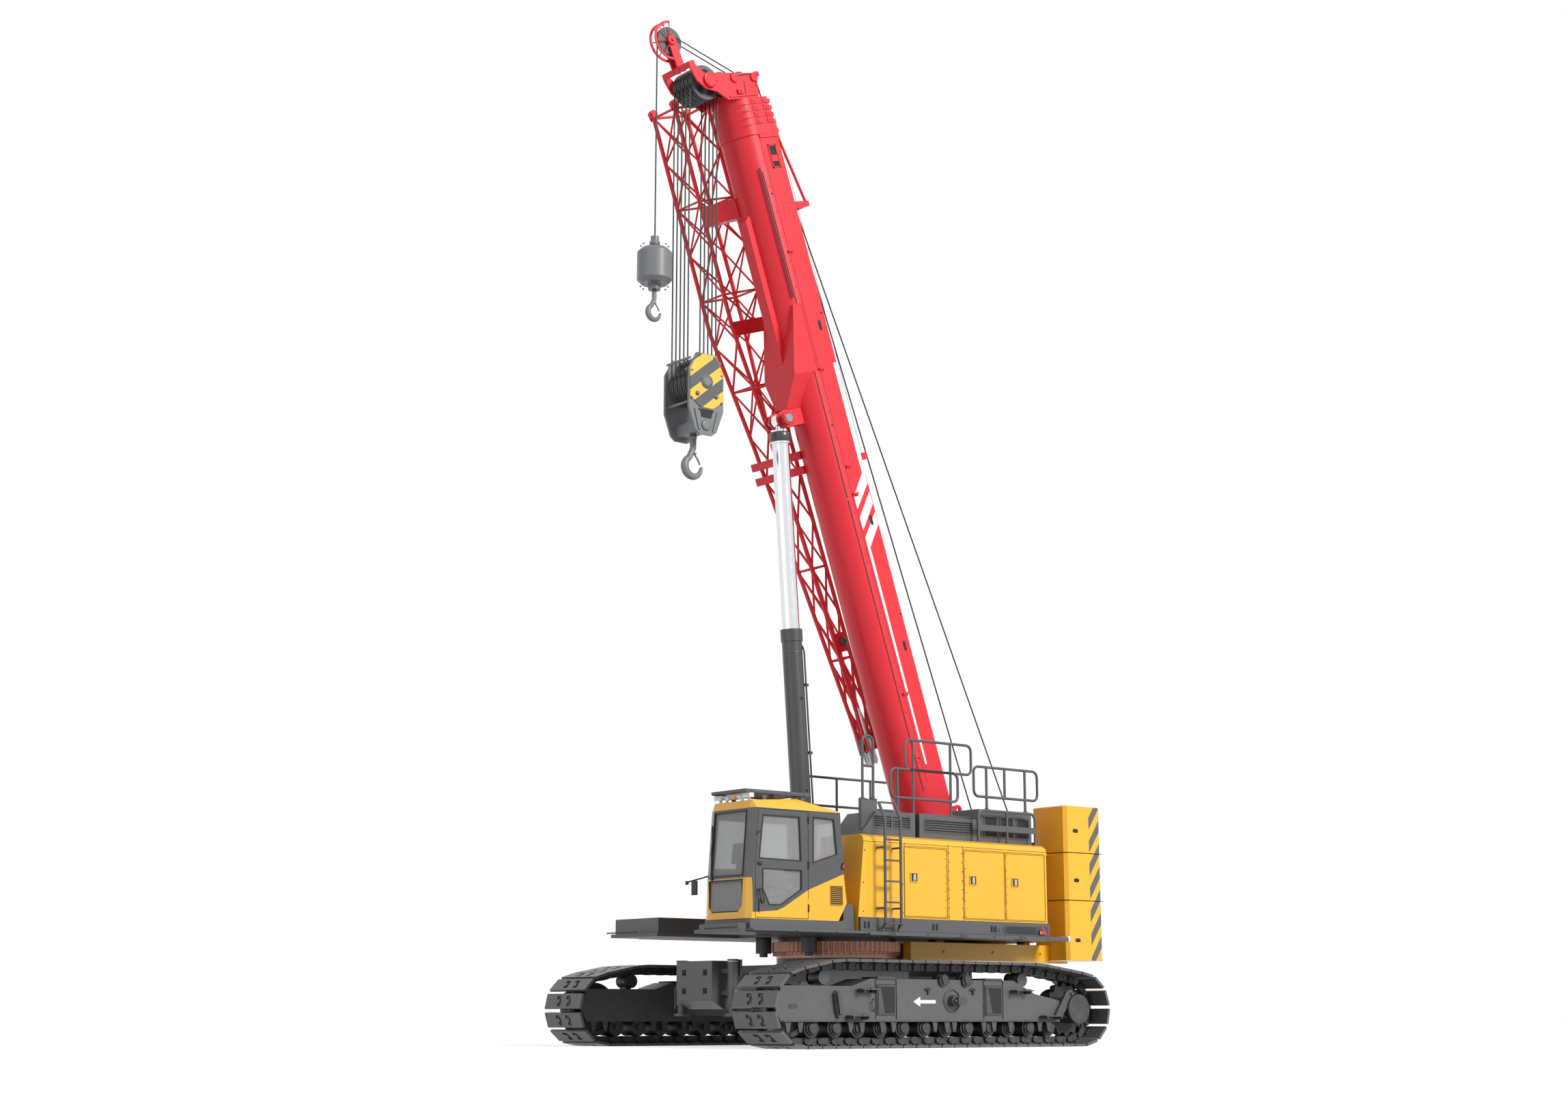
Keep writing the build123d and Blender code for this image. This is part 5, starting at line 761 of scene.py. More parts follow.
class Repeater:
    """Geometry Nodes trees that set copies at points and run tubes along paths."""

    def __init__(self) -> None:
        """Builds both trees once."""
        self.copies_tree = self.build_copies()
        self.tubes_tree = self.build_tubes()

    @staticmethod
    def start(name: str, inputs: Sequence[tuple[str, str]]) -> tuple[Shading, bpy.types.Node, bpy.types.Node]:
        """Starts a tree.

        Args:
            name: Name of the tree.
            inputs: Name and socket type of each input after the geometry.

        Returns:
            The tree's helper, its input node and its output node.
        """
        tree = bpy.data.node_groups.new(name, "GeometryNodeTree")
        tree.interface.new_socket(name="Geometry", in_out="INPUT", socket_type="NodeSocketGeometry")
        for label, kind in inputs:
            tree.interface.new_socket(name=label, in_out="INPUT", socket_type=kind)
        tree.interface.new_socket(name="Geometry", in_out="OUTPUT", socket_type="NodeSocketGeometry")
        nodes = Shading(tree)
        return nodes, nodes.add("NodeGroupInput"), nodes.add("NodeGroupOutput")

    def build_copies(self) -> bpy.types.NodeTree:
        """Tree that sets a turned copy of a shape at each point."""
        n, given, result = self.start("copies_at_points", [("Shape", "NodeSocketObject"), ("Size", FLOAT),
                                                           ("Finish", "NodeSocketMaterial")])
        shape = n.add("GeometryNodeObjectInfo", transform_space="ORIGINAL")
        n.link(given.outputs["Shape"], shape.inputs["Object"])
        turn = n.add("GeometryNodeInputNamedAttribute", data_type="FLOAT_VECTOR")
        turn.inputs["Name"].default_value = "turn"
        spin = n.add("FunctionNodeEulerToRotation")
        n.link(turn.outputs["Attribute"], spin.inputs[0])
        copies = n.add("GeometryNodeInstanceOnPoints")
        n.link(given.outputs["Geometry"], copies.inputs["Points"])
        n.link(shape.outputs["Geometry"], copies.inputs["Instance"])
        n.link(spin.outputs[0], copies.inputs["Rotation"])
        n.link(given.outputs["Size"], copies.inputs["Scale"])
        real = n.add("GeometryNodeRealizeInstances")
        n.link(copies.outputs[0], real.inputs[0])
        self.finish(n, real.outputs[0], given, result)
        return n.tree

    def build_tubes(self) -> bpy.types.NodeTree:
        """Tree that turns edges into round tubes with rounded bends."""
        n, given, result = self.start("tubes_along_paths", [("Radius", FLOAT), ("Bend", FLOAT),
                                                            ("Sides", "NodeSocketInt"),
                                                            ("Finish", "NodeSocketMaterial")])
        curve = n.add("GeometryNodeMeshToCurve")
        n.link(given.outputs["Geometry"], curve.inputs[0])
        bend = n.add("GeometryNodeFilletCurve", mode="POLY")
        n.link(curve.outputs[0], bend.inputs["Curve"])
        bend.inputs["Count"].default_value = 4
        bend.inputs["Limit Radius"].default_value = True
        n.link(given.outputs["Bend"], bend.inputs["Radius"])
        ring = n.add("GeometryNodeCurvePrimitiveCircle")
        n.link(given.outputs["Sides"], ring.inputs["Resolution"])
        n.link(given.outputs["Radius"], ring.inputs["Radius"])
        tube = n.add("GeometryNodeCurveToMesh")
        n.link(bend.outputs[0], tube.inputs["Curve"])
        n.link(ring.outputs[0], tube.inputs["Profile Curve"])
        tube.inputs["Fill Caps"].default_value = True
        real = n.add("GeometryNodeRealizeInstances")
        n.link(tube.outputs[0], real.inputs[0])
        smooth = n.add("GeometryNodeSetShadeSmooth")
        n.link(real.outputs[0], smooth.inputs[0])
        self.finish(n, smooth.outputs[0], given, result)
        return n.tree

    @staticmethod
    def finish(n: Shading, shape: bpy.types.NodeSocket, given: bpy.types.Node, result: bpy.types.Node) -> None:
        """Ends a tree with its finish."""
        coat = n.add("GeometryNodeSetMaterial")
        n.link(shape, coat.inputs["Geometry"])
        n.link(given.outputs["Finish"], coat.inputs["Material"])
        n.link(coat.outputs[0], result.inputs[0])

    @staticmethod
    def run(piece: bpy.types.Object, tree: bpy.types.NodeTree, values: dict[str, object]) -> bpy.types.Object:
        """Runs a tree on an object.

        Args:
            piece: The object with the points or edges.
            tree: The tree.
            values: Value of each named input.

        Returns:
            The settled object.
        """
        modifier = piece.modifiers.new("tree", "NODES")
        modifier.node_group = tree
        for item in tree.interface.items_tree:
            if item.in_out == "INPUT" and item.name in values:
                modifier[item.identifier] = values[item.name]
        return settle(piece)

    def copies(self, name: str, shape: bpy.types.Object, places: Sequence[Place],
               finish: bpy.types.Material, size: float = 1.0) -> bpy.types.Object:
        """Sets copies of a shape.

        Args:
            name: Name of the piece.
            shape: The shape to copy, which is removed.
            places: Place and turn of each copy.
            finish: Their finish.
            size: Their scale.

        Returns:
            All the copies as one plain mesh.
        """
        mesh = bpy.data.meshes.new(name)
        mesh.from_pydata([tuple(point) for point, _ in places], [], [])
        turns = mesh.attributes.new("turn", "FLOAT_VECTOR", "POINT")
        turns.data.foreach_set("vector", [value for _, turn in places for value in turn.to_euler()])
        piece = self.run(link_object(name, mesh), self.copies_tree, {"Shape": shape, "Size": size, "Finish": finish})
        bpy.data.objects.remove(shape)
        return piece

    def tubes(self, name: str, paths: Sequence[Points], radius: float, bend: float,
              finish: bpy.types.Material, sides: int = 12, closed: Sequence[int] = ()) -> bpy.types.Object:
        """Runs tubes.

        Args:
            name: Name of the piece.
            paths: The points of each tube.
            radius: Radius of the tubes.
            bend: Radius of their bends.
            finish: Their finish.
            sides: Facets round a tube.
            closed: Numbers of the paths that run back to their start.

        Returns:
            All the tubes as one plain mesh.
        """
        points, edges = [], []
        for number, path in enumerate(paths):
            start = len(points)
            points += [tuple(p) for p in path]
            edges += [(start + i, start + i + 1) for i in range(len(path) - 1)]
            if number in closed:
                edges.append((len(points) - 1, start))
        mesh = bpy.data.meshes.new(name)
        mesh.from_pydata(points, edges, [])
        return self.run(link_object(name, mesh), self.tubes_tree,
                        {"Radius": radius, "Bend": bend, "Sides": sides, "Finish": finish})


@dataclass
class Kit:
    """What every sub-assembly needs: the finishes and the repeater."""

    finishes: dict[str, bpy.types.Material]
    repeater: Repeater

    def put(self, maker: Maker, name: str, body: str, finishes: Sequence[str], slot: str, soft: float = 0.0,
            replaces: Sequence[str] = ()) -> bpy.types.Object:
        """Makes a piece and hands it to its body.

        Args:
            maker: The collected shapes.
            name: Name of the piece.
            body: The body that carries it.
            finishes: Its finishes, in the order of the marks.
            slot: The record's slot; not used.
            soft: Width of its bevelled edges.
            replaces: Solids that it stands for.

        Returns:
            The piece.
        """
        piece = maker.object(name, *(self.finishes[f] for f in finishes), soft=soft)
        return self.ride(piece, body, slot, replaces)

    @staticmethod
    def ride(piece: bpy.types.Object, body: str, slot: str, replaces: Sequence[str] = ()) -> bpy.types.Object:
        """Hands a finished piece to its body."""
        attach(piece, body)
        if replaces:
            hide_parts(*replaces)
        log.info("%s: %d faces on %s", piece.name, len(piece.data.polygons), body)
        return piece

    def copies(self, maker: Maker, name: str, body: str, places: Sequence[Place], finish: str, slot: str,
               replaces: Sequence[str] = ()) -> bpy.types.Object:
        """Sets copies of the collected shapes and hands them to a body."""
        shape = maker.object(name + "_shape")
        piece = self.repeater.copies(name, shape, places, self.finishes[finish])
        return self.ride(piece, body, slot, replaces)

    def tubes(self, name: str, body: str, paths: Sequence[Points], radius: float, bend: float,
              finish: str, slot: str, sides: int = 12, closed: Sequence[int] = (),
              replaces: Sequence[str] = ()) -> bpy.types.Object:
        """Runs tubes and hands them to a body."""
        piece = self.repeater.tubes(name, paths, radius, bend, self.finishes[finish], sides, closed)
        return self.ride(piece, body, slot, replaces)


def bolt(maker: Maker, place: Sequence[float], toward: Sequence[float], radius: float = 0.012) -> None:
    """A hexagon bolt head with its washer.

    Args:
        maker: Where it goes.
        place: Its seat.
        toward: The way it points.
        radius: Size of the head.
    """
    start, toward = Vector(place), Vector(toward).normalized()
    maker.lathe(start - toward * radius * 0.3, start + toward, [(0, radius * 1.25), (radius * 0.55, radius * 1.25)], 10)
    maker.lathe(start, start + toward, [(0, radius), (radius * 0.9, radius), (radius * 1.1, radius * 0.8)], 6)


def bolt_circle(maker: Maker, centre: Sequence[float], radius: float, count: int, sign: int, size: float,
                first: float = 0.0) -> None:
    """Bolts in a circle on a face that looks out of one side of the machine.

    Args:
        maker: Where they go.
        centre: Middle of the circle.
        radius: Radius of the circle.
        count: Number of bolts.
        sign: The side, 1 or -1.
        size: Size of the heads.
        first: Angle of the first bolt.
    """
    for k in range(count):
        a = first + 2 * math.pi * k / count
        spot = Vector(centre) + Vector((radius * math.cos(a), 0, radius * math.sin(a)))
        bolt(maker, spot, (0, sign, 0), size)


def oval(x: float, z: float, length: float, height: float, turn: float = 0.0, steps: int = 6) -> list[Flat]:
    """Outline of a round-ended slot in X and Z.

    Args:
        x: Middle along X.
        z: Middle along Z.
        length: Whole length.
        height: Width, which is also the diameter of the ends.
        turn: Turn of its length from X, in radians.
        steps: Facets of each end.

    Returns:
        Its corners in order.
    """
    radius, half = height / 2, length / 2 - height / 2
    flat = []
    for side in (1, -1):
        for k in range(steps + 1):
            a = -math.pi / 2 + math.pi * k / steps
            flat.append((side * (half + radius * math.cos(a)), side * radius * math.sin(a)))
    return [(x + a * math.cos(turn) - b * math.sin(turn), z + a * math.sin(turn) + b * math.cos(turn)) for a, b in flat]


# ------------------------------------------------------------------ tracks
@dataclass
class Track:
    """One crawler's chain of shoes and links, with the fittings of its side frame."""

    side: str
    sign: int
    mid_y: float = 2.207
    idler_x: float = 2.8025
    sprocket_x: float = -2.4025
    axle_z: float = 0.52
    pin_radius: float = 0.43
    top_z: float = 1.07
    corners: tuple[float, float] = (2.22, -1.49)
    shoes: int = 56
    shoe_half: float = 0.45
    shoe_long: float = 0.109
    frame_half: float = 0.25
    roller_z: float = 0.265
    rollers_x: tuple[float, float] = (-1.93, 2.4725)
    rollers: int = 12
    boss: Flat = (0.03, 0.626)
    beams_x: tuple[float, float] = (1.24, -0.76)
    beam_half: float = 0.15
    beam_end_y: float = 2.47

    def segments(self) -> list[tuple[float, object]]:
        """Length and place function of each stretch of the chain's pin line, from under the sprocket forwards."""
        rises = []
        for centre, corner in zip((self.idler_x, self.sprocket_x), self.corners):
            dx, dz = abs(corner - centre), self.top_z - self.axle_z
            rises.append(math.acos(self.pin_radius / math.hypot(dx, dz)) + math.atan2(dz, dx))
        front_end, rear_start = math.pi - rises[0], rises[1]
        low = self.axle_z - self.pin_radius

        def on_arc(centre: float, angle: float) -> Flat:
            """Point of a wheel's pin circle."""
            return (centre + self.pin_radius * math.cos(angle), self.axle_z + self.pin_radius * math.sin(angle))

        def line(a: Flat, b: Flat) -> tuple[float, object]:
            """A straight stretch."""
            return math.dist(a, b), lambda share: (a[0] + (b[0] - a[0]) * share, a[1] + (b[1] - a[1]) * share)

        def arc(centre: float, a0: float, a1: float) -> tuple[float, object]:
            """A stretch round a wheel."""
            return self.pin_radius * (a1 - a0), lambda share: on_arc(centre, a0 + (a1 - a0) * share)

        front, rear = (self.corners[0], self.top_z), (self.corners[1], self.top_z)
        return [line((self.sprocket_x, low), (self.idler_x, low)), arc(self.idler_x, -math.pi / 2, front_end),
                line(on_arc(self.idler_x, front_end), front), line(front, rear),
                line(rear, on_arc(self.sprocket_x, rear_start)), arc(self.sprocket_x, rear_start, 1.5 * math.pi)]

    def pins(self) -> list[Flat]:
        """Places of the chain's pins."""
        parts = self.segments()
        total = sum(length for length, _ in parts)
        out = []
        for i in range(self.shoes):
            left = total * i / self.shoes
            for length, place in parts:
                if left <= length:
                    out.append(place(left / length))
                    break
                left -= length
        return out

    def places(self) -> list[Place]:
        """Place and turn of each shoe, from the pins on both sides of it."""
        pins, out = self.pins(), []
        for a, b in zip(pins, pins[1:] + pins[:1]):
            along = Vector((b[0] - a[0], 0.0, b[1] - a[1])).normalized()
            outward = Vector((along.z, 0.0, -along.x))
            across = outward.cross(along)
            out.append((((a[0] + b[0]) / 2, self.sign * self.mid_y, (a[1] + b[1]) / 2),
                        Matrix((along, across, outward)).transposed()))
        return out

    def shoe(self) -> bpy.types.Object:
        """A flat shoe with bevelled ends and two pairs of bolt recesses."""
        half, long = self.shoe_half, self.shoe_long
        plate = Maker()
        plate.prism([(-long, -half, 0.052), (long, -half, 0.052), (long, half, 0.052), (-long, half, 0.052)],
                    (0, 0, 0.038))
        piece = plate.object("shoe")
        cutter = Maker()
        for start in (-0.205, 0.035):
            stroke = [(-0.072, start), (-0.072, start + 0.05), (0.072, start + 0.085), (0.072, start + 0.035)]
            cutter.prism([(x, y, 0.068) for x, y in stroke], (0, 0, 0.05))
            for x, y in ((-0.05, start + 0.075), (0.05, start + 0.11)):
                ring = [(x + 0.03 * math.cos(a), y + 0.034 * math.sin(a), 0.066)
                        for a in (math.pi * k / 5 for k in range(10))]
                cutter.prism(ring, (0, 0, 0.05))
        tool = cutter.object("shoe_cutter")
        cut = piece.modifiers.new("recess", "BOOLEAN")
        cut.operation, cut.solver, cut.object, cut.use_self = "DIFFERENCE", "EXACT", tool, True
        edge = piece.modifiers.new("edge", "BEVEL")
        edge.width, edge.segments, edge.limit_method, edge.angle_limit = 0.007, 1, "ANGLE", math.radians(60)
        piece = settle(piece)
        bpy.data.objects.remove(tool)
        return piece

    def links(self) -> Maker:
        """The two rails of one chain link, its pin and the shoe's nuts."""
        maker = Maker()
        for side in (1, -1):
            for low, high, lead in ((0.062, 0.09, -1), (0.088, 0.116, 1)):
                rail = [(lead * 0.148, -0.02), (lead * 0.135, -0.04), (lead * 0.09, -0.044), (lead * 0.06, -0.05),
                        (-lead * 0.03, -0.05), (-lead * 0.03, 0.053), (lead * 0.09, 0.053), (lead * 0.1, 0.034),
                        (lead * 0.14, 0.025), (lead * 0.15, 0.0)]
                maker.side_plate(rail, side * low, side * high)
            maker.rod((0.117, side * 0.11, 0), (0.117, side * 0.126, 0), 0.03, 10)
            maker.box((-0.055, side * 0.15 - 0.025, 0.036), (0.055, side * 0.15 + 0.025, 0.053))
        maker.rod((-0.117, -0.062, 0), (-0.117, 0.062, 0), 0.034, 10)
        return maker

    def y(self, out: float) -> float:
        """Y of a place that is a distance outside the side frame's outer face."""
        return self.sign * (self.mid_y + self.frame_half + out)

    def plate(self, maker: Maker, outline: Sequence[Flat], low: float, high: float) -> None:
        """A plate on the outer face between two distances from it."""
        maker.side_plate(outline, self.y(low), self.y(high))

    def build(self, kit: Kit) -> None:
        """Makes the chain, the frame's fittings and the roller guards."""
        body = f"{self.side}_crawler"
        places = self.places()
        piece = kit.repeater.copies(f"{self.side}_track_shoes", self.shoe(), places, kit.finishes["shoe_paint"])
        kit.ride(piece, body, "track_steel", (f"{self.side}_track",))
        kit.copies(self.links(), f"{self.side}_track_links", body, places, "wheel_paint", "track_steel")
        self.guards(kit, body)
        self.fittings(kit, body)
        self.beam_ends(kit)

    def guards(self, kit: Kit, body: str) -> None:
        """Tapered roller guards under the frame, in pairs."""
        guard = Maker()
        guard.side_plate([(-0.05, 0.0), (0.05, 0.0), (0.022, -0.135), (-0.022, -0.135)], -0.012, 0.012)
        guard.side_plate(rectangle(-0.05, 0.05, 0.0, 0.02), -0.03, 0.012)
        places = []
        for x in (2.93, 2.72, 1.86, 1.66, 1.3, 1.1, 0.34, 0.12, -0.02, -0.58, -0.78, -1.1, -1.68, -1.86):
            places.append(((x, self.y(-0.016), 0.346), STRAIGHT))
            places.append(((x, self.y(-2 * self.frame_half + 0.016), 0.346), STRAIGHT))
        kit.copies(guard, f"{self.side}_roller_guards", body, places, "track_paint", "dark_grey")

    def fittings(self, kit: Kit, body: str) -> None:
        """Brackets, steps, hook rollers, boss, arrow and edges of the side frame."""
        maker = Maker()
        for x0, x1 in ((1.06, 1.42), (-0.94, -0.58)):
            self.plate(maker, [(x0, 0.905), (x1, 0.905), (x1 - 0.03, 0.936), (x0 + 0.03, 0.936)], -0.3, 0.02)
            for x in (x0 - 0.012, x1):
                self.plate(maker, rectangle(x, x + 0.012, 0.385, 0.9), 0.0, 0.012)
        self.plate(maker, rectangle(-2.0, 3.03, 0.345, 0.362), 0.0, 0.016)
        self.plate(maker, [(2.06, 0.41), (2.03, 0.47), (2.05, 0.63), (2.1, 0.73), (2.15, 0.75), (2.185, 0.71),
                           (2.17, 0.62), (2.15, 0.5), (2.13, 0.42), (2.1, 0.395)], 0.0, 0.05)
        self.plate(maker, [(2.1, 0.7), (2.13, 0.74), (2.17, 0.72), (2.12, 0.45), (2.08, 0.44)], 0.05, 0.09)
        for x0, z, width in ((1.47, 0.76, 0.3), (1.62, 0.415, 0.34), (-1.42, 0.765, 0.34), (-2.02, 0.415, 0.36)):
            self.plate(maker, rectangle(x0, x0 + width, z, z + 0.016), 0.02, 0.15)
            for x in (x0 + 0.03, x0 + width - 0.05):
                self.plate(maker, rectangle(x, x + 0.02, z - 0.035, z), 0.0, 0.14)
            self.plate(maker, rectangle(x0 - 0.06, x0 + 0.05, z - 0.03, z + 0.03), 0.0, 0.03)
        self.plate(maker, [(-1.93, 0.4), (-1.97, 0.46), (-2.19, 0.77), (-2.28, 0.8), (-2.35, 0.745), (-2.29, 0.66),
                           (-2.08, 0.41)], 0.0, 0.045)
        bolt(maker, (-2.28, self.y(0.045), 0.735), (0, self.sign, 0), 0.024)
        for x in (0.478, -0.366):
            self.plate(maker, rectangle(x - 0.012, x + 0.012, 0.71, 0.8), 0.0, 0.03)
            self.plate(maker, rectangle(x - 0.06, x + 0.06, 0.77, 0.786), 0.0, 0.03)
        self.boss_ring(maker)
        maker.mark = 1
        for x in (0.2, -0.23):
            for low, high, radius in ((-0.12, -0.035, 0.085), (-0.035, 0.0, 0.062), (0.0, 0.035, 0.085)):
                maker.lathe((x, self.y(low), 0.9), (x, self.y(high), 0.9), [(0, radius), (high - low, radius)], 18)
            self.plate(maker, [(x - 0.1, 0.86), (x + 0.02, 0.84), (x + 0.06, 0.93), (x + 0.02, 0.99), (x - 0.05, 0.95)],
                       0.035, 0.055)
        self.plate(maker, oval(2.86, 0.545, 0.15, 0.066), 0.0, 0.002)
        handle = [(1.47, self.y(0.0), 0.64), (1.47, self.y(0.035), 0.64), (1.515, self.y(0.035), 0.6),
                  (1.515, self.y(0.035), 0.53), (1.47, self.y(0.035), 0.49), (1.47, self.y(0.0), 0.49)]
        maker.pipe(handle, 0.008, 8)
        maker.mark = 2
        self.plate(maker, [(0.745, 0.612), (0.62, 0.68), (0.62, 0.635), (0.334, 0.635), (0.334, 0.589), (0.62, 0.589),
                           (0.62, 0.544)], 0.0, 0.003)
        kit.put(maker, f"{self.side}_frame_fittings", body, ("track_paint", "wheel_paint", "white_mark"), "dark_grey",
                0.004)
        self.wheel_rims(kit, body)

    def boss_ring(self, maker: Maker) -> None:
        """Ring, pin and square key in the middle of the frame."""
        x, z = self.boss
        ring = [(x + 0.15 * math.cos(a), self.y(0.004), z + 0.15 * math.sin(a))
                for a in (2 * math.pi * k / 28 for k in range(28))]
        maker.pipe(ring, 0.01, 6, True)
        maker.knob((x, self.y(0.0), z), self.sign, [(0, 0.075), (0.09, 0.075), (0.1, 0.065)])
        self.plate(maker, rectangle(-0.1, 0.05, 0.575, 0.675), 0.05, 0.16)
        self.plate(maker, rectangle(-0.14, 0.09, 0.605, 0.645), 0.075, 0.135)

    def wheel_rims(self, kit: Kit, body: str) -> None:
        """Hub rims of the rollers, the idler and the sprocket's cap."""
        maker = Maker()
        first, last = self.rollers_x
        for i in range(self.rollers):
            x = first + (last - first) * i / (self.rollers - 1)
            for low, high, radius in ((-0.085, -0.06, 0.1), (-0.06, -0.035, 0.075)):
                maker.lathe((x, self.y(low), self.roller_z), (x, self.y(high), self.roller_z),
                            [(0, radius), (high - low - 0.006, radius), (high - low, radius - 0.008)], 16)
        maker.lathe((self.sprocket_x, self.y(0.0), self.axle_z), (self.sprocket_x, self.y(1.0), self.axle_z),
                    [(0.03, 0.214), (0.074, 0.214), (0.086, 0.202)], 36)
        bolt_circle(maker, (self.sprocket_x, self.y(-0.002), self.axle_z), 0.232, 12, self.sign, 0.012)
        for x in self.corners:
            for low in (-0.2, -0.1, 0.0):
                inner = -self.frame_half + low
                maker.lathe((x - (0.02 if x > 0 else -0.02), self.y(inner), 0.925), (x, self.y(inner + 1.0), 0.925),
                            [(0.04, 0.099), (0.06, 0.099)], 18)
        kit.put(maker, f"{self.side}_wheel_rims", body, ("wheel_paint",), "wheel_black")

    def beam_ends(self, kit: Kit) -> None:
        """Open ends of the two cross beams, which stay with the centre box when the crawler slides."""
        maker = Maker()
        outer, half = self.sign * self.beam_end_y, self.beam_half
        for x in self.beams_x:
            for z in (0.444, 0.802):
                maker.box((x - half, outer, z), (x + half, outer + self.sign * 0.012, z + 0.014))
            # Near-black plate across the open end: painted shade inside the beam.
            maker.mark = 1
            maker.box((x - half, outer, 0.458), (x + half, outer + self.sign * 0.002, 0.802))
            maker.mark = 0
            maker.side_plate([(x + half, 0.8), (x + half, 0.46), (x + 0.04, 0.46), (x + 0.11, 0.8)],
                             outer, outer + self.sign * 0.01)
        kit.put(maker, f"{self.side}_beam_ends", "undercarriage", ("track_paint", "dark_hole"), "dark_grey", 0.002)


# ------------------------------------------------------------------ carbody and ring
@dataclass
class Carbody:
    """Ballast boxes' hooks, jacks' rims and brackets, and the bolts under the slewing ring."""

    jack_x: tuple[float, float] = (2.38, -1.99)
    jack_y: float = 0.587
    jack_top: float = 1.19
    ring_bolt_radius: float = 0.925
    ring_bolts: int = 64

    def build(self, kit: Kit) -> None:
        """Makes the fittings and the ring's bolts."""
        maker = Maker()
        for face, sign, hook_depth in ((2.6, 1, 0.06), (-2.2, -1, 0.002)):
            for y in (-0.24, 0.24):
                for z in (0.76, 1.01):
                    # Near-black square behind the hook: painted shade in its socket.
                    maker.mark = 1
                    maker.box((face, y - 0.03, z - 0.03), (face - sign * 0.035, y + 0.03, z + 0.03))
                    maker.mark = 0
                    maker.box((face, y - 0.012, z - 0.042), (face - sign * hook_depth, y + 0.012, z + 0.01))
            maker.box((face - sign * 0.02, -0.4, 0.63), (face, 0.4, 0.638))
        for x in self.jack_x:
            for y in (self.jack_y, -self.jack_y):
                self.jack(maker, x, y)
        kit.put(maker, "carbody_fittings", "undercarriage", ("grey_paint", "dark_hole", "white_mark", "steel_disc"),
                "dark_grey", 0.003)
        self.bolts(kit)

    def jack(self, maker: Maker, x: float, y: float) -> None:
        """Rim, channel bracket, pipe and foot disc of one jack."""
        side = 1 if y > 0 else -1
        top = self.jack_top
        maker.mark = 2
        maker.lathe((x, y, top - 0.036), (x, y, top), [(0, 0.0765), (0.012, 0.0765)], 24)
        maker.mark = 0
        maker.lathe((x, y, top - 0.02), (x, y, top), [(0, 0.08), (0.02, 0.08)], 24)
        rear = x - 0.13
        maker.box((rear, y - 0.04, 0.95), (rear + 0.04, y + 0.04, top - 0.004))
        for z in (1.0, 1.06, 1.12):
            bolt(maker, (rear + 0.02, y + side * 0.04, z), (0, side, 0), 0.008)
        outer = y + side * 0.078
        near, far = outer, outer + side * 0.02
        maker.side_plate([(x - 0.06, 0.52), (x + 0.055, 0.52), (x + 0.055, 0.8), (x + 0.03, 0.83), (x - 0.06, 0.83)],
                         near, far)
        maker.mark = 3
        maker.lathe((x + 0.02, outer + side * 0.02, 0.755), (x + 0.02, outer + side, 0.755),
                    [(0, 0.014), (0.004, 0.014)], 12)
        maker.mark = 0

    def bolts(self, kit: Kit) -> None:
        """Long bolts that stand under the toothed ring."""
        stud = Maker()
        stud.lathe((0, 0, -0.05), (0, 0, 1), [(0, 0.009), (0.052, 0.009)], 8)
        stud.lathe((0, 0, -0.05), (0, 0, 1), [(0.0, 0.015), (0.014, 0.015)], 6)
        places = []
        for k in range(self.ring_bolts):
            a = 2 * math.pi * k / self.ring_bolts
            places.append(((self.ring_bolt_radius * math.cos(a), self.ring_bolt_radius * math.sin(a), 1.332),
                           Matrix.Rotation(a, 3, "Z")))
        kit.copies(stud, "ring_bolts", "undercarriage", places, "ring_metal", "ring_copper")


# ------------------------------------------------------------------ cab
def inner(outline: Sequence[Flat], gap: float) -> list[Flat]:
    """An outline moved in towards its middle.

    Args:
        outline: Corners in order.
        gap: How far each edge moves.

    Returns:
        The new corners.
    """
    count = len(outline)
    area = sum(a[0] * b[1] - b[0] * a[1] for a, b in zip(outline, list(outline[1:]) + [outline[0]]))
    sense = 1 if area > 0 else -1
    out = []
    for i in range(count):
        before, here, after = Vector(outline[i - 1]), Vector(outline[i]), Vector(outline[(i + 1) % count])
        one, two = (here - before).normalized(), (after - here).normalized()
        n1, n2 = Vector((-one.y, one.x)) * sense, Vector((-two.y, two.x)) * sense
        mean = n1 + n2
        out.append(tuple(here + mean * (gap / max(0.2, mean.dot(n1)))))
    return out


def frame_plates(maker: Maker, outline: Sequence[Flat], width: float, low: float, high: float,
                 cross: bool = False) -> None:
    """A thin band round a pane.

    Args:
        maker: Where it goes.
        outline: The pane's corners.
        width: Width of the band, inwards.
        low: Its near face.
        high: Its far face.
        cross: Whether the pane lies in Y and Z instead of X and Z.
    """
    inside = inner(outline, width)
    count = len(outline)
    points = []
    for depth in (low, high):
        for ring in (outline, inside):
            for a, b in ring:
                points.append((depth, a, b) if cross else (a, depth, b))
    faces = []
    for i in range(count):
        j = (i + 1) % count
        faces += [(i, j, count + j, count + i), (2 * count + i, 3 * count + i, 3 * count + j, 2 * count + j),
                  (i, 2 * count + i, 2 * count + j, j), (count + i, count + j, 3 * count + j, 3 * count + i)]
    maker.add(points, faces)


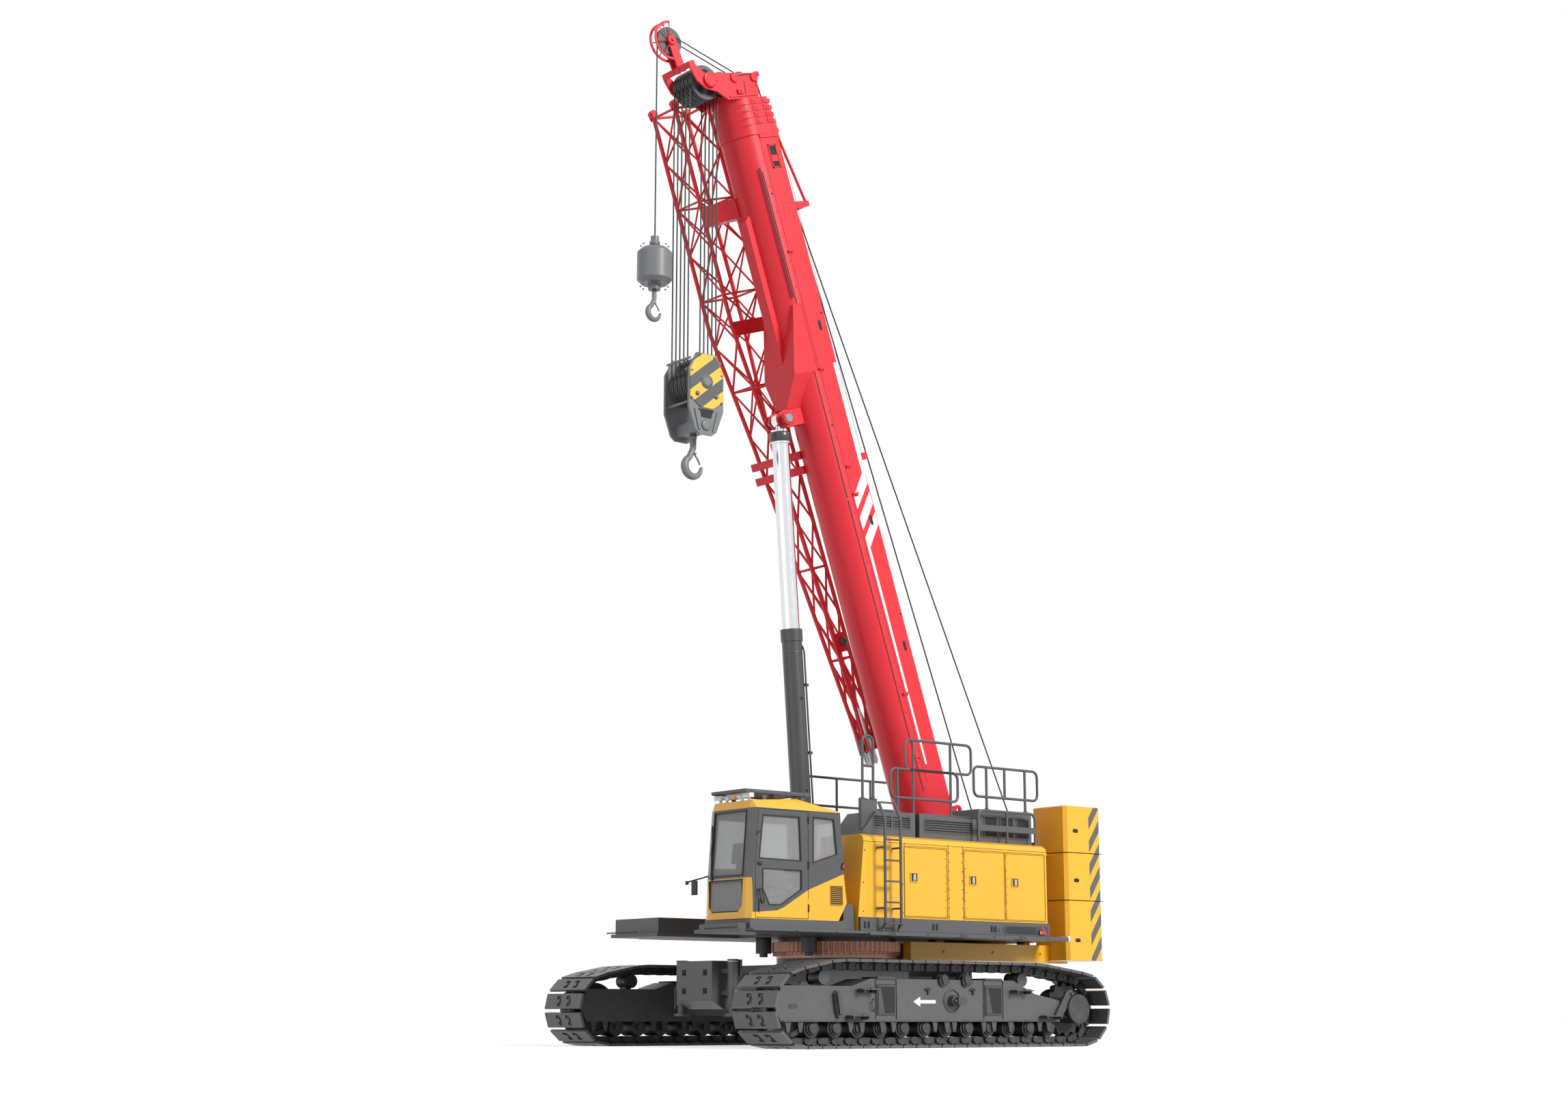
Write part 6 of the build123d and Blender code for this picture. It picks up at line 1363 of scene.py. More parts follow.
@dataclass
class Cab:
    """Seals, vent, lamps, mirror, wiper, handle and interior of the operator's cab."""

    side_y: float = 1.6
    door: Sequence[Flat] = ((1.88, 1.72), (2.79, 1.72), (2.79, 2.50), (2.74, 3.165), (1.88, 3.165))
    door_upper: Sequence[Flat] = ((1.993, 2.483), (2.74, 2.496), (2.675, 3.095), (2.022, 3.095))
    door_lower: Sequence[Flat] = ((1.985, 2.373), (1.985, 2.103), (2.353, 1.885), (2.56, 1.878), (2.678, 2.101),
                                  (2.678, 2.373))
    rear_side: Sequence[Flat] = ((1.349, 2.604), (1.796, 2.468), (1.794, 3.109), (1.408, 3.095))
    inner_side: Sequence[Flat] = ((1.40, 2.395), (2.75, 2.395), (2.68, 3.085), (1.42, 3.085))
    seat_mid: float = 1.10
    floor: float = 1.7453

    def build(self, kit: Kit) -> None:
        """Makes everything that is fixed to the cab, and the door's own trim."""
        self.shell_trim(kit)
        self.door_trim(kit)
        self.vent(kit)
        self.front(kit)
        self.roof(kit)
        self.interior(kit)

    @staticmethod
    def front_x(z: float) -> float:
        """X of the cab's front at a height: the windscreen leans back, the foot screen leans in."""
        waist, back_lean, foot_lean = 2.24, 0.075 / 0.967, 0.022 / 0.54
        return 2.882 - back_lean * (z - waist) if z > waist else 2.888 - foot_lean * (waist - z)

    def shell_trim(self, kit: Kit) -> None:
        """Seals round the fixed panes and the door's seam."""
        maker = Maker()
        frame_plates(maker, self.rear_side, 0.016, 1.588, self.side_y + 0.006)
        frame_plates(maker, self.inner_side, 0.016, 0.594, 0.612)
        frame_plates(maker, inner(self.door, -0.008), 0.007, 1.575, self.side_y + 0.003)
        y1, width, sunk = 1.43, 0.018, 0.012
        for low, high, y0 in ((2.27, 3.155, 0.714), (1.79, 2.227, 0.689)):
            for a, b in (((y0, low), (y1, low + width)), ((y0, high - width), (y1, high)),
                         ((y0, low), (y0 + width, high)), ((y1 - width, low), (y1, high))):
                x0, x1 = self.front_x(a[1]) - sunk, self.front_x(b[1]) - sunk
                maker.prism([(x0, a[0], a[1]), (x0, b[0], a[1]), (x1, b[0], b[1]), (x1, a[0], b[1])], (width, 0, 0))
        kit.put(maker, "cab_seals", "superstructure", ("black_rubber",), "dark_grey", 0.002)

    def door_trim(self, kit: Kit) -> None:
        """Seals, handle, latch and hinges of the door."""
        maker = Maker()
        out = self.side_y + 0.006
        frame_plates(maker, self.door_upper, 0.016, 1.588, out)
        frame_plates(maker, self.door_lower, 0.016, 1.588, out)
        ring = [(x, self.side_y + 0.035, z) for x, z in oval(2.715, 2.0, 0.2, 0.05, math.radians(75))]
        maker.pipe(ring, 0.009, 8, True)
        for z in (1.93, 2.07):
            x = 2.715 + (z - 2.0) * 0.268
            maker.rod((x, self.side_y, z), (x, self.side_y + 0.034, z), 0.008, 8)
        maker.box((2.69, self.side_y, 2.405), (2.76, self.side_y + 0.014, 2.455))
        maker.box((2.70, self.side_y + 0.01, 2.42), (2.745, self.side_y + 0.03, 2.437))
        for z in (1.86, 2.44, 3.05):
            maker.rod((1.874, self.side_y + 0.008, z - 0.05), (1.874, self.side_y + 0.008, z + 0.05), 0.011, 10)
        kit.put(maker, "cab_door_trim", "cab_door", ("black_rubber",), "dark_grey", 0.002)

    def vent(self, kit: Kit) -> None:
        """Framed vent with slats behind the door, and the small oval lamp over it."""
        maker = Maker()
        x0, x1, z0, z1 = 1.249, 1.496, 1.894, 2.191
        low, high = self.side_y - 0.003, self.side_y + 0.006
        outline = [(x0 + 0.02, z0), (x1, z0), (x1, z1), (x0, z1), (x0 - 0.005, z0 + 0.03)]
        frame_plates(maker, outline, 0.014, low, high)
        # Near-black plate behind the slats: painted shade inside the vent. The lamp's oval surround uses the same
        # near-black finish.
        maker.mark = 1
        maker.side_plate(inner(outline, 0.016), low, self.side_y + 0.0015)
        maker.side_plate(oval(1.25, 2.45, 0.1, 0.055, math.radians(-78)), low, self.side_y + 0.016)
        maker.mark = 2
        maker.side_plate(oval(1.25, 2.45, 0.066, 0.03, math.radians(-78)), low, self.side_y + 0.02)
        kit.put(maker, "cab_vent_frame", "superstructure", ("yellow_paint", "dark_hole", "lamp_red"), "yellow", 0.002)
        slat = Maker()
        slat.prism([(-0.1, 0, -0.008), (-0.1, 0.0, 0.004), (-0.1, 0.008, -0.004)], (0.2, 0, 0))
        places = [((1.372, self.side_y, 1.925 + 0.0265 * k), STRAIGHT) for k in range(10)]
        kit.copies(slat, "cab_vent_slats", "superstructure", places, "yellow_paint", "yellow")

    def front(self, kit: Kit) -> None:
        """Wiper, mirror on its arm and the seams of the front."""
        maker = Maker()
        maker.pipe([(2.89, 0.76, 2.255), (2.9, 0.755, 2.6), (2.862, 0.75, 2.95)], [0.008, 0.007, 0.006], 8)
        maker.box((2.872, 0.745, 2.45), (2.886, 0.76, 2.98))
        maker.lathe((2.87, 0.76, 2.25), (2.9, 0.76, 2.25), [(0, 0.02), (0.028, 0.02)], 12)
        maker.pipe([(2.83, 0.6, 2.3), (2.87, 0.45, 2.27), (2.9, 0.3, 2.245), (2.9, 0.2, 2.226)], 0.011, 8)
        maker.box((2.885, 0.19, 2.2), (2.915, 0.23, 2.25))
        maker.box((2.895, 0.33, 2.05), (2.915, 0.45, 2.245))
        maker.pipe([(2.72, 1.6, 2.86), (2.78, 1.64, 2.84), (2.83, 1.65, 2.8)], 0.009, 8)
        maker.mark = 1
        maker.box((2.888, 0.34, 2.06), (2.8955, 0.44, 2.235))
        kit.put(maker, "cab_mirror_and_wiper", "superstructure", ("black_rubber", "mirror_metal"), "dark_grey", 0.003)

    def roof(self, kit: Kit) -> None:
        """Ribs and fringe of the roof guard, and the lenses of lamps and beacon bar."""
        rib = Maker()
        rib.box((-0.008, -0.36, 0), (0.008, 0.36, 0.02))
        places = [((1.80 + 0.0515 * k, 1.13, 3.407), STRAIGHT) for k in range(21)]
        kit.copies(rib, "guard_ribs", "superstructure", places, "grey_paint", "dark_grey")
        maker = Maker()
        maker.mark = 3
        maker.box((1.77, 0.755, 3.386), (2.89, 0.775, 3.405))
        maker.box((1.77, 1.485, 3.386), (2.89, 1.505, 3.405))
        for x in (1.87, 2.2, 2.54, 2.8):
            bolt(maker, (x, 1.51, 3.417), (0, 1, 0), 0.009)
        maker.mark = 0
        for y in (0.79, 1.425):
            maker.box((2.818, y - 0.064, 3.318), (2.829, y + 0.064, 3.372))
        for mark, y0, y1 in ((0, 0.935, 0.995), (1, 0.995, 1.06), (2, 1.06, 1.12), (4, 1.12, 1.185), (0, 1.185, 1.265)):
            maker.mark = mark
            maker.lathe((2.765, y0, 3.35), (2.765, y1, 3.35), [(0, 0.034), (0.006, 0.0375), (y1 - y0 - 0.006, 0.0375),
                                                              (y1 - y0, 0.034)], 16)
        kit.put(maker, "cab_roof_fittings", "superstructure",
                ("lamp_white", "lamp_blue", "yellow_paint", "grey_paint", "lamp_amber"), "lamp_amber", 0.002)

    def interior(self, kit: Kit) -> None:
        """Seat with cushions, consoles, levers, a control stand and a monitor."""
        y, z = self.seat_mid, self.floor
        frame_part = Maker()
        frame_part.box((1.64, y - 0.17, z), (1.98, y + 0.17, z + 0.03))
        for k in range(6):
            size = 0.16 - 0.006 * (k % 2)
            frame_part.box((1.64, y - size, z + 0.04 + 0.055 * k), (1.98, y + size, z + 0.085 + 0.055 * k))
        frame_part.box((1.62, y - 0.2, z + 0.365), (2.02, y + 0.2, z + 0.395))
        for side in (1, -1):
            near, far = y + side * 0.25, y + side * 0.35
            frame_part.side_plate([(1.66, z + 0.56), (2.08, z + 0.575), (2.12, z + 0.62), (2.08, z + 0.65),
                                   (1.68, z + 0.65), (1.66, z + 0.62)], near, far)
            near, far = y + side * 0.21, y + side * 0.33
            frame_part.side_plate([(1.71, z + 0.4), (1.9, z + 0.4), (1.87, z + 0.56), (1.74, z + 0.56)], near, far)
            stick = y + side * 0.3
            frame_part.pipe([(2.05, stick, z + 0.64), (2.06, stick, z + 0.7), (2.055, stick, z + 0.78)],
                            [0.012, 0.018, 0.022], 10)
        frame_part.box((2.48, y - 0.15, z), (2.58, y + 0.15, z + 0.5))
        frame_part.side_plate([(2.45, z + 0.5), (2.6, z + 0.5), (2.57, z + 0.79), (2.47, z + 0.79)], y - 0.2, y + 0.2)
        frame_part.side_plate([(2.56, z + 0.72), (2.59, z + 0.72), (2.55, z + 1.0), (2.52, z + 1.0)], y - 0.3, y - 0.09)
        frame_part.pipe([(2.5, y + 0.16, z + 0.1), (2.48, y + 0.22, z + 0.5), (2.44, y + 0.24, z + 0.75)], 0.012, 8)
        frame_part.mark = 1
        frame_part.side_plate([(2.455, z + 0.54), (2.463, z + 0.54), (2.472, z + 0.77), (2.464, z + 0.77)],
                              y - 0.17, y + 0.17)
        frame_part.mark = 2
        frame_part.pipe([(2.06, y + 0.24, z + 0.66), (2.06, y + 0.24, z + 0.78)], [0.014, 0.02], 10)
        kit.put(frame_part, "cab_seat_frame", "superstructure", ("seat_cloth", "lamp_white", "lamp_red"), "seat_black",
                0.006, ("cab_seat",))
        self.cushion(kit, "seat_cushion", [(1.62, z + 0.4), (2.1, z + 0.41), (2.12, z + 0.46), (2.08, z + 0.53),
                                           (1.9, z + 0.515), (1.64, z + 0.52)], 0.235)
        self.cushion(kit, "seat_back", [(1.575, z + 0.45), (1.66, z + 0.5), (1.64, z + 0.8), (1.6, z + 1.15),
                                        (1.53, z + 1.16), (1.505, z + 0.9)], 0.225)
        self.cushion(kit, "seat_head_rest", [(1.525, z + 1.18), (1.6, z + 1.19), (1.595, z + 1.33), (1.56, z + 1.355),
                                             (1.53, z + 1.34)], 0.125)

    def cushion(self, kit: Kit, name: str, outline: Sequence[Flat], half: float) -> None:
        """A padded seat part with rounded, drawn-in sides and a sewn middle panel.

        Args:
            kit: The finishes.
            name: Name of the piece.
            outline: Its middle section in X and Z.
            half: Its half width.
        """
        maker = Maker()
        rings = ((-1.0, 0.035), (-0.93, 0.01), (-0.62, 0.0), (-0.58, 0.007), (-0.54, 0.001), (0.0, -0.004),
                 (0.54, 0.001), (0.58, 0.007), (0.62, 0.0), (0.93, 0.01), (1.0, 0.035))
        points, faces, count = [], [], len(outline)
        for share, pull in rings:
            points += [(x, self.seat_mid + share * half, z) for x, z in inner(outline, pull)]
        for ring in range(len(rings) - 1):
            for k in range(count):
                a, b = ring * count + k, ring * count + (k + 1) % count
                faces.append((a, b, b + count, a + count))
        faces += [tuple(reversed(range(count))), tuple(range((len(rings) - 1) * count, len(rings) * count))]
        maker.add(points, faces, True)
        piece = maker.object(name, kit.finishes["seat_cloth"])
        smooth = piece.modifiers.new("smooth", "SUBSURF")
        smooth.levels = smooth.render_levels = 2
        kit.ride(piece, "superstructure", "seat_black")


# ------------------------------------------------------------------ engine side
@dataclass
class EngineSide:
    """Seams, latches, hinges, louvres and bolts of the hood, and the long skirt under it."""

    face_y: float = 1.555
    doors: Sequence[tuple[str, float, float, float]] = (
        ("front", 0.08, -0.775, -0.116), ("middle", -1.09, -1.93, -1.275), ("rear", -1.93, -2.77, -2.134))
    short_vents: Points = ((0.08, 0.401, 3.059, 3.218), (-0.279, 0.02, 3.059, 3.218))
    long_vent: Sequence[float] = (-1.526, -0.572, 3.035, 3.21)
    covers_x: Sequence[float] = (-2.6, -2.26, -1.92)

    def build(self, kit: Kit) -> None:
        """Makes the hood's trim, each door's trim and the louvres."""
        self.hood_trim(kit)
        for name, front, rear, latch_x in self.doors:
            self.door_trim(kit, name, front, rear, latch_x)
        self.louvres(kit)
        self.skirt(kit)
        self.far_side(kit)

    def hood_trim(self, kit: Kit) -> None:
        """Bolted panel between the doors, rain strip along the top bend and the front's framed panel."""
        maker = Maker()
        out = self.face_y
        for x in (0.1, 0.84):
            for z in (1.85, 2.25, 2.7):
                bolt(maker, (x - 0.03 * (z > 2.5), out, z), (0, 1, 0), 0.008)
        for x in (-0.8, -1.065):
            for k in range(8):
                bolt(maker, (x, out, 1.82 + 0.13 * k), (0, 1, 0), 0.007)
        for x in (0.06, -0.79, -1.082):
            maker.box((x - 0.004, out - 0.002, 1.60), (x + 0.004, out + 0.0015, 2.84))
        maker.box((-2.795, out - 0.002, 2.823), (0.83, out + 0.002, 2.828))
        for x in (0.816, -0.476, -1.634):
            for dx in (-0.035, 0.035):
                maker.side_plate([(x + dx - 0.016, 1.62), (x + dx + 0.016, 1.62), (x + dx + 0.016, 1.7),
                                  (x + dx, 1.715), (x + dx - 0.016, 1.7)], 1.6, 1.612)
        maker.mark = 1
        for z0, z1 in ((2.02, 2.42), (2.46, 2.74)):
            frame_plates(maker, rectangle(0.66, 1.0, z0, z1), 0.012, 0.9, 0.9005, True)
        kit.put(maker, "hood_trim", "superstructure", ("black_rubber", "yellow_paint"), "yellow")
        lamp = Maker()
        lamp.box((-2.66, 1.6, 1.6), (-2.56, 1.622, 1.66))
        lamp.mark = 1
        lamp.box((-2.652, 1.62, 1.606), (-2.612, 1.63, 1.654))
        lamp.mark = 2
        lamp.box((-2.608, 1.62, 1.606), (-2.568, 1.63, 1.654))
        kit.put(lamp, "tail_lamp", "superstructure", ("black_rubber", "lamp_red", "lamp_amber"), "lamp_amber", 0.003)

    def door_trim(self, kit: Kit, name: str, front: float, rear: float, latch_x: float) -> None:
        """Latch, hinges and bolts of one hood door.

        Args:
            kit: The finishes.
            name: Which door.
            front: Its front edge.
            rear: Its rear edge.
            latch_x: Middle of its latch.
        """
        maker = Maker()
        out = 1.561
        z = 2.353
        hinge = rear if name == "front" else front
        inwards = 1 if name == "front" else -1
        frame_plates(maker, rectangle(latch_x - 0.07, latch_x + 0.07, z - 0.07, z + 0.07), 0.014,
                     out - 0.002, out + 0.008)
        for k in range(9):
            bolt(maker, (hinge + inwards * 0.045, out, 1.83 + 0.115 * k), (0, 1, 0), 0.006)
        maker.mark = 3
        maker.side_plate(rectangle(latch_x - 0.057, latch_x + 0.057, z - 0.057, z + 0.057), out - 0.002, out + 0.0025)
        maker.mark = 1
        maker.side_plate(rectangle(latch_x - 0.036, latch_x + 0.01, z - 0.046, z + 0.046), out - 0.002, out + 0.004)
        maker.side_plate(rectangle(latch_x - 0.02, latch_x + 0.022, z - 0.028, z - 0.016), out, out + 0.009)
        # Darker yellow band round the door: painted shade in its gap.
        maker.mark = 2
        frame_plates(maker, rectangle(front - 0.012, rear + 0.012, 1.805, 2.775), 0.006, out - 0.002, out + 0.0005)
        kit.put(maker, f"hood_{name}_trim", f"hood_door_{name}",
                ("yellow_paint", "silver_paint", "yellow_seam", "plate_dark"), "yellow", 0.002)

    def louvres(self, kit: Kit) -> None:
        """Slats in the recesses of the roof housing, its seams and hatch handles."""
        slat = Maker()
        slat.prism([(-0.155, 0, -0.006), (-0.155, 0.0, 0.007), (-0.155, 0.018, -0.006)], (0.31, 0, 0))
        places = []
        for x0, x1, z0, _ in self.short_vents:
            places += [(((x0 + x1) / 2, 1.276, z0 + 0.012 + 0.0195 * k), STRAIGHT) for k in range(8)]
        kit.copies(slat, "louvre_slats", "superstructure", places, "grey_paint", "dark_grey")
        mesh_bar = Maker()
        mesh_bar.box((-0.475, -0.002, -0.003), (0.475, 0.003, 0.003))
        kit.copies(mesh_bar, "louvre_long_slats", "superstructure",
                   [((-1.049, 1.279, 3.043 + 0.0145 * k), STRAIGHT) for k in range(12)], "grey_paint", "dark_grey")
        maker = Maker()
        y = 1.3
        for x0, x1, z0, z1 in (*self.short_vents, self.long_vent):
            frame_plates(maker, rectangle(x0 - 0.014, x1 + 0.014, z0 - 0.014, z1 + 0.014), 0.014, y - 0.002, y + 0.006)
            for x in (x0 + 0.02, x1 - 0.02):
                bolt(maker, (x, y, z1 + 0.03), (0, 1, 0), 0.006)
        for x in self.covers_x:
            frame_plates(maker, rectangle(x - 0.14, x + 0.14, 3.02, 3.34), 0.02, 1.279, 1.288)
        maker.box((-2.74, 0.72, 3.42), (-1.71, 1.24, 3.436))
        maker.box((-1.6, 0.7, 3.285), (-0.49, 1.28, 3.302))
        # Near-black plates inside the cover frames: painted shade in the recesses.
        maker.mark = 1
        for x in self.covers_x:
            maker.side_plate(rectangle(x - 0.12, x + 0.12, 3.04, 3.32), 1.279, 1.2815)
        kit.put(maker, "louvre_frames", "superstructure", ("grey_paint", "dark_hole"), "dark_grey", 0.002)
        grip = []
        for x in (-2.43, -2.09):
            grip.append([(x, 1.285, 3.1), (x, 1.32, 3.1), (x, 1.32, 3.2), (x, 1.285, 3.2)])
        kit.tubes("louvre_grips", "superstructure", grip, 0.007, 0.012, "rail_paint", "rail_grey", 8)

    def skirt(self, kit: Kit) -> None:
        """Dark rear strip with a blank plate and its corner stripes, and the seams of the decks."""
        maker = Maker()
        y = 1.6
        maker.box((-2.79, y, 1.575), (0.9, y + 0.003, 1.585))
        maker.side_plate([(-2.76, 1.60), (-1.86, 1.60), (-1.80, 1.68), (-1.86, 1.72), (-2.76, 1.72)],
                         y - 0.002, y + 0.0025)
        maker.mark = 1
        maker.side_plate([(-2.5, 1.612), (-1.93, 1.612), (-1.885, 1.66), (-1.92, 1.706), (-2.5, 1.706)], y, y + 0.0045)
        maker.mark = 2
        maker.side_plate([(-2.74, 1.60), (-2.70, 1.60), (-2.62, 1.72), (-2.66, 1.72)], y, y + 0.0045)
        maker.mark = 0
        for k in range(3):
            x = -1.78 + 0.05 * k
            maker.side_plate([(x, 1.62), (x + 0.022, 1.62), (x + 0.062, 1.68), (x + 0.04, 1.68)], y - 0.002, y + 0.002)
        kit.put(maker, "skirt_plate", "superstructure", ("plate_grey", "plate_dark", "lamp_red"), "dark_grey")
        edges = Maker()
        for x in (0.475, -0.878, -2.073):
            edges.box((x - 0.006, 1.56, 1.512), (x + 0.006, 1.752, 1.573))
            for dx in (-0.05, 0.05):
                bolt(edges, (x + dx, 1.75, 1.545), (0, 1, 0), 0.009)
        for x in (2.9, 2.2, 1.5, 0.9, -0.2, -1.5, -2.6):
            bolt(edges, (x, 1.75 if x < 2.9 else 1.6, 1.545), (0, 1, 0), 0.009)
        for y0, y1 in ((0.8, 1.5), (-1.5, -0.8)):
            edges.box((3.03, y0, 1.572), (3.045, y1, 1.59))
        kit.put(edges, "deck_edges", "superstructure", ("black_rubber",), "dark_grey")
        tread = Maker()
        tread.prism([(-0.016, -0.004, 0), (0.0, -0.006, 0), (0.016, -0.004, 0), (0.016, 0.004, 0), (0.0, 0.006, 0),
                     (-0.016, 0.004, 0)], (0, 0, 0.003))
        places = [((-2.75 + 0.055 * k, 1.64 + 0.06 * row, 1.569),
                   Matrix.Rotation(math.radians(45 if (k + row) % 2 else -45), 3, "Z"))
                  for row in range(2) for k in range(66)]
        kit.copies(tread, "deck_tread", "superstructure", places, "grey_paint", "dark_grey")

    def far_side(self, kit: Kit) -> None:
        """Seams, handles and lock plates of the housing on the right, and the frame's hoses."""
        maker = Maker()
        y = -1.555
        for x in (0.2, -0.75, -1.7):
            maker.box((x - 0.004, y - 0.0015, 1.6), (x + 0.004, y + 0.002, 2.58))
        for x in (0.06, -0.9, -1.85):
            frame_plates(maker, rectangle(x - 0.05, x + 0.05, 2.1, 2.22), 0.014, y - 0.008, y + 0.002)
        maker.mark = 1
        for x in (0.06, -0.9, -1.85):
            maker.side_plate(rectangle(x - 0.036, x + 0.036, 2.114, 2.206), y - 0.003, y + 0.002)
        maker.mark = 2
        for k in range(9):
            z = 1.8 + 0.055 * k
            maker.box((-2.6, y - 0.006, z), (-2.0, y + 0.002, z + 0.02))
        kit.put(maker, "right_housing_trim", "superstructure", ("black_rubber", "silver_paint", "grey_paint"), "yellow",
                0.002)


# ------------------------------------------------------------------ rails and ladder
@dataclass
class Rails:
    """Tubular rails on the housings, the access hoop and the boarding ladder."""

    radius: float = 0.02
    bend: float = 0.09
    left_y: float = 1.22
    right_y: float = -1.5
    hoop_y: float = 1.42
    low_top: float = 3.931
    high_top: float = 4.365
    ladder_x: tuple[float, float] = (0.287, 0.583)
    rung_z: tuple[float, float] = (1.688, 3.14)
    rungs: int = 6

    def build(self, kit: Kit) -> None:
        """Makes the rails, their feet and the ladder."""
        y, mid, high = self.left_y, self.low_top, self.high_top
        loops = ((y, -1.649, -2.983, 3.627, 4.07), (self.right_y, -0.5, -2.75, 3.637, 4.08))
        paths: list[list[Point]] = [
            [(0.013, y, 3.514), (0.013, y, mid), (-1.319, y, mid), (-1.319, y, 3.514)],
            [(-1.597, y, mid), (-1.597, y, high), (-0.272, y, high), (-0.272, y, mid)],
        ]
        paths += [[(a, yy, low), (a, yy, top), (b, yy, top), (b, yy, low)] for yy, a, b, low, top in loops]
        closed = [0, 1, 2, 3]
        for x, low, top in ((-0.12, 3.295, mid), (-0.4295, 2.93, high), (-1.175, 3.28, high), (-1.911, 3.43, 4.07),
                            (-2.719, 3.43, 4.07), (-2.29, 3.627, 4.07)):
            paths.append([(x, y, low), (x, y, top)])
        for x, low in ((-1.295, 2.62), (-2.0, 2.70)):
            paths.append([(x, self.right_y, low), (x, self.right_y, 4.08)])
        side = self.hoop_y
        paths.append([(-1.538, side, 2.93), (-1.538, side, 3.398), (-2.714, side, 3.398), (-2.714, side, 2.93)])
        paths.append([(-2.126, side, 2.93), (-2.126, side, 3.398)])
        paths.append([(0.549, y, 3.455), (0.549, y, high), (0.345, y, high), (0.345, y, 3.455)])
        paths.append([(0.549, y, mid), (0.345, y, mid)])
        kit.tubes("handrails_tubes", "superstructure", paths, self.radius, self.bend, "rail_paint", "rail_grey", 14,
                  closed, ("handrails",))
        self.feet(kit, y)
        self.ladder(kit)

    def feet(self, kit: Kit, y: float) -> None:
        """Flanges, gussets and bolts where the posts stand, and the kick plate of the side hoop."""
        maker = Maker()
        for x, yy, z in ((-0.12, y, 3.295), (-0.4295, y, 2.93), (-1.175, y, 3.302), (-1.911, y, 3.436),
                         (-2.719, y, 3.436), (-1.295, self.right_y, 2.62), (-2.0, self.right_y, 2.70),
                         (-1.538, self.hoop_y, 2.93), (-2.714, self.hoop_y, 2.93), (-2.126, self.hoop_y, 2.93),
                         (0.549, y, 3.455), (0.345, y, 3.455)):
            maker.box((x - 0.045, yy - 0.035, z - 0.004), (x + 0.045, yy + 0.035, z + 0.008))
            for dx in (-0.034, 0.034):
                bolt(maker, (x + dx, yy, z + 0.008), (0, 0, 1), 0.007)
            maker.side_plate([(x + 0.015, z), (x + 0.04, z), (x + 0.019, z + 0.05)], yy - 0.003, yy + 0.003)
            maker.lathe((x, yy, z), (x, yy, z + 1), [(0, 0.026), (0.03, 0.026), (0.034, 0.021)], 14)
        maker.box((0.305, 1.19, 3.449), (0.595, 1.25, 3.4555))
        maker.box((-2.7, 1.426, 3.1), (-1.55, 1.432, 3.19))
        kit.put(maker, "rail_feet", "superstructure", ("rail_paint",), "rail_grey")

    def ladder(self, kit: Kit) -> None:
        """Boarding ladder with flattened, ribbed rungs and stays to the hood."""
        paths = []
        for x in self.ladder_x:
            paths.append([(x, 1.67, 1.575), (x, 1.67, 1.62), (x, 1.73, 1.7), (x, 1.73, 3.14), (x, 1.60, 3.378)])
        kit.tubes("ladder_rails", "superstructure", paths, 0.021, 0.05, "rail_paint", "rail_grey", 14, (), ("ladder",))
        cross = [[(x, 1.60, 3.378) for x in self.ladder_x]]
        for x in self.ladder_x:
            cross += [[(x, 1.73, z), (x, 1.5555, z)] for z in (1.9, 2.74)]
        kit.tubes("ladder_stays", "superstructure", cross, 0.014, 0.0, "rail_paint", "rail_grey", 10)
        rung = Maker()
        rung.box((-0.148, -0.03, -0.011), (0.148, 0.03, 0.008))
        for k in range(7):
            rung.box((-0.13 + 0.043 * k - 0.01, -0.025, 0.007), (-0.13 + 0.043 * k + 0.01, 0.025, 0.0115))
        low, high = self.rung_z
        places = [((sum(self.ladder_x) / 2, 1.725, low + (high - low) * k / (self.rungs - 1)), STRAIGHT)
                  for k in range(self.rungs)]
        kit.copies(rung, "ladder_rungs", "superstructure", places, "rail_paint", "rail_grey")


# ------------------------------------------------------------------ counterweight and winches
@dataclass
class Counterweight:
    """Seams, lifting eyes, pins and hooks of the stacked counterweight."""

    front_x: float = -3.40
    rear_x: float = -4.19
    inner_y: float = 0.67
    outer_y: float = 1.39
    levels: tuple[float, ...] = (1.25, 2.15, 2.87, 3.58)

    def build(self, kit: Kit) -> None:
        """Makes the fittings on both stacks."""
        maker = Maker()
        for sign in (1, -1):
            y = sign * self.outer_y
            for z in self.levels[1:-1]:
                # Near-black lines between the stacked blocks: painted shade in the joints.
                near, far = y, y + sign * 0.0015
                maker.mark = 1
                maker.side_plate(rectangle(self.rear_x, self.front_x, z - 0.005, z + 0.005), near, far)
                maker.box((self.front_x, sign * self.inner_y, z - 0.005), (self.front_x + 0.0015, y, z + 0.005))
                maker.mark = 0
            for x in (-3.58, -4.02):
                mid = sign * 1.03
                ear = [(x - 0.06, 3.51), (x + 0.06, 3.51), (x + 0.045, 3.572), (x, 3.579), (x - 0.045, 3.572)]
                maker.side_plate(ear, mid - 0.02, mid + 0.02)
            maker.box((self.front_x - 0.01, sign * 1.0 - 0.04, 2.83), (self.front_x + 0.09, sign * 1.0 + 0.04, 2.86))
            maker.box((self.front_x + 0.06, sign * 1.0 - 0.04, 2.86), (self.front_x + 0.09, sign * 1.0 + 0.04, 2.93))
            for z in (1.55, 2.45, 3.2):
                # Near-black ovals: painted shade in the lifting holes.
                maker.mark = 1
                maker.side_plate(oval(-3.62, z, 0.12, 0.06), y, y + sign * 0.0015)
                maker.mark = 0
        for x in (-1.2, -2.2, -3.2):
            for sign in (1, -1):
                bolt(maker, (x, sign * 1.0, 1.35), (0, sign, 0), 0.02)
        kit.put(maker, "counterweight_fittings", "superstructure", ("yellow_paint", "dark_hole"), "yellow", 0.003)


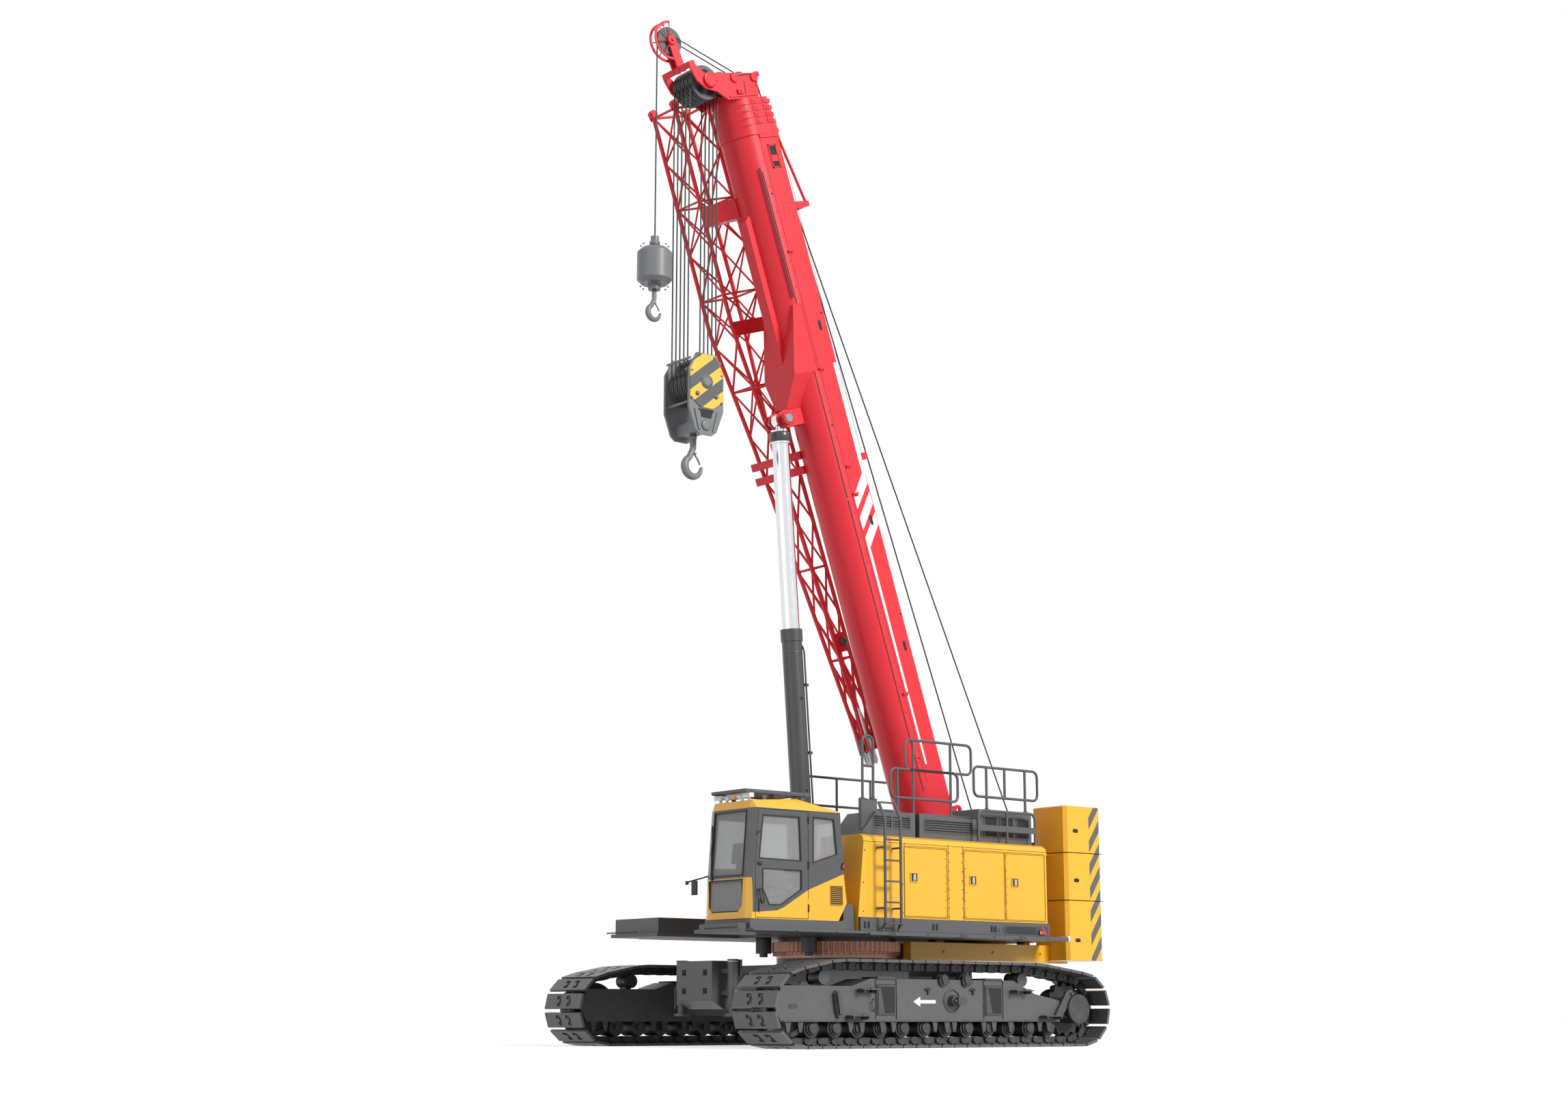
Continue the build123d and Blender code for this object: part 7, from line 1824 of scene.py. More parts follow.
@dataclass
class Winch:
    """Rope laid in turns on one drum, and the drum's drive cover."""

    name: str
    x: float
    z: float
    turns: int = 26
    turn_steps: int = 16
    drum_radius: float = 0.235
    rope: float = 0.011
    half: float = 0.3

    def build(self, kit: Kit) -> None:
        """Makes the rope's layers and the flanges' rims."""
        maker = Maker()
        rings = []
        for layer in range(2):
            radius = self.drum_radius + self.rope * (1 + 1.74 * layer)
            steps = self.turns * self.turn_steps
            for k in range(steps + 1):
                a = 2 * math.pi * k / self.turn_steps
                y = -self.half + 2 * self.half * k / steps
                rings.append((self.x + radius * math.cos(a), y if layer == 0 else -y, self.z + radius * math.sin(a)))
        maker.pipe(rings, self.rope, 6)
        kit.put(maker, f"{self.name}_winch_rope", f"{self.name}_winch", ("rope_metal",), "rope_steel")
        rim = Maker()
        for sign in (1, -1):
            rim.knob((self.x, sign * 0.33, self.z), sign, [(0, 0.326), (0.012, 0.3), (0.02, 0.29)], 32)
            bolt_circle(rim, (self.x, sign * 0.35, self.z), 0.2, 10, sign, 0.014)
        kit.put(rim, f"{self.name}_winch_rims", f"{self.name}_winch", ("sheave_paint",), "dark_grey")


# ------------------------------------------------------------------ boom
@dataclass
class Boom:
    """Seams, marks, holes, brackets and pins on the base section and its collars."""

    side_y: float = 0.355
    back_t: float = 0.647
    collar_start: float = 11.2703
    collar_pitch: float = 0.1053
    collar_step: float = 0.006
    bands: Sequence[Sequence[Flat]] = (
        ((7.52, 0.535), (5.79, 0.54), (5.48, 0.262), (5.272, 0.26), (5.62, 0.596), (6.02, 0.612), (7.52, 0.60)),
        ((5.494, 0.592), (5.146, 0.265), (4.942, 0.266), (5.299, 0.598)),
        ((5.172, 0.597), (4.829, 0.27), (1.28, 0.292), (1.28, 0.33), (4.671, 0.322), (4.973, 0.60)))

    def build(self, kit: Kit) -> None:
        """Makes the side's marks, the underside's fittings and the collars."""
        for sign in (1, -1):
            self.side(kit, sign)
        self.back(kit)
        self.eye(kit)
        self.collars(kit)
        self.pipes(kit)

    def mark_plate(self, maker: Maker, outline: Sequence[Flat], sign: int, out: float = 0.002) -> None:
        """A thin shape on the boom's side, given along and across the boom."""
        maker.boom_plate(outline, sign * (self.side_y - 0.001), sign * (self.side_y + out))

    def side(self, kit: Kit, sign: int) -> None:
        """Marks, seams, holes and brackets of one side.

        Args:
            kit: The finishes.
            sign: 1 for the cab side, -1 for the other.
        """
        name = "left" if sign > 0 else "right"
        maker = Maker()
        for band in self.bands:
            self.mark_plate(maker, band, sign)
        kit.put(maker, f"boom_marks_{name}", "boom", ("white_mark",), "boom_red")
        seam = Maker()
        # Darker red lines along the plates' joints: painted shade in the seams.
        near, far = sign * 0.33, sign * 0.3445
        for s0, s1 in ((0.9, 5.434), (5.481, 8.1), (8.2, 10.55)):
            seam.boom_plate(rectangle(s0, s1, 0.124, 0.146), near, far)
        self.mark_plate(seam, rectangle(1.0, 11.1, 0.236, 0.241), sign, 0.0015)
        self.mark_plate(seam, rectangle(6.0, 11.2, 0.636, 0.64), sign, 0.0015)
        # Near-black plates in the holes, in the window's recess and along a slot: painted shade.
        seam.mark = 1
        for s, t, long in ((8.119, 0.47, 0.16), (5.064, 0.483, 0.16), (3.088, 0.50, 0.16)):
            self.slot_hole(seam, s, t, long, sign)
        for s, t in ((8.297, 0.56), (3.57, 0.575), (6.6, 0.2), (1.4, 0.2), (10.2, 0.2)):
            self.slot_hole(seam, s, t, 0.032, sign)
        self.mark_plate(seam, rectangle(10.60, 10.92, 0.365, 0.50), sign, 0.0018)
        self.mark_plate(seam, rectangle(8.6, 10.61, 0.068, 0.094), sign, 0.0018)
        kit.put(seam, f"boom_seams_{name}", "boom", ("red_seam", "dark_hole"), "boom_red")
        parts = Maker()
        for s, t in ((7.468, 0.276), (5.944, 0.316), (5.514, 0.301), (2.4, 0.26), (9.3, 0.27)):
            self.bracket(parts, s, t, sign)
        for k in range(26):
            s = 0.95 + 0.39 * k
            bolt(parts, on_boom(s, 0.19, sign * self.side_y), (0, sign, 0), 0.007)
        self.window(parts, sign)
        foot_depth = 0.012 if sign > 0 else 0.025
        parts.boom_plate([(-0.24, 0.42), (0.3, 0.42), (0.42, 0.30), (0.42, 0.12), (0.2, -0.02), (-0.2, -0.1)],
                         sign * self.side_y, sign * (self.side_y + foot_depth))
        kit.put(parts, f"boom_brackets_{name}", "boom", ("boom_paint", "dark_hole"), "boom_red", 0.002)

    def slot_hole(self, maker: Maker, s: float, t: float, long: float, sign: int) -> None:
        """A near-black round-ended plate lying along the boom: painted shade where a hole is."""
        self.mark_plate(maker, oval(s, t, long, min(long, 0.055)), sign, 0.0022)

    def bracket(self, maker: Maker, s: float, t: float, sign: int) -> None:
        """A small angle bracket with a bolt, standing out of the side."""
        near, far = sign * self.side_y, sign * (self.side_y + 0.035)
        maker.boom_plate(rectangle(s - 0.012, s + 0.012, t - 0.06, t + 0.05), near, far)
        near, far = sign * self.side_y, sign * (self.side_y + 0.008)
        maker.boom_plate(rectangle(s - 0.045, s + 0.012, t - 0.06, t + 0.05), near, far)
        bolt(maker, on_boom(s - 0.028, t, sign * (self.side_y + 0.008)), (0, sign, 0), 0.01)

    def window(self, maker: Maker, sign: int) -> None:
        """Framed box with a slot and a hole, near the base section's end."""
        near, far = sign * self.side_y, sign * (self.side_y + 0.012)
        for outline in (rectangle(10.58, 10.95, 0.35, 0.368),
                        rectangle(10.58, 10.95, 0.495, 0.513),
                        rectangle(10.93, 10.95, 0.35, 0.513),
                        rectangle(10.58, 10.60, 0.35, 0.513),
                        rectangle(10.68, 10.78, 0.365, 0.5)):
            maker.boom_plate(outline, near, far)

    def back(self, kit: Kit) -> None:
        """Tab, foot pins and plates on the boom's back."""
        maker = Maker()
        maker.boom_plate(rectangle(5.98, 6.09, 0.645, 0.76), 0.30, 0.325)
        for s in (1.2, 4.2, 7.2, 9.8):
            maker.boom_plate(rectangle(s - 0.02, s + 0.02, 0.646, 0.665), -0.3, 0.3)
        for side in (1, -1):
            maker.boom_plate(rectangle(0.2, 11.0, 0.646, 0.662), side * 0.2, side * 0.215)
        maker.mark = 1
        foot = on_boom(0.0, 0.0)
        for side in (1, -1):
            start = foot + Vector((0, side * 0.525, 0))
            maker.knob(start, side, [(-0.01, 0.14), (0.012, 0.14), (0.02, 0.12)], 28)
            bolt_circle(maker, start + Vector((0, side * 0.015, 0)), 0.1, 6, side, 0.013)
        kit.put(maker, "boom_back_fittings", "boom", ("boom_paint", "pin_metal"), "boom_red", 0.002)

    def eye(self, kit: Kit) -> None:
        """Bosses, pin and keeper plates at the lift cylinder's rod eye, and the fairing's seams."""
        maker = Maker()
        for side in (1, -1):
            start = CYLINDER_EYE + Vector((0, side * 0.2, 0))
            maker.knob(start, side, [(-0.002, 0.105), (0.03, 0.105), (0.036, 0.098)], 28)
            bolt_circle(maker, start + Vector((0, side * 0.034, 0)), 0.085, 8, side, 0.009)
        maker.mark = 1
        for side in (1, -1):
            start = CYLINDER_EYE + Vector((0, side * 0.16, 0))
            maker.knob(start, side, [(0, 0.068), (0.088, 0.068), (0.094, 0.06)], 24)
        kit.put(maker, "cylinder_eye_bosses", "boom", ("boom_paint", "pin_metal"), "boom_red")

    def collars(self, kit: Kit) -> None:
        """Wear-pad plates and bolts on the base section's end and each inner section's collar."""
        base = Maker()
        for sign in (1, -1):
            y = sign * 0.371
            for t in (0.28, 0.42, 0.56):
                bolt(base, on_boom(11.21, t, sign * self.side_y), (0, sign, 0), 0.012)
            base.boom_plate(rectangle(11.06, 11.25, 0.24, 0.62), sign * self.side_y, y)
        kit.put(base, "base_end_plates", "boom", ("boom_paint",), "boom_red", 0.002)
        for number in range(2, 6):
            maker = Maker()
            s = self.collar_start + (number - 2) * self.collar_pitch
            shrink = self.collar_step * (number - 3)
            half, top = self.side_y - shrink, self.back_t - shrink
            for sign in (1, -1):
                near, far = sign * half, sign * (half + 0.01)
                for t in (0.31, 0.53):
                    maker.boom_plate(rectangle(s + 0.015, s + 0.088, t - 0.05, t + 0.05), near, far)
                for t in (0.31, 0.53):
                    bolt(maker, on_boom(s + 0.05, t, sign * (half + 0.01)), (0, sign, 0), 0.011)
            maker.boom_plate(rectangle(s + 0.01, s + 0.03, top - 0.002, top + 0.018), -0.3, 0.3)
            # Darker red line at the collar's edge: painted shade in the gap between sections.
            maker.mark = 1
            for sign in (1, -1):
                near, far = sign * (half - 0.001), sign * (half + 0.0015)
                maker.boom_plate(rectangle(s - 0.001, s + 0.006, 0.0, top), near, far)
            kit.put(maker, f"collar_{number}_plates", f"telescope_{number}", ("boom_paint", "red_seam"), "boom_red")

    def pipes(self, kit: Kit) -> None:
        """Barrel pipe with clamps, gland rings and the eye of the lift cylinder."""
        foot, eye = CYLINDER_FOOT, CYLINDER_EYE
        along = (eye - foot).normalized()
        side = Vector((0, 1, 0))
        ahead = along.cross(side).normalized()
        maker = Maker()
        end = 3.93
        for gland in (((0.16, 0.152), (0.155, 0.158), (0.02, 0.158), (0.012, 0.15)),
                      ((0.36, 0.1505), (0.358, 0.153), (0.34, 0.153), (0.338, 0.1505))):
            maker.lathe(foot, eye, [(end - back, radius) for back, radius in gland], 32)
        for k in range(12):
            a = 2 * math.pi * k / 12
            out = side * math.cos(a) + ahead * math.sin(a)
            bolt(maker, foot + along * (end - 0.014) + out * 0.143, along, 0.008)
        for back in (1, -1):
            run = side * 0.11 * back + ahead * 0.135
            path = [foot + along * 0.35 + run * 0.9, foot + along * 0.45 + run, foot + along * 3.6 + run,
                    foot + along * 3.68 + run * 0.86]
            maker.pipe(path, 0.014, 10)
            for s in (1.05, 2.1, 3.1):
                spot = foot + along * s + run
                maker.box(spot - Vector((0.03, 0.025, 0.02)), spot + Vector((0.03, 0.025, 0.02)))
        for s in (1.55, 2.9):
            spot = foot + along * s + side * 0.148
            maker.box(spot - Vector((0.012, 0.005, 0.012)), spot + Vector((0.012, 0.035, 0.012)))
        kit.put(maker, "cylinder_pipes", "lift_barrel", ("cylinder_paint",), "cylinder_black")
        rod = Maker()
        length = (eye - foot).length
        collar = ((0.345, 0.131), (0.335, 0.1615), (0.2, 0.1615), (0.185, 0.15))
        rod.lathe(foot, eye, [(length - back, radius) for back, radius in collar], 32)
        kit.put(rod, "rod_end_collar", "lift_rod", ("cylinder_paint",), "cylinder_black")


# ------------------------------------------------------------------ head, jib, block and ropes
@dataclass
class Head:
    """Lugs, shaft ends, sheave spokes and plates of the boom head."""

    sheave: Flat = (MAIN_FALLS_X, 14.07)
    aux: Flat = (3.22, 14.65)

    def build(self, kit: Kit) -> None:
        """Makes the head's trim and the sheaves' faces."""
        maker = Maker()
        for sign in (1, -1):
            out = sign * 0.335
            for s, t in ((12.037, 0.5), (12.02, -0.36), (11.8, 0.1)):
                near, far = out, out + sign * 0.03
                maker.boom_plate([(s - 0.035, t - 0.05), (s + 0.035, t - 0.05), (s + 0.045, t), (s + 0.035, t + 0.05),
                                  (s - 0.035, t + 0.05)], near, far)
                bolt(maker, on_boom(s, t, out + sign * 0.03), (0, sign, 0), 0.014)
            for outline in (rectangle(11.72, 11.75, -0.12, 0.42),
                            [(11.86, 0.44), (12.03, 0.51), (12.02, 0.528), (11.85, 0.462)],
                            [(11.9, -0.44), (12.1, -0.5), (12.11, -0.485), (11.91, -0.42)]):
                maker.boom_plate(outline, out, out + sign * 0.014)
            for s, t, r in ((12.015, 0.06, 0.075), (12.0, 0.448, 0.07)):
                start = on_boom(s, t, out)
                maker.knob(start, sign, [(0, r), (0.022, r), (0.028, r - 0.01)], 20)
            start = Vector((self.sheave[0], out, self.sheave[1]))
            maker.knob(start, sign, [(0.0, 0.115), (0.04, 0.115), (0.044, 0.1)], 28)
            bolt_circle(maker, start + Vector((0, sign * 0.042, 0)), 0.09, 6, sign, 0.01)
        # Near-black strips on the head's sides: painted shade in its slots.
        maker.mark = 1
        for sign in (1, -1):
            near, far = sign * 0.334, sign * 0.3368
            for outline in ([(11.76, 0.2), (11.95, 0.23), (11.95, 0.245), (11.76, 0.215)],
                            [(12.05, 0.1), (12.06, 0.42), (12.045, 0.42), (12.035, 0.1)]):
                maker.boom_plate(outline, near, far)
        kit.put(maker, "head_fittings", "telescope_5", ("boom_paint", "dark_hole"), "boom_red", 0.002)
        self.faces(kit)
        self.arm(kit)

    def faces(self, kit: Kit) -> None:
        """Hub, rim and window faces on the outer sides of the sheaves."""
        maker = Maker()
        x, z = self.sheave
        for y0 in (-0.192, -0.096, 0.0, 0.096, 0.192):
            for sign in (1, -1):
                y = y0 + sign * 0.03
                centre = Vector((x, y, z))
                maker.knob(centre, sign, [(0.0, 0.1), (0.008, 0.1)], 20)
                if abs(y) > 0.2:
                    for k in range(5):
                        a = 2 * math.pi * k / 5 + 0.3
                        spot = [(x + r * math.cos(a + b), z + r * math.sin(a + b))
                                for r, b in ((0.125, -0.35), (0.2, -0.4), (0.212, 0.0), (0.2, 0.4), (0.125, 0.35))]
                        # Near-black plate between the spokes: painted shade seen through the sheave's window.
                        maker.mark = 1
                        maker.side_plate(spot, y - sign * 0.001, y + sign * 0.0015)
                        maker.mark = 0
        kit.put(maker, "sheave_faces", "telescope_5", ("sheave_paint", "dark_hole"), "dark_grey")

    def arm(self, kit: Kit) -> None:
        """Hub caps and web of the auxiliary arm, with the stay that runs back to the head."""
        maker = Maker()
        x, z = self.aux
        for sign in (1, -1):
            start = Vector((x, sign * 0.074, z))
            maker.knob(start, sign, [(0, 0.075), (0.022, 0.075), (0.028, 0.066)], 20)
            bolt(maker, start + Vector((0, sign * 0.026, 0)), (0, sign, 0), 0.024)
        low, high = on_boom(12.3, -0.62), Vector((x - 0.1, 0, z - 0.14))
        maker.pipe([low, high], 0.028, 10)
        tip = on_boom(12.06, 0.5)
        maker.mark = 1
        for y in (-0.06, 0.06):
            maker.pipe([Vector((x + 0.02, y, z + 0.09)), tip + Vector((0, y, 0))], 0.009, 8)
        kit.put(maker, "aux_arm_fittings", "telescope_5", ("boom_paint", "rope_metal"), "boom_red")


@dataclass
class Jib:
    """Ears, frames, denser lacing, plates and end sheave of the stowed jib."""

    stations: Sequence[tuple[float, float, float, float, float]] = (
        (1.62, 0.235, 0.42, -0.76, -0.90), (6.58, -0.13, 0.24, -0.70, -1.15), (8.46, -0.33, 0.38, -0.70, -1.25),
        (11.9, -0.33, 0.33, -0.70, -1.25))
    bays: int = 14

    def corner(self, s: float, number: int) -> Vector:
        """One of the four chords at a distance along the boom.

        Args:
            s: Distance along the boom.
            number: Which chord, 0 to 3.

        Returns:
            Its place.
        """
        for a, b in zip(self.stations, self.stations[1:]):
            if s <= b[0]:
                break
        share = (s - a[0]) / (b[0] - a[0])
        row = [p + (q - p) * share for p, q in zip(a, b)]
        return on_boom(s, row[1] if number in (0, 1) else row[2], row[3] if number in (0, 3) else row[4])

    def build(self, kit: Kit) -> None:
        """Makes the second lacing, the frames and the end fittings."""
        first, last, bays = self.stations[0][0], self.stations[-1][0], self.bays
        cuts = [first + (last - first) * k / bays for k in range(bays + 1)]
        paths = []
        for i, (s0, s1) in enumerate(zip(cuts, cuts[1:])):
            for k in range(4):
                a, b = ((k + 1) % 4, k) if i % 2 else (k, (k + 1) % 4)
                if i % 2 or k in (0, 2):
                    paths.append([self.corner(s0, a), self.corner(s1, b)])
        kit.tubes("jib_cross_lacing", "boom", paths, 0.0145, 0.0, "boom_paint", "boom_red", 8)
        frames = []
        for s in cuts[2:-1:2]:
            frames.append([self.corner(s, k) for k in range(4)])
        kit.tubes("jib_frames", "boom", frames, 0.018, 0.0, "boom_paint", "boom_red", 8, range(len(frames)))
        self.ends(kit)

    def ends(self, kit: Kit) -> None:
        """Double ears at the top, forks with a sheave at the bottom, and side plates."""
        maker = Maker()
        for k in (0, 1):
            y = self.corner(11.9, k).y
            for dy in (-0.052, 0.034):
                s, t = 11.965, -0.33
                maker.boom_plate([(s - 0.1, t - 0.03), (s + 0.02, t - 0.06), (s + 0.065, t), (s + 0.02, t + 0.06),
                                  (s - 0.1, t + 0.03)], y + dy, y + dy + 0.018)
        for k in (2, 3):
            y = self.corner(11.9, k).y
            for dy in (-0.05, 0.03):
                maker.boom_plate([(11.86, 0.3), (11.97, 0.27), (12.0, 0.33), (11.97, 0.39), (11.86, 0.36)],
                                 y + dy, y + dy + 0.02)
        for s0, s1, t0, t1 in ((8.3, 8.52, -0.32, 0.36), (6.5, 6.66, -0.12, 0.23), (3.2, 3.5, 0.12, 0.36)):
            y = self.corner((s0 + s1) / 2, 0).y
            maker.boom_plate(rectangle(s0, s1, t0, t1), y + 0.03, y + 0.04)
        hole = on_boom(3.35, 0.25, -0.69)
        maker.mark = 1
        maker.knob(hole, 1, [(0, 0.07), (0.02, 0.07), (0.03, 0.04)], 18)
        maker.mark = 2
        for y in (-0.93, -0.87, -0.79, -0.73):
            maker.boom_plate([(1.38, 0.30), (1.42, 0.25), (1.8, 0.24), (1.8, 0.30), (1.44, 0.345)], y, y + 0.016)
        for y in (-0.955, -0.7):
            for t in (0.235, 0.42):
                start, stop = on_boom(1.55, t, y), on_boom(2.3, t - 0.03, y - 0.01)
                maker.pipe([start, stop], 0.022, 10)
        maker.mark = 3
        axle = on_boom(1.72, 0.32, -0.86)
        maker.knob(axle, 1, [(0, 0.15), (0.012, 0.155), (0.03, 0.12), (0.05, 0.155), (0.062, 0.15)], 28)
        kit.put(maker, "jib_end_fittings", "boom", ("boom_paint", "rail_paint", "silver_paint", "sheave_paint"),
                "boom_red", 0.0)


@dataclass
class Block:
    """Cheek plates' trim, bearing caps, link plates and forged hook of the main block and the aux ball."""

    x: float = MAIN_FALLS_X
    axle_z: float = 9.42
    low: float = 8.63
    top: float = 9.84
    main_hook_z: tuple[float, float] = (8.01, 8.69)
    aux_hook_z: tuple[float, float] = (10.25, 10.74)

    def cheek(self, gap: float = 0.0) -> list[Flat]:
        """Outline of the upper, striped part of a cheek plate."""
        wide, top = 0.31 - gap, self.top - gap
        return [(self.x - wide, top - 0.66), (self.x - 0.12, top - 0.8), (self.x + 0.12, top - 0.8),
                (self.x + wide, top - 0.66), (self.x + wide, top - 0.25), (self.x + 0.17 - gap, top),
                (self.x - 0.17 + gap, top), (self.x - wide, top - 0.25)]

    def build(self, kit: Kit) -> None:
        """Makes the block's trim, both hooks and the ball's fittings."""
        maker = Maker()
        for sign in (1, -1):
            out = sign * 0.31
            maker.mark = 0
            maker.side_plate(self.cheek(0.012), out, out + sign * 0.012)
            maker.mark = 1
            outline = self.cheek(0.04)
            for k, a in enumerate(outline):
                b = outline[(k + 1) % len(outline)]
                bolt(maker, (a[0], out + sign * 0.012, a[1]), (0, sign, 0), 0.014)
                if math.dist(a, b) > 0.3:
                    bolt(maker, ((a[0] + b[0]) / 2, out + sign * 0.012, (a[1] + b[1]) / 2), (0, sign, 0), 0.014)
            start = Vector((self.x, out + sign * 0.012, self.axle_z))
            maker.knob(start, sign, [(0, 0.105), (0.01, 0.105), (0.014, 0.06), (0.018, 0.06)], 24)
            bolt_circle(maker, start + Vector((0, sign * 0.01, 0)), 0.082, 6, sign, 0.009, 0.4)
            for dx in (-0.17, 0.17):
                bolt(maker, (self.x + dx, out + sign * 0.012, self.top - 0.62), (0, sign, 0), 0.03)
            for dx in (-1, 1):
                maker.side_plate([(self.x + dx * 0.19, self.low + 0.36), (self.x + dx * 0.22, self.low + 0.36),
                                  (self.x + dx * 0.14, self.low + 0.06), (self.x + dx * 0.11, self.low + 0.06)],
                                 out, out + sign * 0.018)
            maker.lathe((self.x, out, self.low + 0.145), (self.x, out + sign, self.low + 0.145),
                        [(0, 0.085), (0.015, 0.085), (0.02, 0.05), (0.02, 0.049)], 20)
            # Near-black plate low on the cheek: painted shade in its opening.
            maker.mark = 2
            maker.side_plate([(self.x - 0.09, self.low + 0.25), (self.x + 0.09, self.low + 0.25),
                              (self.x + 0.12, self.low + 0.38), (self.x - 0.12, self.low + 0.38)],
                             out - sign * 0.001, out + sign * 0.002)
        maker.mark = 1
        for y in (-0.14, 0.12):
            maker.side_plate([(self.x - 0.09, self.top - 0.1), (self.x + 0.09, self.top - 0.1),
                              (self.x + 0.07, self.top - 0.003), (self.x - 0.07, self.top - 0.003)], y, y + 0.02)
        for z in (9.1, 9.75):
            for dx in (-0.27, 0.27):
                maker.rod((self.x + dx, -0.28, z), (self.x + dx, 0.28, z), 0.02, 10)
        kit.put(maker, "block_fittings", "main_block", ("block_stripes", "hook_paint", "dark_hole"), "block_grey")
        self.hook(kit, "main", self.x, *self.main_hook_z, "main_hook", 0.055)
        self.hook(kit, "aux", AUX_FALL_X, *self.aux_hook_z, "aux_hook", 0.035)
        self.ball(kit)

    def hook(self, kit: Kit, name: str, x: float, low: float, top: float, body: str, half: float) -> None:
        """A forged hook with round sections, its nut, shank and safety latch.

        Args:
            kit: The finishes.
            name: Which hook.
            x: Middle of its shank.
            low: Its lowest point.
            top: Its highest point.
            body: The body that carries it.
            half: Half width of its thickest section.
        """
        height = top - low
        radius = height * 0.30
        thick = {"main": 0.115, "aux": 0.082}[name]
        mid_radius = radius - thick / 2
        centre = Vector((x, 0.0, low + radius))
        path, radii = [], []
        for z, r in ((top, 0.42), (top - height * 0.2, 0.42), (top - height * 0.3, 0.40)):
            path.append(Vector((x, 0.0, z)))
            radii.append(thick * r)
        steps = 22
        for k in range(steps + 1):
            share = k / steps
            a = math.radians(118 + share * 236)
            path.append(centre + Vector((-mid_radius * math.cos(a), 0.0, mid_radius * math.sin(a))))
            swell = 0.40 + 0.12 * math.sin(math.pi * min(1.0, share * 1.35)) - 0.16 * max(0.0, share - 0.7) / 0.3
            radii.append(thick * swell)
        tip = path[-1] + Vector((-radius * 0.06, 0, radius * 0.13))
        path.append(tip)
        radii.append(thick * 0.16)
        maker = Maker()
        maker.pipe(path, radii, 16)
        maker.lathe((x, 0, top - height * 0.02), (x, 0, -9), [(0, half * 0.98), (height * 0.07, half * 0.98),
                                                              (height * 0.08, half * 0.8)], 20)
        lip = centre + Vector((-mid_radius * 0.86, 0, mid_radius * 0.32))
        hinge = Vector((x - thick * 0.2, 0, low + radius * 1.95))
        maker.pipe([hinge, (hinge + lip) / 2 - Vector((0.01, 0, 0)), lip], [thick * 0.12, thick * 0.13, thick * 0.1], 8)
        maker.rod(hinge - Vector((0, half * 0.7, 0)), hinge + Vector((0, half * 0.7, 0)), thick * 0.13, 10)
        kit.put(maker, f"{name}_forged_hook", body, ("hook_paint",), "block_grey", 0.0, (body,))

    def ball(self, kit: Kit) -> None:
        """Turned edges, bolts and rope socket of the auxiliary ball."""
        maker = Maker()
        x = AUX_FALL_X
        for z, step in ((10.79, 1), (11.40, -1)):
            for k in range(10):
                a = 2 * math.pi * k / 10
                bolt(maker, (x + 0.2 * math.cos(a), 0.2 * math.sin(a), z), (0, 0, -step), 0.012)
        maker.lathe((x, 0, 11.40), (x, 0, 12), [(0, 0.08), (0.06, 0.075), (0.1, 0.05), (0.14, 0.03)], 20)
        maker.side_plate([(x - 0.05, 11.47), (x + 0.05, 11.47), (x + 0.03, 11.545), (x - 0.03, 11.545)], -0.03, -0.014)
        maker.side_plate([(x - 0.05, 11.47), (x + 0.05, 11.47), (x + 0.03, 11.545), (x - 0.03, 11.545)], 0.014, 0.03)
        kit.put(maker, "ball_fittings", "aux_weight", ("hook_paint",), "block_grey")


@dataclass
class Falls:
    """Strands that hang from the head down to fixed heights."""

    main_z: tuple[float, float] = (9.42, 14.07)
    aux_z: tuple[float, float] = (11.50, 14.65)
    radius: float = 0.011
    sides: int = 8
    steps: int = 12

    def build(self, kit: Kit) -> None:
        """Makes the main falls and the auxiliary fall."""
        spots = [(MAIN_FALLS_X + dx, y) for dx in (-0.2545, 0.2545) for y in (-0.192, -0.096, 0.0, 0.096, 0.192)]
        self.strands(kit, "main", spots, *self.main_z, ("main_falls", "main_block"))
        self.strands(kit, "aux", [(AUX_FALL_X, 0.0)], *self.aux_z, ("aux_fall", "aux_weight"))

    def strands(self, kit: Kit, name: str, spots: Sequence[Flat], low: float, top: float,
                bodies: tuple[str, str]) -> None:
        """Straight strands from a top point down to a low point; the solid of the first body is hidden.

        Args:
            kit: The finishes.
            name: Which falls.
            spots: Their places, across the ground.
            low: Their lowest point.
            top: Their highest point.
            bodies: The body at the top and the body at the bottom.
        """
        maker = Maker()
        for x, y in spots:
            path = [Vector((x, y, top + (low - top) * k / self.steps)) for k in range(self.steps + 1)]
            maker.pipe(path, self.radius, self.sides)
        piece = maker.object(f"{name}_fall_strands", kit.finishes["rope_metal"])
        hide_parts(bodies[0])
        x = spots[0][0]
        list(bodies)
        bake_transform(piece)
        log.info("%s", piece.name)


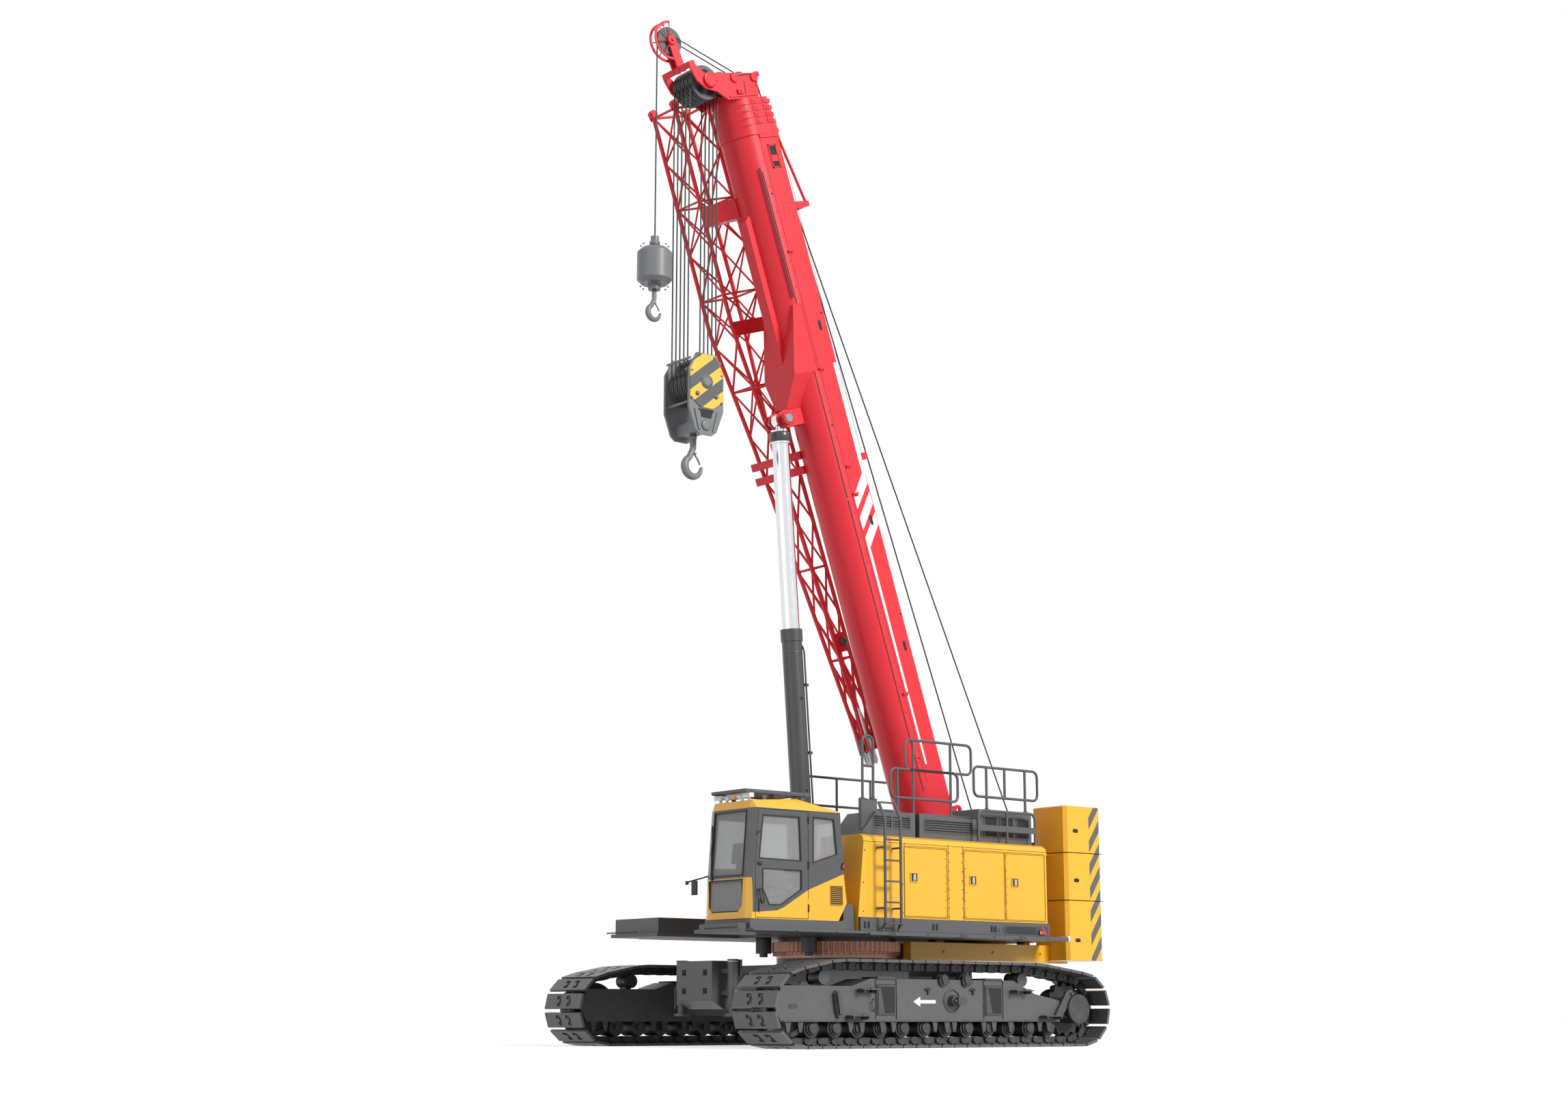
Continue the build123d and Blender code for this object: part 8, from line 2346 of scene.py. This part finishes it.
@dataclass
class HoistRopes:
    """The two ropes from the winches up behind the boom to the head's back guide, in one length for each section."""

    radius: float = 0.011
    bend: float = 1.3
    cuts: Sequence[float] = (0.0, 0.84, 0.88, 0.92, 0.96, 1.0)
    bodies: Sequence[str] = ("superstructure", "boom", "telescope_2", "telescope_3", "telescope_4", "telescope_5")

    def build(self, kit: Kit) -> None:
        """Makes both ropes."""
        self.rope(kit, "main", MAIN_DRUM, 0.05, on_boom(11.99, 0.70, 0.10))
        self.rope(kit, "aux", AUX_DRUM, -0.05, on_boom(11.95, 0.78, -0.10))

    def rope(self, kit: Kit, name: str, drum: Vector, y: float, top: Vector) -> None:
        """One rope: a straight lower length from the winch, and a length for each boom section.

        Args:
            kit: The finishes.
            name: Which rope.
            drum: Middle of its drum.
            y: Where it leaves the drum.
            top: Where it reaches the head.
        """
        away = (top - drum).normalized()
        start = drum + Vector((-away.z, 0, away.x)) * 0.275 + Vector((0, y, 0))
        for number, (low, high) in enumerate(zip(self.cuts, self.cuts[1:])):
            first, last = start.lerp(top, low), start.lerp(top, high)
            steps = 60 if number == 0 else 6
            maker = Maker()
            maker.pipe([first.lerp(last, k / steps) for k in range(steps + 1)], self.radius, 8)
            piece = maker.object(f"{name}_hoist_rope_{number + 1}", kit.finishes["rope_metal"])
            stop = first + (last - first).normalized() * self.bend if number == 0 else last
            tuple(first)
            tuple(stop)
            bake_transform(piece)
            log.info("%s", piece.name)


SUBASSEMBLIES = (
    Track("left", 1), Track("right", -1), Carbody(), Cab(), EngineSide(), Rails(), Counterweight(),
    Winch("main", MAIN_DRUM.x, MAIN_DRUM.z), Winch("aux", AUX_DRUM.x, AUX_DRUM.z),
    Boom(), Head(), Jib(), Block(), Falls(), HoistRopes(),
)


def main() -> None:
    """Builds every sub-assembly in order."""
    logging.basicConfig(level=logging.INFO, format="%(message)s")
    materials = make_materials()
    dress_nodes(materials)
    Studio().build()
    kit = Kit(materials, Repeater())
    for part in SUBASSEMBLIES:
        part.build(kit)


if __name__ == "__main__":
    main()
